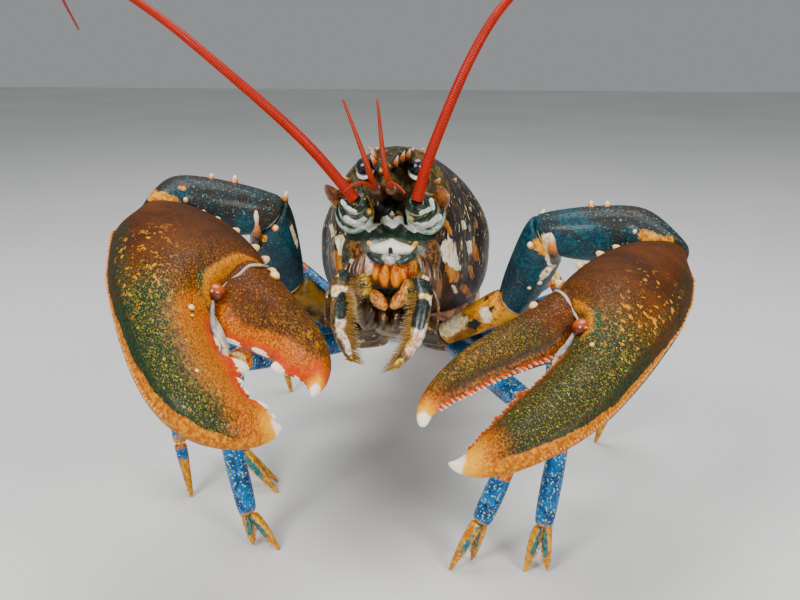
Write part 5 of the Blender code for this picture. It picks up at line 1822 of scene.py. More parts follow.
        rows.append(Bench.frame(self.stance.body(0.0, -31.5, 17.2), ahead + 0.25 * upward, 0.9, 3.4))
        spikes = Bench.stamp("carapace_spines", Bench.spine(14, 0.1), rows)
        Bench.hand_over(spikes, Slot.BODY, SpineFinish("carapace_spine", "2a1a0c", "e06a14", "ffe9c0",
                                                       -0.1, 0.8).material())


FACE_MARKS = (Mark("white", ((369, 229), (376, 224), (384, 219)), 3.0),
    Mark("white", ((386, 220), (392, 224), (398, 220)), 4.0),
    Mark("white", ((401, 219), (407, 225), (414, 230)), 3.0),
    Mark("white", ((346, 218), (353, 223), (364, 227)), 3.0),
    Mark("white", ((419, 228), (430, 224), (439, 217)), 3.0),
    Mark("white", ((342, 201), (346, 207), (355, 212)), 2.0),
    Mark("white", ((431, 200), (433, 208), (421, 213)), 2.0), Mark("gold", ((348, 228), (358, 231)), 1.2),
    Mark("gold", ((426, 231), (436, 227)), 1.2), Mark("gold", ((366, 218), (374, 217)), 1.4),
    Mark("gold", ((403, 214), (398, 212)), 1.4),
    Mark("dark", ((350, 235), (372, 236), (391, 232), (412, 236), (432, 235)), 5.0),
    Mark("brown", ((354, 242), (360, 266)), 6.0), Mark("brown", ((436, 246), (426, 272)), 8.0),
    Mark("pink", ((368, 259), (369, 270)), 5.0), Mark("pink", ((352, 262), (354, 272)), 3.0),
    Mark("gold", ((369, 243), (373, 247)), 2.0), Mark("gold", ((416, 243), (412, 248)), 2.0),
    Mark("jaw", ((378, 272), (408, 272)), 12.0))
FACE_KNOBS = (((368, 213), 2.0, 1.9), ((413.5, 218), 2.0, 1.9))


@dataclass
class Face:
    """The front of the head: a painted mask, the bar over the lip, the jaws, their lobes and brushes."""

    stance: Stance
    view: PhotoView
    plates: tuple[tuple[float, float, float, float], ...] = (
        (-0.3, 19.5, 1.6, -24.5), (-3.0, 19.2, 1.6, -24.2), (-6.0, 18.2, 1.0, -23.6),
        (-8.5, 16.2, -0.2, -22.6), (-10.8, 13.0, -2.2, -21.0), (-12.4, 9.4, -5.0, -18.6))
    offset: float = 2.0
    bar: tuple[tuple[float, float, float, float], ...] = (
        (0.0, -7.7, 3.1, 3.1), (1.6, -8.4, 2.7, 3.0), (4.0, -8.9, 2.4, 2.8), (6.4, -9.0, 2.0, 2.3),
        (8.2, -8.8, 1.3, 1.5), (9.1, -8.6, 0.4, 0.5))
    bridge: Triples = (
        (-0.3, 4.8, 8.0), (-4.0, 4.6, 7.9), (-7.0, 4.2, 7.4), (-9.4, 3.4, 6.2), (-10.6, 2.2, 4.4))
    jaw_balls: tuple[tuple[float, ...], ...] = ((2.1, -11.8, -18.8, 2.4, 4.9, 4.0),
        (5.2, -10.2, -17.6, 2.5, 3.6, 3.2))
    lobes: tuple[tuple[float, ...], ...] = (
        (-9.8, -13.0, -23.0, 3.2, 4.8, 3.0), (6.8, -13.4, -24.8, 3.0, 5.0, 3.0),
        (-7.2, -2.6, -33.4, 2.7, 6.0, 6.6), (7.2, -2.6, -33.4, 2.7, 6.0, 6.6),
        (-2.5, -3.6, -34.6, 2.6, 5.4, 6.6), (2.5, -3.6, -34.6, 2.6, 5.4, 6.6))
    inner_lobes: tuple[Triples, ...] = (
        ((-7.2, -11.6, -24.8), (-4.2, -13.4, -28.0), (-0.9, -12.6, -31.4)),
        ((7.6, -11.6, -23.6), (4.2, -13.6, -27.2), (0.9, -12.6, -31.0)))
    brush_count: int = 260
    brush_order: Triple = (1.0, 0.61, 0.37)
    palp: Triples = ((9.0, -10.6, -10.6), (7.2, -13.0, -11.9), (4.8, -14.6, -13.4), (2.6, -15.2, -14.6))

    def at(self, x: float, back: float, up: float) -> Array:
        """Return a place of the face, which is turned a little to the animal's left."""
        return self.stance.body(x + self.offset * min(-back / 8.0, 1.0), back, up)

    def paint(self, piece: Piece) -> None:
        """Paint the arcs, bands and patches of a piece of the face."""
        paint_marks(piece, self.view, FACE_MARKS, ("white", "gold", "dark", "brown", "pink", "jaw"))

    def finish(self, name: str, ground: str, cloud: str) -> Material:
        """Return a face finish over a ground of its own.

        Args:
            name: Its name.
            ground: Colour code of the ground.
            cloud: Colour code of the clouds in it.

        Returns:
            The material.
        """
        return ShellFinish(name=name, ground=ground, cloud=cloud, cloud_scale=150.0, rough=(0.28, 0.46),
            coat=0.14, specular=0.3, washes=(Wash("jaw", "8a3c02", 1.0, 300.0, "c47a0c"),
            Wash("brown", "3a1e08", 1.2, 360.0, "8a5a24", 0.2),
            Wash("pink", "b88a78", 1.4, 360.0, "e8d4c0", 0.2), Wash("dark", "081810", 0.9, 300.0, "14301c"),
            Wash("gold", "a87404", 1.0, 420.0, "e0b030"), Wash("white", "fbf6e8", 1.1, 380.0, "c8d0c4")),
            speckles=(Speckle("all", "a8a070", 560.0, 0.36),
            Speckle("all", "081410", 360.0, 0.4))).material()

    def ball(self, name: str, at: Sequence[float], size: Sequence[float]) -> Piece:
        """Model a rounded body of the face, sized along x, up and ahead.

        Args:
            name: Its name.
            at: Its middle, in body terms.
            size: Its half sizes.

        Returns:
            The body.
        """
        rings = []
        for j in range(1, 12):
            polar = math.pi * j / 12
            rings.append([self.at(at[0] + size[0] * math.sin(polar) * math.cos(a),
                                           at[1] - size[2] * math.cos(polar),
                                           at[2] + size[1] * math.sin(polar) * math.sin(a))
                          for a in circle(20)])
        return Bench.tube(name, rings, 1)

    def build(self) -> None:
        """Build the face."""
        block = [[self.at(half * c, back, (top + low) / 2.0 + (top - low) / 2.0 * s)
                  for c, s in oval(48, 2.5)]
                 for back, half, top, low in self.plates]
        plate = Bench.tube("face_plate", block, 3)
        self.paint(plate)
        Bench.hand_over(plate, Slot.BODY, self.finish("face_shell", "18241a", "4a4a2c"), ["head_front"])
        bridge = Bench.tube("face_bridge", np.array([
            [self.at(half * c, back, 0.5 + high * s)
             for c, s in oval(28, 2.2)]
            for back, half, high in self.bridge]), 3)
        self.paint(bridge)
        Bench.hand_over(bridge, Slot.BODY, self.finish("face_bridge", "04202a", "1c4240"))
        self.lips()
        self.nose_spine()
        self.palps()

    def lips(self) -> None:
        """Build the white bar over the lip, the lip, the jaws and the lobes beneath them."""
        rows = [(-x, up, high, deep) for x, up, high, deep in reversed(self.bar[1:])] + list(self.bar)
        bar = Bench.tube("lip_bar", np.array([
            [self.at(x, -12.2 + 0.022 * x * x - deep * math.cos(a), up + high * math.sin(a))
             for a in circle(20)] for x, up, high, deep in rows]), 2)
        x, back, up = self.stance.terms(Bench.points(bar))
        x = x - self.offset
        ends = smooth(np.abs(x), 7.4, 9.4)
        notch = np.exp(-(x / 0.9) ** 2) * (1.0 - smooth(up, -9.2, -7.8))
        Bench.paint(bar, "gold", 1.1 * ends)
        Bench.paint(bar, "dark", 1.2 * notch)
        Bench.hand_over(bar, Slot.MOUTH,
            ShellFinish(name="lip_bar", ground="fbf8ee", cloud="f0e6cc", cloud_scale=240.0,
            rough=(0.24, 0.4), coat=0.2, washes=(Wash("gold", "b88a08", 0.9, 420.0, "e8bc40"),
            Wash("dark", "0a0c08", 0.5, 420.0))).material())
        lip = self.ball("upper_lip", (0.0, -11.2, -12.9), (4.6, 2.7, 3.7))
        Bench.hand_over(lip, Slot.MOUTH, PlainFinish("lip_skin", "6c7068", "c8c4b0", 420.0, 0.34,
                                                     0.0002, 0.3).material())
        jaw = Bench.join("mandibles", [self.ball("jaw", (x * sign, back, up), size)
                                       for sign in (-1.0, 1.0) for x, back, up, *size in self.jaw_balls])
        Bench.hand_over(jaw, Slot.MOUTH, ShellFinish(
            name="jaw_shell", ground="942400", cloud="ec9400", cloud_scale=260.0, rough=(0.3, 0.46),
            coat=0.1, specular=0.25, stretch=(1.4, 1.0, 0.6)).material())
        lobes = [self.ball("lobe", row[:3], row[3:]) for row in self.lobes]
        for line in self.inner_lobes:
            rings, _ = whip_rings(curve_points([self.at(*place) for place in line], 8),
                                  lambda t: 0.6 + 2.1 * bulge(t, 0.04, 0.6), 16)
            lobes.append(Bench.tube("inner_lobe", rings, 1))
        lobe = Bench.join("jaw_lobes", lobes)
        Bench.fill(lobe, "all")
        places, normals = Bench.points(lobe), Bench.normals(lobe)
        x, back, up = self.stance.terms(places)
        middle = 1.0 - smooth(np.abs(x - self.offset), 5.4, 7.4)
        floor = smooth(back, -10.6, -9.4)
        Bench.paint(lobe, "peach", middle * (1.0 - floor))
        Bench.paint(lobe, "floor", floor)
        Bench.hand_over(lobe, Slot.MOUTH,
            ShellFinish(name="jaw_lobe_shell", ground="8a6400", cloud="d0a020", cloud_scale=260.0,
            coat=0.08, washes=(Wash("peach", "944404", 0.9, 300.0, "dc9434", 0.3),
            Wash("floor", "180e06", 0.9, 340.0, "5a3c14")),
            speckles=(Speckle("all", "f0d8a0", 640.0, 0.34),
            Speckle("all", "6a3c08", 560.0, 0.32))).material())
        ahead, upward = self.stance.forward, self.stance.upward
        front = np.nonzero((normals @ ahead > 0.1) & (middle < 0.5) & (floor < 0.5))[0]
        # The mesh's own order of corners differs from run to run, so they are sorted by place.
        front = front[np.argsort(places[front] @ self.brush_order)]
        pick = np.random.default_rng(SEED).choice(front, min(self.brush_count, len(front)), replace=False)
        outward = np.where(places[pick, 0:1] > self.at(0.0, -12.0, 0.0)[0], 1.0, -1.0)
        heading = outward * LEFTWARD + 0.6 * normals[pick] - 0.35 * upward
        Bristles().fringe("jaw_brush", places[pick], heading, 2.2, 0.12, "4a3a08", Slot.MOUTH)

    def nose_spine(self) -> None:
        """Build the spine between the feelers' roots."""
        rows = [Bench.frame(self.at(0.0, -9.4, 3.4),
                            self.stance.forward + 0.35 * self.stance.upward, 1.1, 5.0)]
        spine = Bench.stamp("face_spine", Bench.spine(16, 0.3), rows)
        Bench.hand_over(spine, Slot.MOUTH, SpineFinish("face_spine", "04202a", "8a7a20", "fbe890",
                                                       0.1, 0.7).material())

    def palps(self) -> None:
        """Build the palps that close over the jaws, and the striped plates beside them."""
        limbs = []
        for sign in (-1.0, 1.0):
            line = [self.at(x * sign, back, up) for x, back, up in self.palp]
            rings, _ = whip_rings(curve_points(line, 6), lambda t: 0.8 + 0.7 * bulge(t, 0.05), 14)
            limbs.append(Bench.tube("palp", rings, 1))
        palp = Bench.join("mandible_palps", limbs)
        Bench.fill(palp, "all")
        Bench.hand_over(palp, Slot.MOUTH, ShellFinish(
            name="palp_shell", ground="101c18", cloud="2c4038", cloud_scale=260.0, coat=0.2,
            speckles=(Speckle("all", "8a9a84", 620.0, 0.34),)).material())
        plates = []
        for sign in (-1.0, 1.0):
            for row in range(4):
                line = [self.at((10.0 + 1.7 * row) * sign, -10.6 + 1.9 * row, -10.6 - 0.8 * row),
                        self.at((12.0 + 1.8 * row) * sign, -11.4 + 2.1 * row, -16.5 - 0.6 * row),
                        self.at((12.2 + 1.9 * row) * sign, -12.2 + 2.4 * row, -23.5 - 1.2 * row)]
                rings, _ = whip_rings(curve_points(line, 8), lambda t: 0.9 + 1.1 * bulge(t, 0.03, 0.5), 14)
                plates.append(Bench.tube("mouth_plate", rings, 1))
        leaf = Bench.join("mouth_plates", plates)
        Bench.hand_over(leaf, Slot.MOUTH, ShellFinish(
            name="mouth_plate_shell", ground="2c1404", cloud="8a5a20", cloud_scale=420.0, coat=0.2,
            stretch=(1.5, 1.2, 0.22), rough=(0.28, 0.44)).material())


@dataclass
class Bristles:
    """Fringes of short bristles on mouth limbs, pincers and tail."""

    seed: int = SEED

    def fringe(self, name: str, roots: Array, heading: Array, length: float, spread: float, code: str,
               slot: Slot, sides: int = 4, stout: float = 1.0) -> Piece:
        """Grow a fringe of bristles.

        Args:
            name: Name of the piece.
            roots: Root places in millimetres.
            heading: Direction of each bristle, or one direction for all.
            length: Length of a bristle in millimetres.
            spread: How far bristles stray from their direction.
            code: Colour code.
            slot: Material slot of the record.
            sides: Sides of a bristle.
            stout: How stout the bristles are.

        Returns:
            The fringe as one mesh.
        """
        rng = np.random.default_rng(self.seed + len(roots))
        template = Bench.spine(sides, 0.0)
        frames = []
        for k, root in enumerate(roots):
            axis = unit((heading[k] if heading.ndim == 2 else heading) + rng.normal(0.0, spread, 3))
            frames.append(Bench.frame(root, axis, stout * rng.uniform(0.09, 0.15),
                length * rng.uniform(0.65, 1.15)))
        piece = Bench.stamp(name, template, frames)
        return Bench.hand_over(piece, slot,
            SpineFinish(f"{name}_hair", code, code, "fff2c8", 0.3, 1.1).material())


@dataclass
class Eyes:
    """The stalked eyes: a dark glossy globe in a pale-edged cup."""

    stance: Stance
    root: Triple = (9.0, -0.3, 20.6)
    tip: Triple = (11.2, -8.0, 24.2)
    cup: tuple[Pixel, ...] = ((0.0, 2.6), (1.2, 2.6), (2.2, 3.0), (3.0, 3.6), (3.5, 3.75), (3.9, 3.5),
        (4.1, 2.4))
    globe_at: float = 4.9
    globe_length: float = 3.35
    globe_radius: float = 3.65

    def build(self) -> None:
        """Build both eyes."""
        globe_skin = self.globe_finish()
        stalk_skin = ShellFinish(name="eye_stalk", ground="3a3320", cloud="8a7a4c", cloud_scale=260.0,
                                 washes=(Wash("rim", "fbf6ea", 0.3, 400.0),)).material()
        for side in Side:
            root, tip = (self.stance.body(x * side.sign, back, up) for x, back, up in (self.root, self.tip))
            axis = unit(tip - root)
            across, depth = across_of(axis, self.stance.upward)
            spokes = [across * math.cos(a) + depth * math.sin(a) for a in circle(24)]
            sag = [1.0 + 0.4 * max(-float(spoke @ self.stance.upward), 0.0) ** 1.5 for spoke in spokes]
            rings = [[root + axis * along + radius * (1.0 + (low - 1.0) * min(along / 3.0, 1.0)) * spoke
                      for spoke, low in zip(spokes, sag)] for along, radius in self.cup]
            stalk = Bench.tube(f"eye_stalk_{side.value}", rings, 1)
            reach = (Bench.points(stalk) - root) @ axis
            below = (Bench.points(stalk) - root) @ self.stance.upward - reach * float(axis
                @ self.stance.upward)
            Bench.paint(stalk, "rim", smooth(reach, 1.2, 2.2) * (1.0 - smooth(below, -1.4, -0.2)))
            Bench.hand_over(stalk, Slot.EYE, stalk_skin)
            middle = root + axis * self.globe_at
            rings = []
            for j in range(1, 16):
                polar = math.pi * j / 16
                rings.append([middle - axis * (self.globe_length * math.cos(polar)) + self.globe_radius
                    * math.sin(polar) * (across * math.cos(a) + depth * math.sin(a)) for a in circle(32)])
            globe = Bench.tube(f"eye_globe_{side.value}", rings, 1)
            Bench.hand_over(globe, Slot.EYE, globe_skin, [f"eye_{side.value}"])

    def globe_finish(self) -> Material:
        """Return the eye's facetted blue-black gloss.

        Returns:
            The material.
        """
        graph = Graph("eye_globe")
        glint = graph.step(graph.noise(300.0, 2.0), 0.4, 0.7)
        colour = graph.mix(glint, tint("05070c"), tint("10202c"))
        normal = graph.bump(graph.cells(4200.0), 0.00004)
        return graph.finish(colour, 0.1, normal, 0.8, 0.04)


@dataclass
class Antennules:
    """The short double feelers between the eyes."""

    stance: Stance
    outer: tuple[tuple[Side, Triples], ...] = (
        (Side.RIGHT, ((-2.8, -37.5, 15.0), (-5.2, -39.0, 22.0), (-13.6, -36.7, 41.8))),
        (Side.LEFT, ((3.0, -37.5, 15.0), (1.6, -39.0, 22.0), (-1.6, -35.5, 42.0))))
    inner: Triples = ((3.6, -38.6, 12.0), (5.6, -42.0, 12.0), (8.2, -44.6, 10.6), (10.4, -46.0, 8.4))
    stem: tuple[Profile, ...] = (((0.0, 2.6, 2.6), (0.1, 2.9, 2.9), (0.5, 2.8, 2.8), (0.86, 3.0, 3.0),
        (0.93, 2.4, 2.4), (1.0, 2.5, 2.5)),
        ((0.0, 2.5, 2.5), (0.1, 2.6, 2.6), (0.4, 2.2, 2.2), (0.47, 1.8, 1.8), (0.52, 2.3, 2.3),
        (0.9, 2.2, 2.2), (0.97, 2.3, 2.3), (1.0, 1.7, 1.7)))

    def build(self) -> None:
        """Build both antennules."""
        stem_skin = ShellFinish(name="antennule_stem", ground="2c1406", cloud="6e2c04", cloud_scale=200.0,
                                washes=(Wash("joint", "542a06", 0.4, 300.0),),
                                speckles=(Speckle("all", "4a1608", 340.0, 0.36),)).material()
        whip_skin = FeelerFinish("antennule_red", "a83000", "4a0c00", 1.5).material()
        for side, outer in self.outer:
            s = side.sign
            points = [self.stance.body(3.4 * s, -0.3, 12.2), self.stance.body(3.2 * s + 0.7, -14.0, 12.2),
                      self.stance.body(2.7 * s + 1.2, -34.0, 11.2)]
            stem = Bench.tube(f"antennule_stem_{side.value}", LimbShop.rings(
                points, self.stem,
                LEFTWARD, (self.stance.forward, None), 18, 2.0, 0.0), 1)
            _, back, _ = self.stance.terms(Bench.points(stem))
            joints = np.maximum(np.exp(-((back + 12.6) / 0.9) ** 2), np.exp(-((back + 23.6) / 0.8) ** 2))
            Bench.paint(stem, "joint", np.maximum(joints, np.exp(-((back + 33.4) / 0.9) ** 2)))
            Bench.fill(stem, "all")
            Bench.hand_over(stem, Slot.FEELER, stem_skin)
            root = points[1] + (points[2] - points[1]) * 0.85
            whips = []
            for line, radii in (([root, *(self.stance.body(*p) for p in outer)], (1.3, 0.4)),
                    ([root, *(self.stance.body(x * s, b, up) for x, b, up in self.inner)], (1.0, 0.35))):
                path = curve_points(line, 12)
                rings, steps = whip_rings(path, lambda t, r=radii: r[0] + (r[1] - r[0]) * t, 12)
                whips.append(Antennae.banded("antennule_whip", rings, steps))
            both = Bench.join(f"antennule_whips_{side.value}", whips)
            Bench.hand_over(both, Slot.FEELER, whip_skin, [f"antennule_{side.value}"])


@dataclass
class Antennae:
    """The long red feelers and the stout nested segments that carry them."""

    stance: Stance
    view: PhotoView
    paths: tuple[tuple[Side, Triples],
        ...] = ((Side.RIGHT, ((-28, -30, 153), (-58.6, -31.7, 180), (-81.6, -25, 196), (-112, -4, 210),
        (-138, 28, 214), (-158, 68, 207), (-170, 112, 190))),
        (Side.LEFT, ((17.9, -25.5, 148.7), (30.4, -20.9, 179.3), (42.7, -8.7, 199.4), (62, 16, 217),
        (86, 50, 226), (112, 90, 225), (134, 132, 212))))
    segments: tuple[Profile, ...] = (((0.0, 7.4, 7.6), (0.2, 7.8, 8.2), (0.7, 7.6, 8.2), (0.86, 7.2, 7.8),
        (0.92, 5.9, 6.3), (1.0, 5.9, 6.2)),
        ((0.0, 5.9, 6.2), (0.2, 6.4, 6.8), (0.75, 6.2, 6.6), (0.88, 5.7, 6.2), (0.93, 4.5, 4.7),
        (1.0, 4.4, 4.6)), ((0.0, 4.4, 4.6), (0.2, 4.8, 5.0), (0.7, 4.5, 4.7), (0.86, 4.0, 4.2),
        (0.92, 3.0, 3.0), (1.0, 2.6, 2.6)))
    scale: tuple[tuple[float, ...], ...] = (
        (-2.0, 16.6, 6.6, 4.0, 2.4), (-6.0, 18.2, 8.2, 4.2, 2.0), (-10.0, 19.4, 9.6, 3.9, 1.5),
        (-14.0, 20.0, 10.8, 3.4, 1.2), (-18.0, 20.3, 11.8, 2.8, 0.9), (-22.0, 20.6, 12.6, 1.8, 0.7),
        (-25.0, 20.9, 13.0, 0.5, 0.4))

    @staticmethod
    def banded(name: str, rings: Array, steps: Array) -> Piece:
        """Model a feeler and paint the distance from its root on it.

        Args:
            name: Name of the piece.
            rings: Its rings.
            steps: The distance of each ring from the root.

        Returns:
            The feeler, with the layer along in millimetres.
        """
        piece = Bench.tube(name, rings, 0)
        middles = rings.mean(1)
        places = Bench.points(piece)
        near = np.array([np.argmin(np.linalg.norm(middles - place, axis=1)) for place in places])
        Bench.paint(piece, "along", steps[near])
        return piece

    def base(self, side: Side, first: Array) -> None:
        """Build the nested segments at a feeler's root, its scale and its spines.

        Args:
            side: Which side it is on.
            first: Place where the free feeler begins.
        """
        s = side.sign
        body = self.stance.body
        turn = self.turn(side)
        points = [body(13.8 * s, -0.3, 4.2), body(14.0 * s + 0.5 * turn, -10.0, 5.0),
                  body(13.0 * s + 0.8 * turn, -19.0, 6.2), body(12.4 * s + turn, -27.0, 7.6)]
        end = LimbShop.joint_plane(points[2], points[3], first)
        rings = LimbShop.rings(points, self.segments, LEFTWARD, (self.stance.forward, end), 28, 2.0, 0.0)
        cup = Bench.tube(f"antenna_cup_{side.value}", rings, 2)
        _, back, up = self.stance.terms(Bench.points(cup))
        paint_marks(cup, self.view, FACE_MARKS, ("white",))
        low = 1.0 - smooth(up, 0.0, 7.0)
        rim = np.zeros(len(back))
        for edge in (-8.6, -17.6, -25.6):
            rim = np.maximum(rim, np.exp(-((back - edge) / (0.35 + 1.3 * low)) ** 2))
        Bench.paint(cup, "rim", rim * (0.42 + 0.5 * low))
        Bench.paint(cup, "gold", np.maximum(np.exp(-((back + 7.2) / 0.8) ** 2),
            np.exp(-((back + 16.2) / 0.8) ** 2)))
        Bench.hand_over(cup, Slot.BODY,
            ShellFinish(name=f"antenna_cup_{side.value}", ground="0a1a16", cloud="1c3424",
            cloud_scale=190.0, coat=0.14, specular=0.3,
            washes=(Wash("gold", "8a6008", 1.1, 420.0, "c89428"),
            Wash("rim", "c8d8c0", 0.9, 380.0, "6ca494"), Wash("white", "fbf6e8", 1.1, 380.0, "cfd8c8")),
            speckles=(Speckle("all", "a88a34", 560.0, 0.38),
            Speckle("all", "040c0a", 360.0, 0.4))).material(), [f"antenna_base_{side.value}"])
        knob = FACE_KNOBS[0 if side is Side.RIGHT else 1]
        gland = Bench.stamp(f"gland_knob_{side.value}", Bench.spine(16, 0.8), rooted(cup, self.view, [knob]))
        Bench.hand_over(gland, Slot.MOUTH,
            SpineFinish(f"gland_knob_{side.value}", "04140c", "0c2a14", "f0c030", 0.3, 1.05).material())
        scale = [[body((x + half * c) * s, back_at, up_at + thick * t)
                  for c, t in oval(16, 2.0)]
                 for back_at, x, up_at, half, thick in self.scale]
        plate = Bench.tube(f"antenna_scale_{side.value}", scale, 2)
        Bench.fill(plate, "all")
        Bench.hand_over(plate, Slot.BODY,
            ShellFinish(name=f"antenna_scale_{side.value}", ground="6a2c02", cloud="c87408",
            cloud_scale=180.0, stretch=(1.5, 0.5, 1.2),
            speckles=(Speckle("all", "4c2008", 360.0, 0.38),
            Speckle("all", "ffd98a", 520.0, 0.34))).material())

    def build(self) -> None:
        """Build both feelers with their roots."""
        skin = FeelerFinish().material()
        for side, line in self.paths:
            s = side.sign
            first = self.stance.place(line[0])
            self.base(side, first)
            root = self.stance.body(12.4 * s + self.turn(side), -27.0, 7.6)
            axis = unit(first - root)
            path = curve_points([root + axis * 0.6, *(self.stance.place(p) for p in line)], 70)
            rings, steps = whip_rings(path, self.swell, 14)
            feeler = self.banded(f"antenna_{side.value}_whip", rings, steps)
            Bench.hand_over(feeler, Slot.FEELER, skin, [f"antenna_{side.value}"])

    @staticmethod
    def turn(side: Side) -> float:
        """Return how far a feeler's root is swung towards the animal's left."""
        return 2.8 if side is Side.RIGHT else 0.0

    @staticmethod
    def swell(share: float) -> float:
        """Return a feeler's radius at a share of its length, thicker in its first joints."""
        return 0.45 + 1.6 * (1.0 - share) + 0.3 * math.exp(-share / 0.012)


@dataclass
class Maxillipeds:
    """The outer mouth limbs that hang bent before the mouth, with their fringes of bristles."""

    stance: Stance
    view: PhotoView
    lines: tuple[tuple[Side, Triples], ...] = (
        (Side.RIGHT, ((-9, 13.5, -38.5), (-15.4, -16.8, -20.2), (-16.0, -19.0, -26.5), (-14.5, -24.8, -40.4),
                      (-8.3, -31.2, -50.3))),
        (Side.LEFT, ((9, 13.5, -38.5), (13.9, -14.5, -20.6), (15.4, -16.5, -27.2), (13.4, -21.5, -42.5),
                     (6.3, -29.4, -52.7))))
    marks: tuple[Mark, ...] = (
        Mark("dark", ((344, 274), (356, 279)), 6.5), Mark("cream", ((336, 291), (350, 293)), 6.0),
        Mark("dark", ((343, 300), (341, 312)), 7.5), Mark("peach", ((341, 318), (342, 333)), 6.0),
        Mark("gold", ((352, 300), (354, 330)), 4.0), Mark("peach", ((346, 334), (350, 350)), 5.0),
        Mark("gold", ((354, 358), (362, 369)), 4.0), Mark("cream", ((339, 275), (348, 271)), 2.0),
        Mark("dark", ((416, 284), (430, 288)), 7.0), Mark("cream", ((425, 296), (436, 302)), 6.0),
        Mark("dark", ((423, 306), (418, 322)), 7.5), Mark("peach", ((421, 326), (417, 342)), 6.0),
        Mark("gold", ((409, 308), (408, 342)), 4.0), Mark("peach", ((414, 342), (410, 352)), 5.0),
        Mark("gold", ((400, 362), (392, 371)), 4.0), Mark("cream", ((434, 282), (424, 277)), 2.0))
    stretches: tuple[Profile, ...] = (((0.0, 3.4, 2.4), (0.03, 3.6, 2.6), (0.3, 4.2, 2.8), (0.7, 4.4, 2.8),
        (0.94, 3.6, 2.7), (1.0, 3.2, 2.6)),
        ((0.0, 3.2, 2.6), (0.5, 3.3, 2.8), (0.85, 3.3, 3.0), (1.0, 2.6, 2.5)),
        ((0.0, 2.6, 2.5), (0.12, 3.1, 2.9), (0.5, 3.3, 3.1), (0.86, 3.0, 2.8), (0.95, 2.2, 2.2),
        (1.0, 2.1, 2.1)), ((0.0, 2.1, 2.1), (0.1, 2.4, 2.4), (0.5, 2.2, 2.2), (0.8, 1.5, 1.6),
        (0.96, 0.7, 0.7), (1.0, 0.4, 0.4)))
    combs: tuple[tuple[int, int], ...] = ((2, 110), (3, 84), (1, 34))

    def build(self) -> None:
        """Build both limbs."""
        skin = ShellFinish(name="maxilliped_shell", ground="4a300c", cloud="7a5a1c", cloud_scale=220.0,
            rough=(0.26, 0.42), coat=0.2, washes=(Wash("peach", "c8906a", 1.5, 380.0, "f6ead6", 0.2),
            Wash("gold", "b88408", 1.3, 420.0, "e8c040", 0.2),
            Wash("cream", "fbf0cc", 1.2, 380.0, "e8a820", 0.14),
            Wash("dark", "060f0e", 1.2, 380.0, "1c2c24", 0.12)),
            speckles=(Speckle("all", "2c2c14", 520.0, 0.38),
            Speckle("all", "d8c48a", 560.0, 0.34))).material()
        fringe = Bristles()
        for side, line in self.lines:
            points = [self.stance.body(*place) for place in line]
            rings = LimbShop.rings(points, self.stretches, LEFTWARD, sides=20, gap=0.0)
            limb = Bench.tube(f"maxilliped_{side.value}_limb", rings, 2)
            paint_marks(limb, self.view, self.marks, ("dark", "cream", "peach", "gold"))
            Bench.hand_over(limb, Slot.MOUTH, skin, [f"maxilliped_{side.value}"])
            s = side.sign
            inward = np.array((-s, 0.0, 0.0))
            roots = []
            for bend, count in self.combs:
                first, last = points[bend:bend + 2]
                for k in range(count):
                    t = k / count
                    away = 2.4 - 1.7 * t if bend == 3 else 2.4
                    roots.append(first + (last - first) * t + inward * away
                                 + self.stance.forward * random.uniform(-1.6, 1.6))
            heading = inward - 0.3 * self.stance.upward
            fringe.fringe(f"maxilliped_{side.value}_fringe", np.array(roots), heading, 5.0, 0.1, "966804",
                          Slot.MOUTH, 4, 1.5)
            line_out = [points[1] + np.array((2.4 * s, 2.0, 0.0)), points[2] + np.array((4.6 * s, 1.0, -0.5)),
                        points[2] + np.array((5.2 * s, -0.5, -6.5)),
                        points[2] + np.array((4.6 * s, -2.0, -12.0))]
            rings, _ = whip_rings(curve_points(line_out, 10), lambda t: 0.95 - 0.65 * t, 10)
            palp = Bench.tube(f"maxilliped_{side.value}_palp", rings, 1)
            Bench.fill(palp, "all")
            Bench.hand_over(palp, Slot.MOUTH, ShellFinish(
                name=f"maxilliped_{side.value}_palp", ground="3a200a", cloud="7a4c18", cloud_scale=300.0,
                speckles=(Speckle("all", "fbf3df", 700.0, 0.4),)).material())


@dataclass(frozen=True)
class LegPlan:
    """One walking leg: its number, side, joint places and, where it has a pincer, its spread."""

    number: int
    side: Side
    joints: Triples
    spread: Triple | None = None


LEGS = (
    LegPlan(2, Side.RIGHT, ((-21, 43, 57), (-58, -20, 66), (-58, -34, 43), (-49, -41, 12), (-37, -44, 0)),
            (-10.0, 1.0, 0.0)),
    LegPlan(2, Side.LEFT, ((21, 43, 57), (55, -34, 58), (47, -44, 38), (38.5, -48, 18), (28, -51, 0)),
            (7.5, 7.0, 0.0)),
    LegPlan(3, Side.RIGHT, ((-26, 57, 56), (-72, 26, 64), (-83, 19, 39), (-65, 9, 15), (-49, 3, 0)),
            (-2.0, 9.0, 0.0)),
    LegPlan(3, Side.LEFT, ((26, 57, 56), (64, -12, 74), (66, -37, 47), (61, -45, 16), (55, -49, 0)),
            (8.0, 0.5, 0.0)),
    LegPlan(4, Side.RIGHT, ((-26, 73, 52), (-80, 32, 73), (-92, 11, 50), (-89.5, 0, 22), (-84, -5, 0))),
    LegPlan(4, Side.LEFT, ((26, 73, 52), (80, 60, 78), (96, 68, 52), (94, 71, 23), (88, 74, 0))),
    LegPlan(5, Side.RIGHT, ((-22, 88, 48), (-62, 110, 73), (-77, 122, 47), (-76, 126, 20), (-71, 124, 0))),
    LegPlan(5, Side.LEFT, ((22, 88, 48), (66, 113, 71), (80, 126, 45), (79, 131, 19), (75, 133, 0))))
LEG_WIDTHS = {2: 1.0, 3: 0.98, 4: 0.92, 5: 0.86}


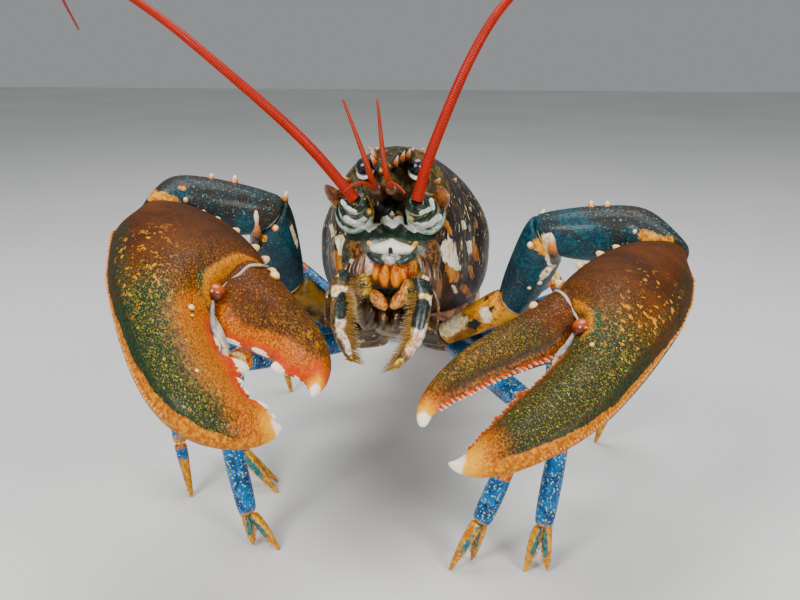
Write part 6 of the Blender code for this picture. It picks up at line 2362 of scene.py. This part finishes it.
@dataclass
class WalkingLegs:
    """The four pairs of walking legs: cobalt blue, with orange joints and golden pincers."""

    stance: Stance
    sides: int = 20
    upper: Profile = ((0.0, 3.9, 3.9), (0.02, 4.2, 4.2), (0.2, 4.4, 4.8), (0.5, 4.2, 5.1), (0.85, 4.1, 5.2),
                      (0.96, 4.0, 4.8), (1.0, 3.4, 4.0))
    shank: tuple[Profile, ...] = (
        ((0.0, 3.4, 4.0), (0.06, 3.8, 4.4), (0.5, 4.0, 4.5), (0.88, 3.9, 4.3), (1.0, 3.2, 3.5)),
        ((0.0, 3.2, 3.5), (0.08, 3.5, 3.8), (0.5, 3.9, 4.3), (0.9, 3.7, 3.8), (1.0, 3.1, 3.0)))
    fixed: tuple[Profile, ...] = (((0.0, 1.4, 1.4), (1.0, 2.1, 2.5)),
                                  ((0.0, 2.1, 2.5), (0.5, 1.9, 2.1), (0.88, 0.9, 0.9), (1.0, 0.3, 0.3)))
    finger: Profile = ((0.0, 1.6, 2.6), (0.15, 2.1, 2.6), (0.5, 2.0, 2.2), (0.9, 0.9, 0.9), (1.0, 0.6, 0.6))

    def paint(self, piece: Piece, joints: Sequence[tuple[Array, float]], blue: Array,
              streak: Array | None = None) -> None:
        """Paint a leg part.

        Args:
            piece: The part.
            joints: The place and reach of each joint near it.
            blue: How blue each vertex is.
            streak: How much of the teal streak each vertex takes, if the part has one.
        """
        places = Bench.points(piece)
        glow = np.zeros(len(places))
        pale = np.zeros(len(places))
        for place, reach in joints:
            away = np.linalg.norm(places - place, axis=1)
            glow = np.maximum(glow, 1.0 - smooth(away, 0.55 * reach, reach))
            pale = np.maximum(pale, 1.0 - smooth(away, 0.35 * reach, 0.62 * reach))
        Bench.paint(piece, "joint", glow * 0.95)
        Bench.paint(piece, "pale", pale * 0.8)
        Bench.paint(piece, "gold", 1.0 - blue)
        Bench.paint(piece, "dots", blue * (1.0 - 0.8 * glow))
        Bench.paint(piece, "dust", 1.0 - blue)
        Bench.paint(piece, "streak", 0.0 * blue if streak is None else streak)

    def build(self) -> None:
        """Build all the legs."""
        skin = ShellFinish(name="leg_shell", ground="003468", cloud="0068a4", cloud_scale=200.0,
            rough=(0.26, 0.42), coat=0.15, pit_depth=0.00008, specular=0.25, speckles_last=True,
            washes=(Wash("gold", "b06a00", 1.0, 420.0, "dc9c04", 0.2),
            Wash("joint", "943800", 1.0, 420.0, "d07404"), Wash("pale", "d89a20", 1.0, 420.0, "f4dc98"),
            Wash("streak", "04505c", 1.3, 500.0, "2c7a70", 0.2)),
            speckles=(Speckle("dots", "b8d08a", 1050.0, 0.4, 0.04),
            Speckle("dots", "021a3c", 330.0, 0.36, 0.05),
            Speckle("dust", "f0d68a", 700.0, 0.34, 0.05))).material()
        fringe = Bristles()
        for plan in LEGS:
            self.leg(plan, skin, fringe)

    def streak(self, piece: Piece, start: Array, end: Array, half: float) -> Array:
        """Return how much of the teal streak down a pincer's front each vertex takes.

        Args:
            piece: The piece.
            start: Root of the finger.
            end: Its tip.
            half: Half width of the streak.

        Returns:
            A share from 0 to 1 for each vertex.
        """
        places, normals = Bench.points(piece), Bench.normals(piece)
        axis = unit(end - start)
        front = unit(np.array((0.0, -1.0, 0.35)) + 0.35 * axis[2] * axis)
        away = places - start
        off = np.linalg.norm(np.cross(away - np.outer(away @ axis, axis), front), axis=1)
        share = LimbShop.along(places, start, end)
        reach = smooth(share, -0.9, -0.4) * (1.0 - smooth(share, 0.45, 0.8))
        return 0.9 * (1.0 - smooth(off, half, 1.8 * half)) * smooth(normals @ front, 0.2, 0.6) * reach

    def leg(self, plan: LegPlan, skin: Material, fringe: Bristles) -> None:
        """Build one leg.

        Args:
            plan: The leg's plan.
            skin: The material.
            fringe: What grows the bristles.
        """
        hip, knee, wrist, ankle, foot = (self.stance.place(p) for p in plan.joints)
        w = LEG_WIDTHS[plan.number]
        tag = f"leg{plan.number}_%s_{plan.side.value}"
        plane = unit(np.cross(knee - hip, wrist - knee))
        knee_plane = LimbShop.joint_plane(hip, knee, wrist)
        ankle_plane = LimbShop.joint_plane(wrist, ankle, foot)
        upper = Bench.tube("shell_" + tag % "upper",
            LimbShop.rings([hip, knee], [LimbShop.scaled(self.upper, w)], plane,
            (unit(knee - hip), knee_plane), self.sides), 2)
        self.paint(upper, ((knee, 9.0), (hip, 8.0)), np.ones(len(upper.data.vertices)))
        Bench.hand_over(upper, Slot.LEG, skin, [tag % "upper"])
        shank = Bench.tube("shell_" + tag % "shank",
            LimbShop.rings([knee, wrist, ankle], [LimbShop.scaled(profile, w) for profile in self.shank],
            plane, (knee_plane, ankle_plane), self.sides), 2)
        share = LimbShop.along(Bench.points(shank), wrist, ankle)
        pincer = plan.spread is not None
        blue = 1.0 - smooth(share, 0.88, 1.02) if pincer else 1.0 - 0.8 * smooth(share, 0.8, 1.0)
        self.paint(shank, ((knee, 8.0), (wrist, 7.0), (ankle, 3.6)), blue)
        pieces = [shank]
        if pincer:
            spread = np.array(plan.spread)
            reach = unit(foot - ankle)
            apart = unit(spread - spread @ reach * reach)
            root = ankle - unit(ankle - wrist) * 4.0 + apart * 1.6
            fixed = Bench.tube("fixed_" + tag % "shank", LimbShop.rings(
                [root, ankle + apart * 1.9 + reach * 1.5, foot + spread + np.array((0.0, 0.0, 0.7))],
                self.fixed, apart, sides=14, gap=0.0), 1)
            self.paint(fixed, (), np.zeros(len(fixed.data.vertices)),
                self.streak(fixed, ankle, foot + spread, 1.0))
            pieces.append(fixed)
            aside = unit(apart - apart @ ankle_plane * ankle_plane) * 1.7
            finger = Bench.tube("shell_" + tag % "finger",
                LimbShop.rings([ankle - aside, foot], [self.finger], apart,
                (ankle_plane, np.array((0.0, 0.0, -1.0))), 14, gap=0.0), 1)
            self.paint(finger, (), np.zeros(len(finger.data.vertices)), self.streak(finger, ankle, foot, 1.0))
        else:
            finger = Bench.tube("shell_" + tag % "finger", LimbShop.rings(
                [ankle, foot], [((0.0, 2.8 * w, 2.9 * w), (0.1, 2.9 * w, 3.0 * w), (0.5, 2.0 * w, 2.2 * w),
                                 (0.92, 1.0, 1.1), (1.0, 0.8, 0.8))],
                plane, (ankle_plane, np.array((0.0, 0.0, -1.0))), 14), 1)
            share = LimbShop.along(Bench.points(finger), ankle, foot)
            self.paint(finger, ((ankle, 4.5),), 1.0 - smooth(share, 0.1, 0.5))
        joined = Bench.join("shell_" + tag % "shank", pieces)
        Bench.hand_over(joined, Slot.LEG, skin, [tag % "shank"])
        Bench.hand_over(finger, Slot.LEG, skin, [tag % "finger"])
        self.tufts(plan, fringe, ankle, foot, wrist)

    def tufts(self, plan: LegPlan, fringe: Bristles, ankle: Array, foot: Array, wrist: Array) -> None:
        """Set golden bristles on the last parts of a leg.

        Args:
            plan: The leg's plan.
            fringe: What grows the bristles.
            ankle: Place of the last joint.
            foot: Tip of the leg.
            wrist: Place of the joint before the last.
        """
        roots, headings = [], []
        lines = [(wrist + (ankle - wrist) * 0.35, ankle, 3.4, 2.8, 90), (ankle, foot, 2.2, 0.9, 110)]
        if plan.spread is not None:
            lines.append((ankle, foot + np.array(plan.spread), 2.2, 0.9, 110))
        for start, end, first, last, count in lines:
            axis = unit(end - start)
            side, depth = across_of(axis, np.array((0.3, -1.0, 0.2)))
            for _ in range(count):
                t = random.uniform(0.0, 0.9)
                turn = random.uniform(0.0, math.tau)
                out = side * math.cos(turn) + depth * math.sin(turn)
                roots.append(start + (end - start) * t + out * (first + (last - first) * t) * 0.9)
                headings.append(out + 1.1 * axis)
        places = np.array(roots)
        keep = places[:, 2] > 2.6
        fringe.fringe(f"leg{plan.number}_bristles_{plan.side.value}", places[keep], np.array(headings)[keep],
                      1.9 if plan.spread is not None else 1.4, 0.15, "b8801c", Slot.LEG)


@dataclass
class Thorax:
    """The breast plate with the first joints of the limbs, under the carapace."""

    stance: Stance
    floor: float = -34.3
    leg_hip: float = 4.9
    arm_hip: float = 5.3
    stations: Triples = (
        (16.0, 8.0, 3.6), (30.0, 10.0, 4.6), (45.0, 11.4, 4.8), (60.0, 12.5, 4.8), (75.0, 13.4, 4.8),
        (90.0, 14.0, 4.8), (112.0, 12.0, 3.8))

    def stub(self, hip: Array, knee: Array, radius: float, name: str) -> Piece:
        """Model the first joint of a limb.

        Args:
            hip: Where the joint ends.
            knee: The next joint, which it points at.
            radius: Its radius.
            name: Its name.

        Returns:
            The joint.
        """
        axis = unit(knee - hip)
        root = np.array((self.stance.middle + (hip[0] - self.stance.middle) * 0.4, hip[1] - 7.0 * axis[1],
                         hip[2] + 0.8))
        return Bench.tube(name, LimbShop.rings(
            [root, hip], [((0.0, radius, radius), (0.35, 1.02 * radius, 1.02 * radius), (0.7, radius, radius),
                           (0.92, 0.92 * radius, 0.92 * radius), (1.0, 0.8 * radius, 0.8 * radius))],
            SKYWARD, (None, axis), 18), 1)

    def build(self) -> None:
        """Build the breast plate and the first joints."""
        rings = [[self.stance.body(half * c, back, self.floor - thick + thick * s)
                  for c, s in oval(24, 2.8)]
                 for back, half, thick in self.stations]
        pieces = [Bench.tube("breast", rings, 2)]
        limbs = [(plan.joints, self.leg_hip * LEG_WIDTHS[plan.number]) for plan in LEGS]
        limbs += [(arm.joints, self.arm_hip) for arm in (RIGHT_ARM, LEFT_ARM)]
        for joints, radius in limbs:
            hip, knee = (self.stance.place(joint) for joint in joints[:2])
            pieces.append(self.stub(hip, knee, radius, "hip"))
        joined = Bench.join("breast_and_hips", pieces)
        Bench.fill(joined, "all")
        Bench.hand_over(joined, Slot.BODY,
            ShellFinish(name="breast_shell", ground="3a2c1c", cloud="8a6a3a", cloud_scale=90.0,
            speckles=(Speckle("all", "d9b26a", 240.0, 0.38),
            Speckle("all", "16202a", 170.0, 0.4))).material(), ["thorax"])


@dataclass
class Abdomen:
    """Six arched somites with pointed flaps at their sides, and the swimmerets under them."""

    stance: Stance
    root: tuple[float, float] = (121.0, 2.0)
    length: float = 21.0
    slopes: tuple[float, ...] = (20.0, 30.0, 38.0, 43.0, 40.0, 27.0)
    sizes: tuple[tuple[float, float], ...] = (
        (28.5, 25.0), (29.0, 26.0), (28.6, 25.0), (27.4, 23.0), (25.6, 20.5), (23.6, 17.0))
    paired: tuple[int, ...] = (1, 2, 3, 4)
    swell: tuple[Pixel, ...] = (
        (0.0, 0.90), (0.03, 0.935), (0.12, 0.95), (0.28, 0.965), (0.36, 0.955), (0.44, 0.985), (0.7, 0.995),
        (0.9, 1.0), (0.97, 0.985), (1.0, 0.95))
    last_fall: float = 0.62
    last_taper: float = 0.08
    flap: tuple[tuple[float, float, float, float, float], ...] = (
        (-0.1, 0.93, 8.2, 1.5, 10.5), (0.15, 0.96, 8.0, 1.5, 10.5), (0.35, 0.965, 7.5, 1.4, 10.5),
        (0.5, 0.955, 6.4, 1.3, 11.0), (0.62, 0.94, 5.0, 1.1, 11.8), (0.73, 0.92, 3.2, 0.9, 12.8),
        (0.82, 0.9, 0.8, 0.5, 14.0))
    vane_pair: Triples = ((0.42, 0.25, 15.0), (0.62, -0.15, 13.0))
    vane: tuple[Pixel, ...] = ((0.0, 1.1), (0.2, 1.3), (0.35, 1.9), (0.5, 3.0), (0.7, 3.4), (0.85, 2.8),
        (1.0, 1.0))
    vane_bristles: int = 60

    def frames(self) -> list[tuple[Array, Array, Array]]:
        """Return the start, direction and up vector of each somite, and of the tail's root.

        Returns:
            Seven rows of place, direction along and direction up.
        """
        place = self.stance.body(0.0, *self.root)
        found = []
        for slope in self.slopes:
            angle = math.radians(slope)
            along = np.array((0.0, math.cos(angle), -math.sin(angle)))
            upward = np.array((0.0, math.sin(angle), math.cos(angle)))
            found.append((place, along, upward))
            place = place + along * self.length
        return [*found, (place, *found[-1][1:])]

    def tergite(self, k: int) -> Piece:
        """Model one somite with its two flaps.

        Args:
            k: Number of the somite, from 0.

        Returns:
            The somite.
        """
        frames = self.frames()
        place, along, upward = frames[k]
        half, top = self.sizes[k]
        cuts = (unit(frames[max(k - 1, 0)][1] + along), unit(along + frames[min(k + 1, 5)][1]))
        rings = []
        for share, grow in self.swell:
            ring = []
            fall = float(smooth(np.array(share), 0.3, 1.0)) if k == 5 else 0.0
            for i in range(40):
                c, s = super_pair(math.tau * i / 40, 2.1 if i < 20 else 3.0)
                lift = upward * ((top * (1.0 - self.last_fall * fall) * s if s > 0.0 else 0.42 * top * s)
                    * grow)
                off = np.array((half * c * grow * (1.0 - self.last_taper * fall), 0.0, 0.0)) + lift
                low = -off @ cuts[0] / (along @ cuts[0]) + 0.15
                high = self.length - off @ cuts[1] / (along @ cuts[1]) - 0.15
                ring.append(place + off + along * (low * (1.0 - share) + high * share))
            rings.append(ring)
        pieces = [Bench.tube(f"somite_{k + 1}", rings, 2)]
        for s in (-1.0, 1.0):
            flap = [[place + along * shift + upward * (-down * top) + np.array((s * half * x, 0.0, 0.0))
                     + along * (reach * c) + np.array((thick * t, 0.0, 0.0))
                     for c, t in oval(14, 2.0)]
                    for down, x, reach, thick, shift in self.flap]
            pieces.append(Bench.tube("flap", flap, 2))
        return Bench.join(f"abdomen_{k + 1}_shell", pieces)

    def vanes(self) -> None:
        """Build the leaf-shaped swimmerets."""
        leaves, roots, headings = [], [], []
        for k in self.paired:
            place, along, upward = self.frames()[k]
            half, top = self.sizes[k]
            for s in (-1.0, 1.0):
                for x, turn, length in self.vane_pair:
                    hang = unit(-upward * 0.75 + along * 0.65)
                    across = unit(np.array((s, 0.0, 0.0)) + along * turn)
                    across = unit(across - across @ hang * hang)
                    face = np.cross(hang, across)
                    root = place + along * 7.0 + upward * (2.0 - 0.42
                        * top) + np.array((s * half * x, 0.0, 0.0))
                    leaves.append(Bench.tube("vane", np.array(
                        [[root + hang * (length * share) + across * (wide * c) + face * (0.5 * t)
                          for c, t in oval(12, 2.0)]
                         for share, wide in self.vane]), 1))
                    for _ in range(self.vane_bristles):
                        t = random.uniform(0.45, 1.0)
                        wide = float(np.interp(t, *zip(*self.vane)))
                        edge = random.choice((-1.0, 1.0)) * (1.0 if t < 0.9 else random.uniform(0.0, 1.0))
                        roots.append(root + hang * (length * t) + across * (wide * edge * 0.9))
                        headings.append(across * edge * 0.8 + hang)
        vane = Bench.join("swimmerets", leaves)
        Bench.hand_over(vane, Slot.BODY, ShellFinish(
            name="swimmeret_shell", ground="8a3a18", cloud="c98a52", cloud_scale=180.0).material())
        Bristles().fringe("swimmeret_fringe", np.array(roots), np.array(headings), 1.6, 0.1, "b86a3a",
            Slot.BODY)

    def build(self) -> None:
        """Build the somites and the swimmerets."""
        skin = ShellFinish(name="abdomen_shell", ground="15110e", cloud="1c2c3a", cloud_scale=80.0,
            rough=(0.2, 0.36), coat=0.4, pit_scale=620.0,
            washes=(Wash("edge", "a8601f", 0.8, 200.0, "d99a3c"),
            Wash("belly", "8a4a22", 0.8, 120.0, "c08a5a"),
            Wash("spot", "d8c090", 1.5, 380.0, "f0e2c0", 0.12)),
            speckles=(Speckle("mottle", "9a7a3e", 100.0, 0.42, 0.03),
            Speckle("mottle", "e0cf9a", 240.0, 0.32, 0.03),
            Speckle("mottle", "5b86a0", 400.0, 0.32, 0.03))).material()
        for k in range(6):
            piece = self.tergite(k)
            place, along, upward = self.frames()[k]
            away = Bench.points(piece) - place
            reach, lift = away @ along, away @ upward
            top = self.sizes[k][1]
            Bench.paint(piece, "edge", np.maximum(smooth(-lift, 0.45 * top, 0.75 * top) * 0.9,
                                                  smooth(reach / self.length, 0.93, 1.02) * 0.45))
            Bench.paint(piece, "belly", smooth(-lift, 0.3 * top, 0.4 * top)
                        * (1.0 - smooth(np.abs(away[:, 0]), 0.8 * self.sizes[k][0], 0.88 * self.sizes[k][0])))
            spot = np.hypot(reach - 6.0, lift + 2.0) + 50.0 * (np.abs(away[:, 0]) < 0.6 * self.sizes[k][0])
            Bench.paint(piece, "spot", 1.0 - smooth(spot, 0.8, 3.4))
            Bench.fill(piece, "mottle")
            Bench.hand_over(piece, Slot.BODY, skin, [f"abdomen_{k + 1}"])
        self.vanes()


@dataclass
class TailFan:
    """The telson and four tail plates, ribbed and fringed, resting on the floor."""

    stance: Stance
    abdomen: Abdomen
    plates: tuple[tuple[str, float, float, float, float, float, float], ...] = (
        ("telson", 0.0, 0.0, 0.0, 34.0, 9.0, 13.2), ("uropod_inner", 12.0, -0.5, 31.0, 36.0, 3.6, 10.6),
        ("uropod_outer", 18.6, -2.5, 64.5, 37.0, 3.4, 10.4))
    stack: tuple[tuple[str, float], ...] = (("telson", 1.2), ("uropod_inner", 0.6), ("uropod_outer", 0.0))
    shares: tuple[float, ...] = (0.0, 0.05, 0.1, 0.15, 0.25, 0.35, 0.45, 0.55, 0.65, 0.75, 0.85, 0.92,
        0.965, 1.0)
    side_bristles: int = 22
    end_bristles: int = 180

    def section(self) -> list[Pixel]:
        """Return a plate's half section, domed above and flat below.

        Returns:
            Points round the section, on a unit scale.
        """
        upper = [(math.cos(math.pi * k / 18), -0.1 + 1.1 * math.sin(math.pi * k / 18) ** 0.8)
            for k in range(19)]
        lower = [(x, -1.0) for x in (-0.9, -0.6, -0.3, 0.0, 0.3, 0.6, 0.9)]
        return upper + lower

    def pose(self, row: Sequence[float], s: float, root: Array) -> tuple[Array, Array, Array]:
        """Work out where a plate lies.

        Args:
            row: Its root's place across and back, its heading and its sizes.
            s: Which side it is on, as a sign.
            root: Place where the abdomen ends.

        Returns:
            Its start on the floor, its heading and the direction across it.
        """
        turn = math.radians(row[2]) * s
        return (np.array((self.stance.middle + row[0] * s, root[1] + 1.6 + row[1], 0.0)),
            np.array((math.sin(turn), math.cos(turn), 0.0)),
            np.array((math.cos(turn), -math.sin(turn), 0.0)))

    def plate(self, name: str, row: tuple[float, ...], s: float, root: Array, upward: Array, along: Array
              ) -> tuple[Piece, Array, Array]:
        """Model one plate.

        Args:
            name: Name of the piece.
            row: Its root's place across and back, heading, length, and half widths at root and middle.
            s: Which side it is on, as a sign.
            root: Place where the abdomen ends.
            upward: The last somite's up vector.
            along: The last somite's direction.

        Returns:
            The plate, and the roots and headings of its fringe.
        """
        x, _, _, length, root_half, full_half = row
        start, heading, across = self.pose(row, s, root)
        face = root + along * 0.3
        above = next(high for word, high in self.stack if name.startswith(word))
        section = self.section()
        rings, roots, headings = [], [], []
        for share in self.shares:
            swell = math.sin(min(share, 0.7) / 0.7 * math.pi / 2.0) ** 1.5
            close = 1.0 if share < 0.9 else math.sqrt(max(0.0, 1.0 - ((share - 0.9) / 0.115) ** 2))
            half = (root_half + (full_half - root_half) * swell) * close
            thick = 1.9 - 1.1 * share
            lift = max(0.0, (root[2] - 3.5) * (1.0 - share / 0.72)) + above
            middle = start + heading * (length * share) + np.array((0.0, 0.0, lift + thick))
            flat = np.array([middle + across * (half * c) + np.array((0.0, 0.0, thick * t))
                for c, t in section])
            base = np.array([face + np.array((x * s + half * c, 0.0, 0.0)) + upward * (thick * t - 2.5)
                             for c, t in section])
            blend = max(0.0, 1.0 - share / 0.15)
            rings.append(flat * (1.0 - blend) + base * blend)
            if share > 0.4:
                for side in (-1.0, 1.0):
                    for j in range(self.side_bristles):
                        t = share + 0.09 * j / self.side_bristles
                        if t <= 1.0:
                            roots.append(start + heading * (length * t) + across * (half * side * 0.97)
                                         + np.array((0.0, 0.0, lift + 0.8)))
                            headings.append(heading + across * side * 0.35)
        for j in range(self.end_bristles):
            edge = -0.95 + 1.9 * j / (self.end_bristles - 1)
            out = length * (0.9 + 0.1 * math.sqrt(max(0.0, 1.0 - edge * edge)))
            roots.append(start + heading * (out - 0.6) + across * (full_half * edge)
                         + np.array((0.0, 0.0, above + 0.8)))
            headings.append(heading + across * edge * 0.3)
        piece = Bench.tube(name, rings, 2)
        return piece, np.array(roots), np.array(headings)

    def build(self) -> None:
        """Build the plates and their fringes."""
        root, along, upward = self.abdomen.frames()[-1]
        skin = ShellFinish(name="tail_shell", ground="171210", cloud="1f2f3c", cloud_scale=110.0,
            rough=(0.2, 0.36), coat=0.4, washes=(Wash("edge", "b8641c", 0.7, 260.0, "e0a040"),
            Wash("spot", "e8dcb8", 0.4, 240.0)),
            speckles=(Speckle("mottle", "a8853f", 150.0, 0.42, 0.03),
            Speckle("mottle", "e0cf9a", 300.0, 0.33, 0.03))).material()
        fringe = Bristles()
        for name, *row in self.plates:
            for side in (Side if name != "telson" else (None,)):
                s = side.sign if side else 1.0
                node = name if side is None else f"{name}_{side.value}"
                piece, roots, headings = self.plate(f"{node}_shell", tuple(row), s, root, upward, along)
                places = Bench.points(piece)
                start, heading, across = self.pose(row, s, root)
                share = (places - start) @ heading / row[3]
                wide = (places - start) @ across
                ridge = 0.35 * np.exp(-(np.abs(wide) / 0.8) ** 2) + 0.22 * np.exp(-((np.abs(wide) - 4.0)
                    / 0.7) ** 2)
                normals = Bench.normals(piece)
                lifted = ridge * smooth(normals[:, 2], 0.2, 0.7) * smooth(share, 0.1, 0.3)
                Bench.put(piece, places + np.outer(lifted, SKYWARD))
                Bench.paint(piece, "edge", smooth(share, 0.86, 0.99))
                Bench.paint(piece, "spot", 1.0 - smooth(np.hypot((share - 0.35) * row[3], np.abs(wide)
                    - 2.6), 0.9, 1.8))
                Bench.paint(piece, "mottle", 1.0 - 0.6 * smooth(share, 0.8, 0.95))
                Bench.hand_over(piece, Slot.BODY, skin, [node])
                keep = roots[:, 2] > 0.3
                fringe.fringe(f"{node}_fringe", roots[keep], headings[keep], 2.4, 0.06, "b0682a", Slot.BODY)


@dataclass
class Studio:
    """Floor, world and soft lights that follow the photo's flash from both sides."""

    stance: Stance
    span: float = 6000.0
    sky: tuple[float, float, float, float] = (0.86, 0.88, 0.9, 1.0)
    sky_strength: float = 0.34
    lamps: tuple[tuple[str, Triple, float, float],
        ...] = (("key_light", (-420.0, -820.0, 760.0), 420.0, 10.0),
        ("fill_light", (620.0, -700.0, 560.0), 420.0, 7.0), ("top_light", (0.0, 200.0, 1000.0), 700.0, 7.0))

    def floor(self) -> None:
        """Build the pale floor."""
        Bench.clear()
        bpy.ops.mesh.primitive_plane_add(size=self.span * MM)
        floor = bpy.context.active_object
        floor.name = "studio_floor"
        graph = Graph("studio_floor")
        tone = graph.step(graph.noise(3.0, 2.0), 0.3, 0.7)
        floor.data.materials.append(graph.finish(graph.mix(tone, tint("dcdddb"), tint("e4e4e2")), 0.75))
        floor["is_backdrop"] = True

    def world(self) -> None:
        """Set the pale surroundings."""
        world = bpy.data.worlds.new("studio_world")
        world.use_nodes = True
        back = world.node_tree.nodes["Background"]
        back.inputs["Color"].default_value = self.sky
        back.inputs["Strength"].default_value = self.sky_strength
        bpy.context.scene.world = world

    def lamp(self, name: str, at: Triple, size: float, power: float,
             aim: Triple = (0.0, 0.0, 100.0)) -> None:
        """Hang one soft light, placed and aimed in millimetres from the middle plane.

        Args:
            name: Name of the lamp.
            at: Its place.
            size: Its diameter.
            power: Its power in watts.
            aim: Place that it points at.
        """
        Bench.clear()
        bpy.ops.object.light_add(type="AREA")
        lamp = bpy.context.active_object
        lamp.name = name
        lamp.data.shape = "DISK"
        lamp.data.size = size * MM
        lamp.data.energy = power
        start, end = self.stance.place(at), self.stance.place(aim)
        back = unit(start - end)
        right = unit(np.cross((0.0, 0.0, 1.0), back))
        turn = Matrix((right, np.cross(back, right), back)).transposed().to_4x4()
        turn.translation = start * MM
        lamp.matrix_world = turn
        lamp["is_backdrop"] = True

    def build(self) -> None:
        """Set up the studio."""
        self.floor()
        self.world()
        for row in self.lamps:
            self.lamp(*row)


def write_size(moment: str, sizes: dict[str, list[list[float]]]) -> None:
    """Args:
        moment: Name of the moment.
        sizes: The bounds kept so far, which this adds to.
    """
    low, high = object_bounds()
    sizes[moment] = [list(low), list(high)]


def main() -> None:
    """Build the whole model."""
    logging.basicConfig(level=logging.INFO, format="%(name)s: %(message)s")
    random.seed(SEED)
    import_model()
    sizes: dict[str, list[list[float]]] = {}
    write_size("solids", sizes)
    stance = Stance.from_frame()
    view = PhotoView(stance)
    abdomen = Abdomen(stance)
    parts = (Carapace(stance, view), Thorax(stance), Face(stance, view), Eyes(stance), Antennules(stance),
             Antennae(stance, view), Maxillipeds(stance, view), Claw(CRUSHER, stance), Claw(CUTTER, stance),
             ClawArm(RIGHT_ARM, CRUSHER, stance, view), ClawArm(LEFT_ARM, CUTTER, stance, view),
             WalkingLegs(stance), abdomen, TailFan(stance, abdomen), Studio(stance))
    for part in parts:
        LOG.info("building %s", type(part).__name__)
        part.build()
    view.make()
    write_size("model", sizes)


if __name__ == "__main__":
    main()
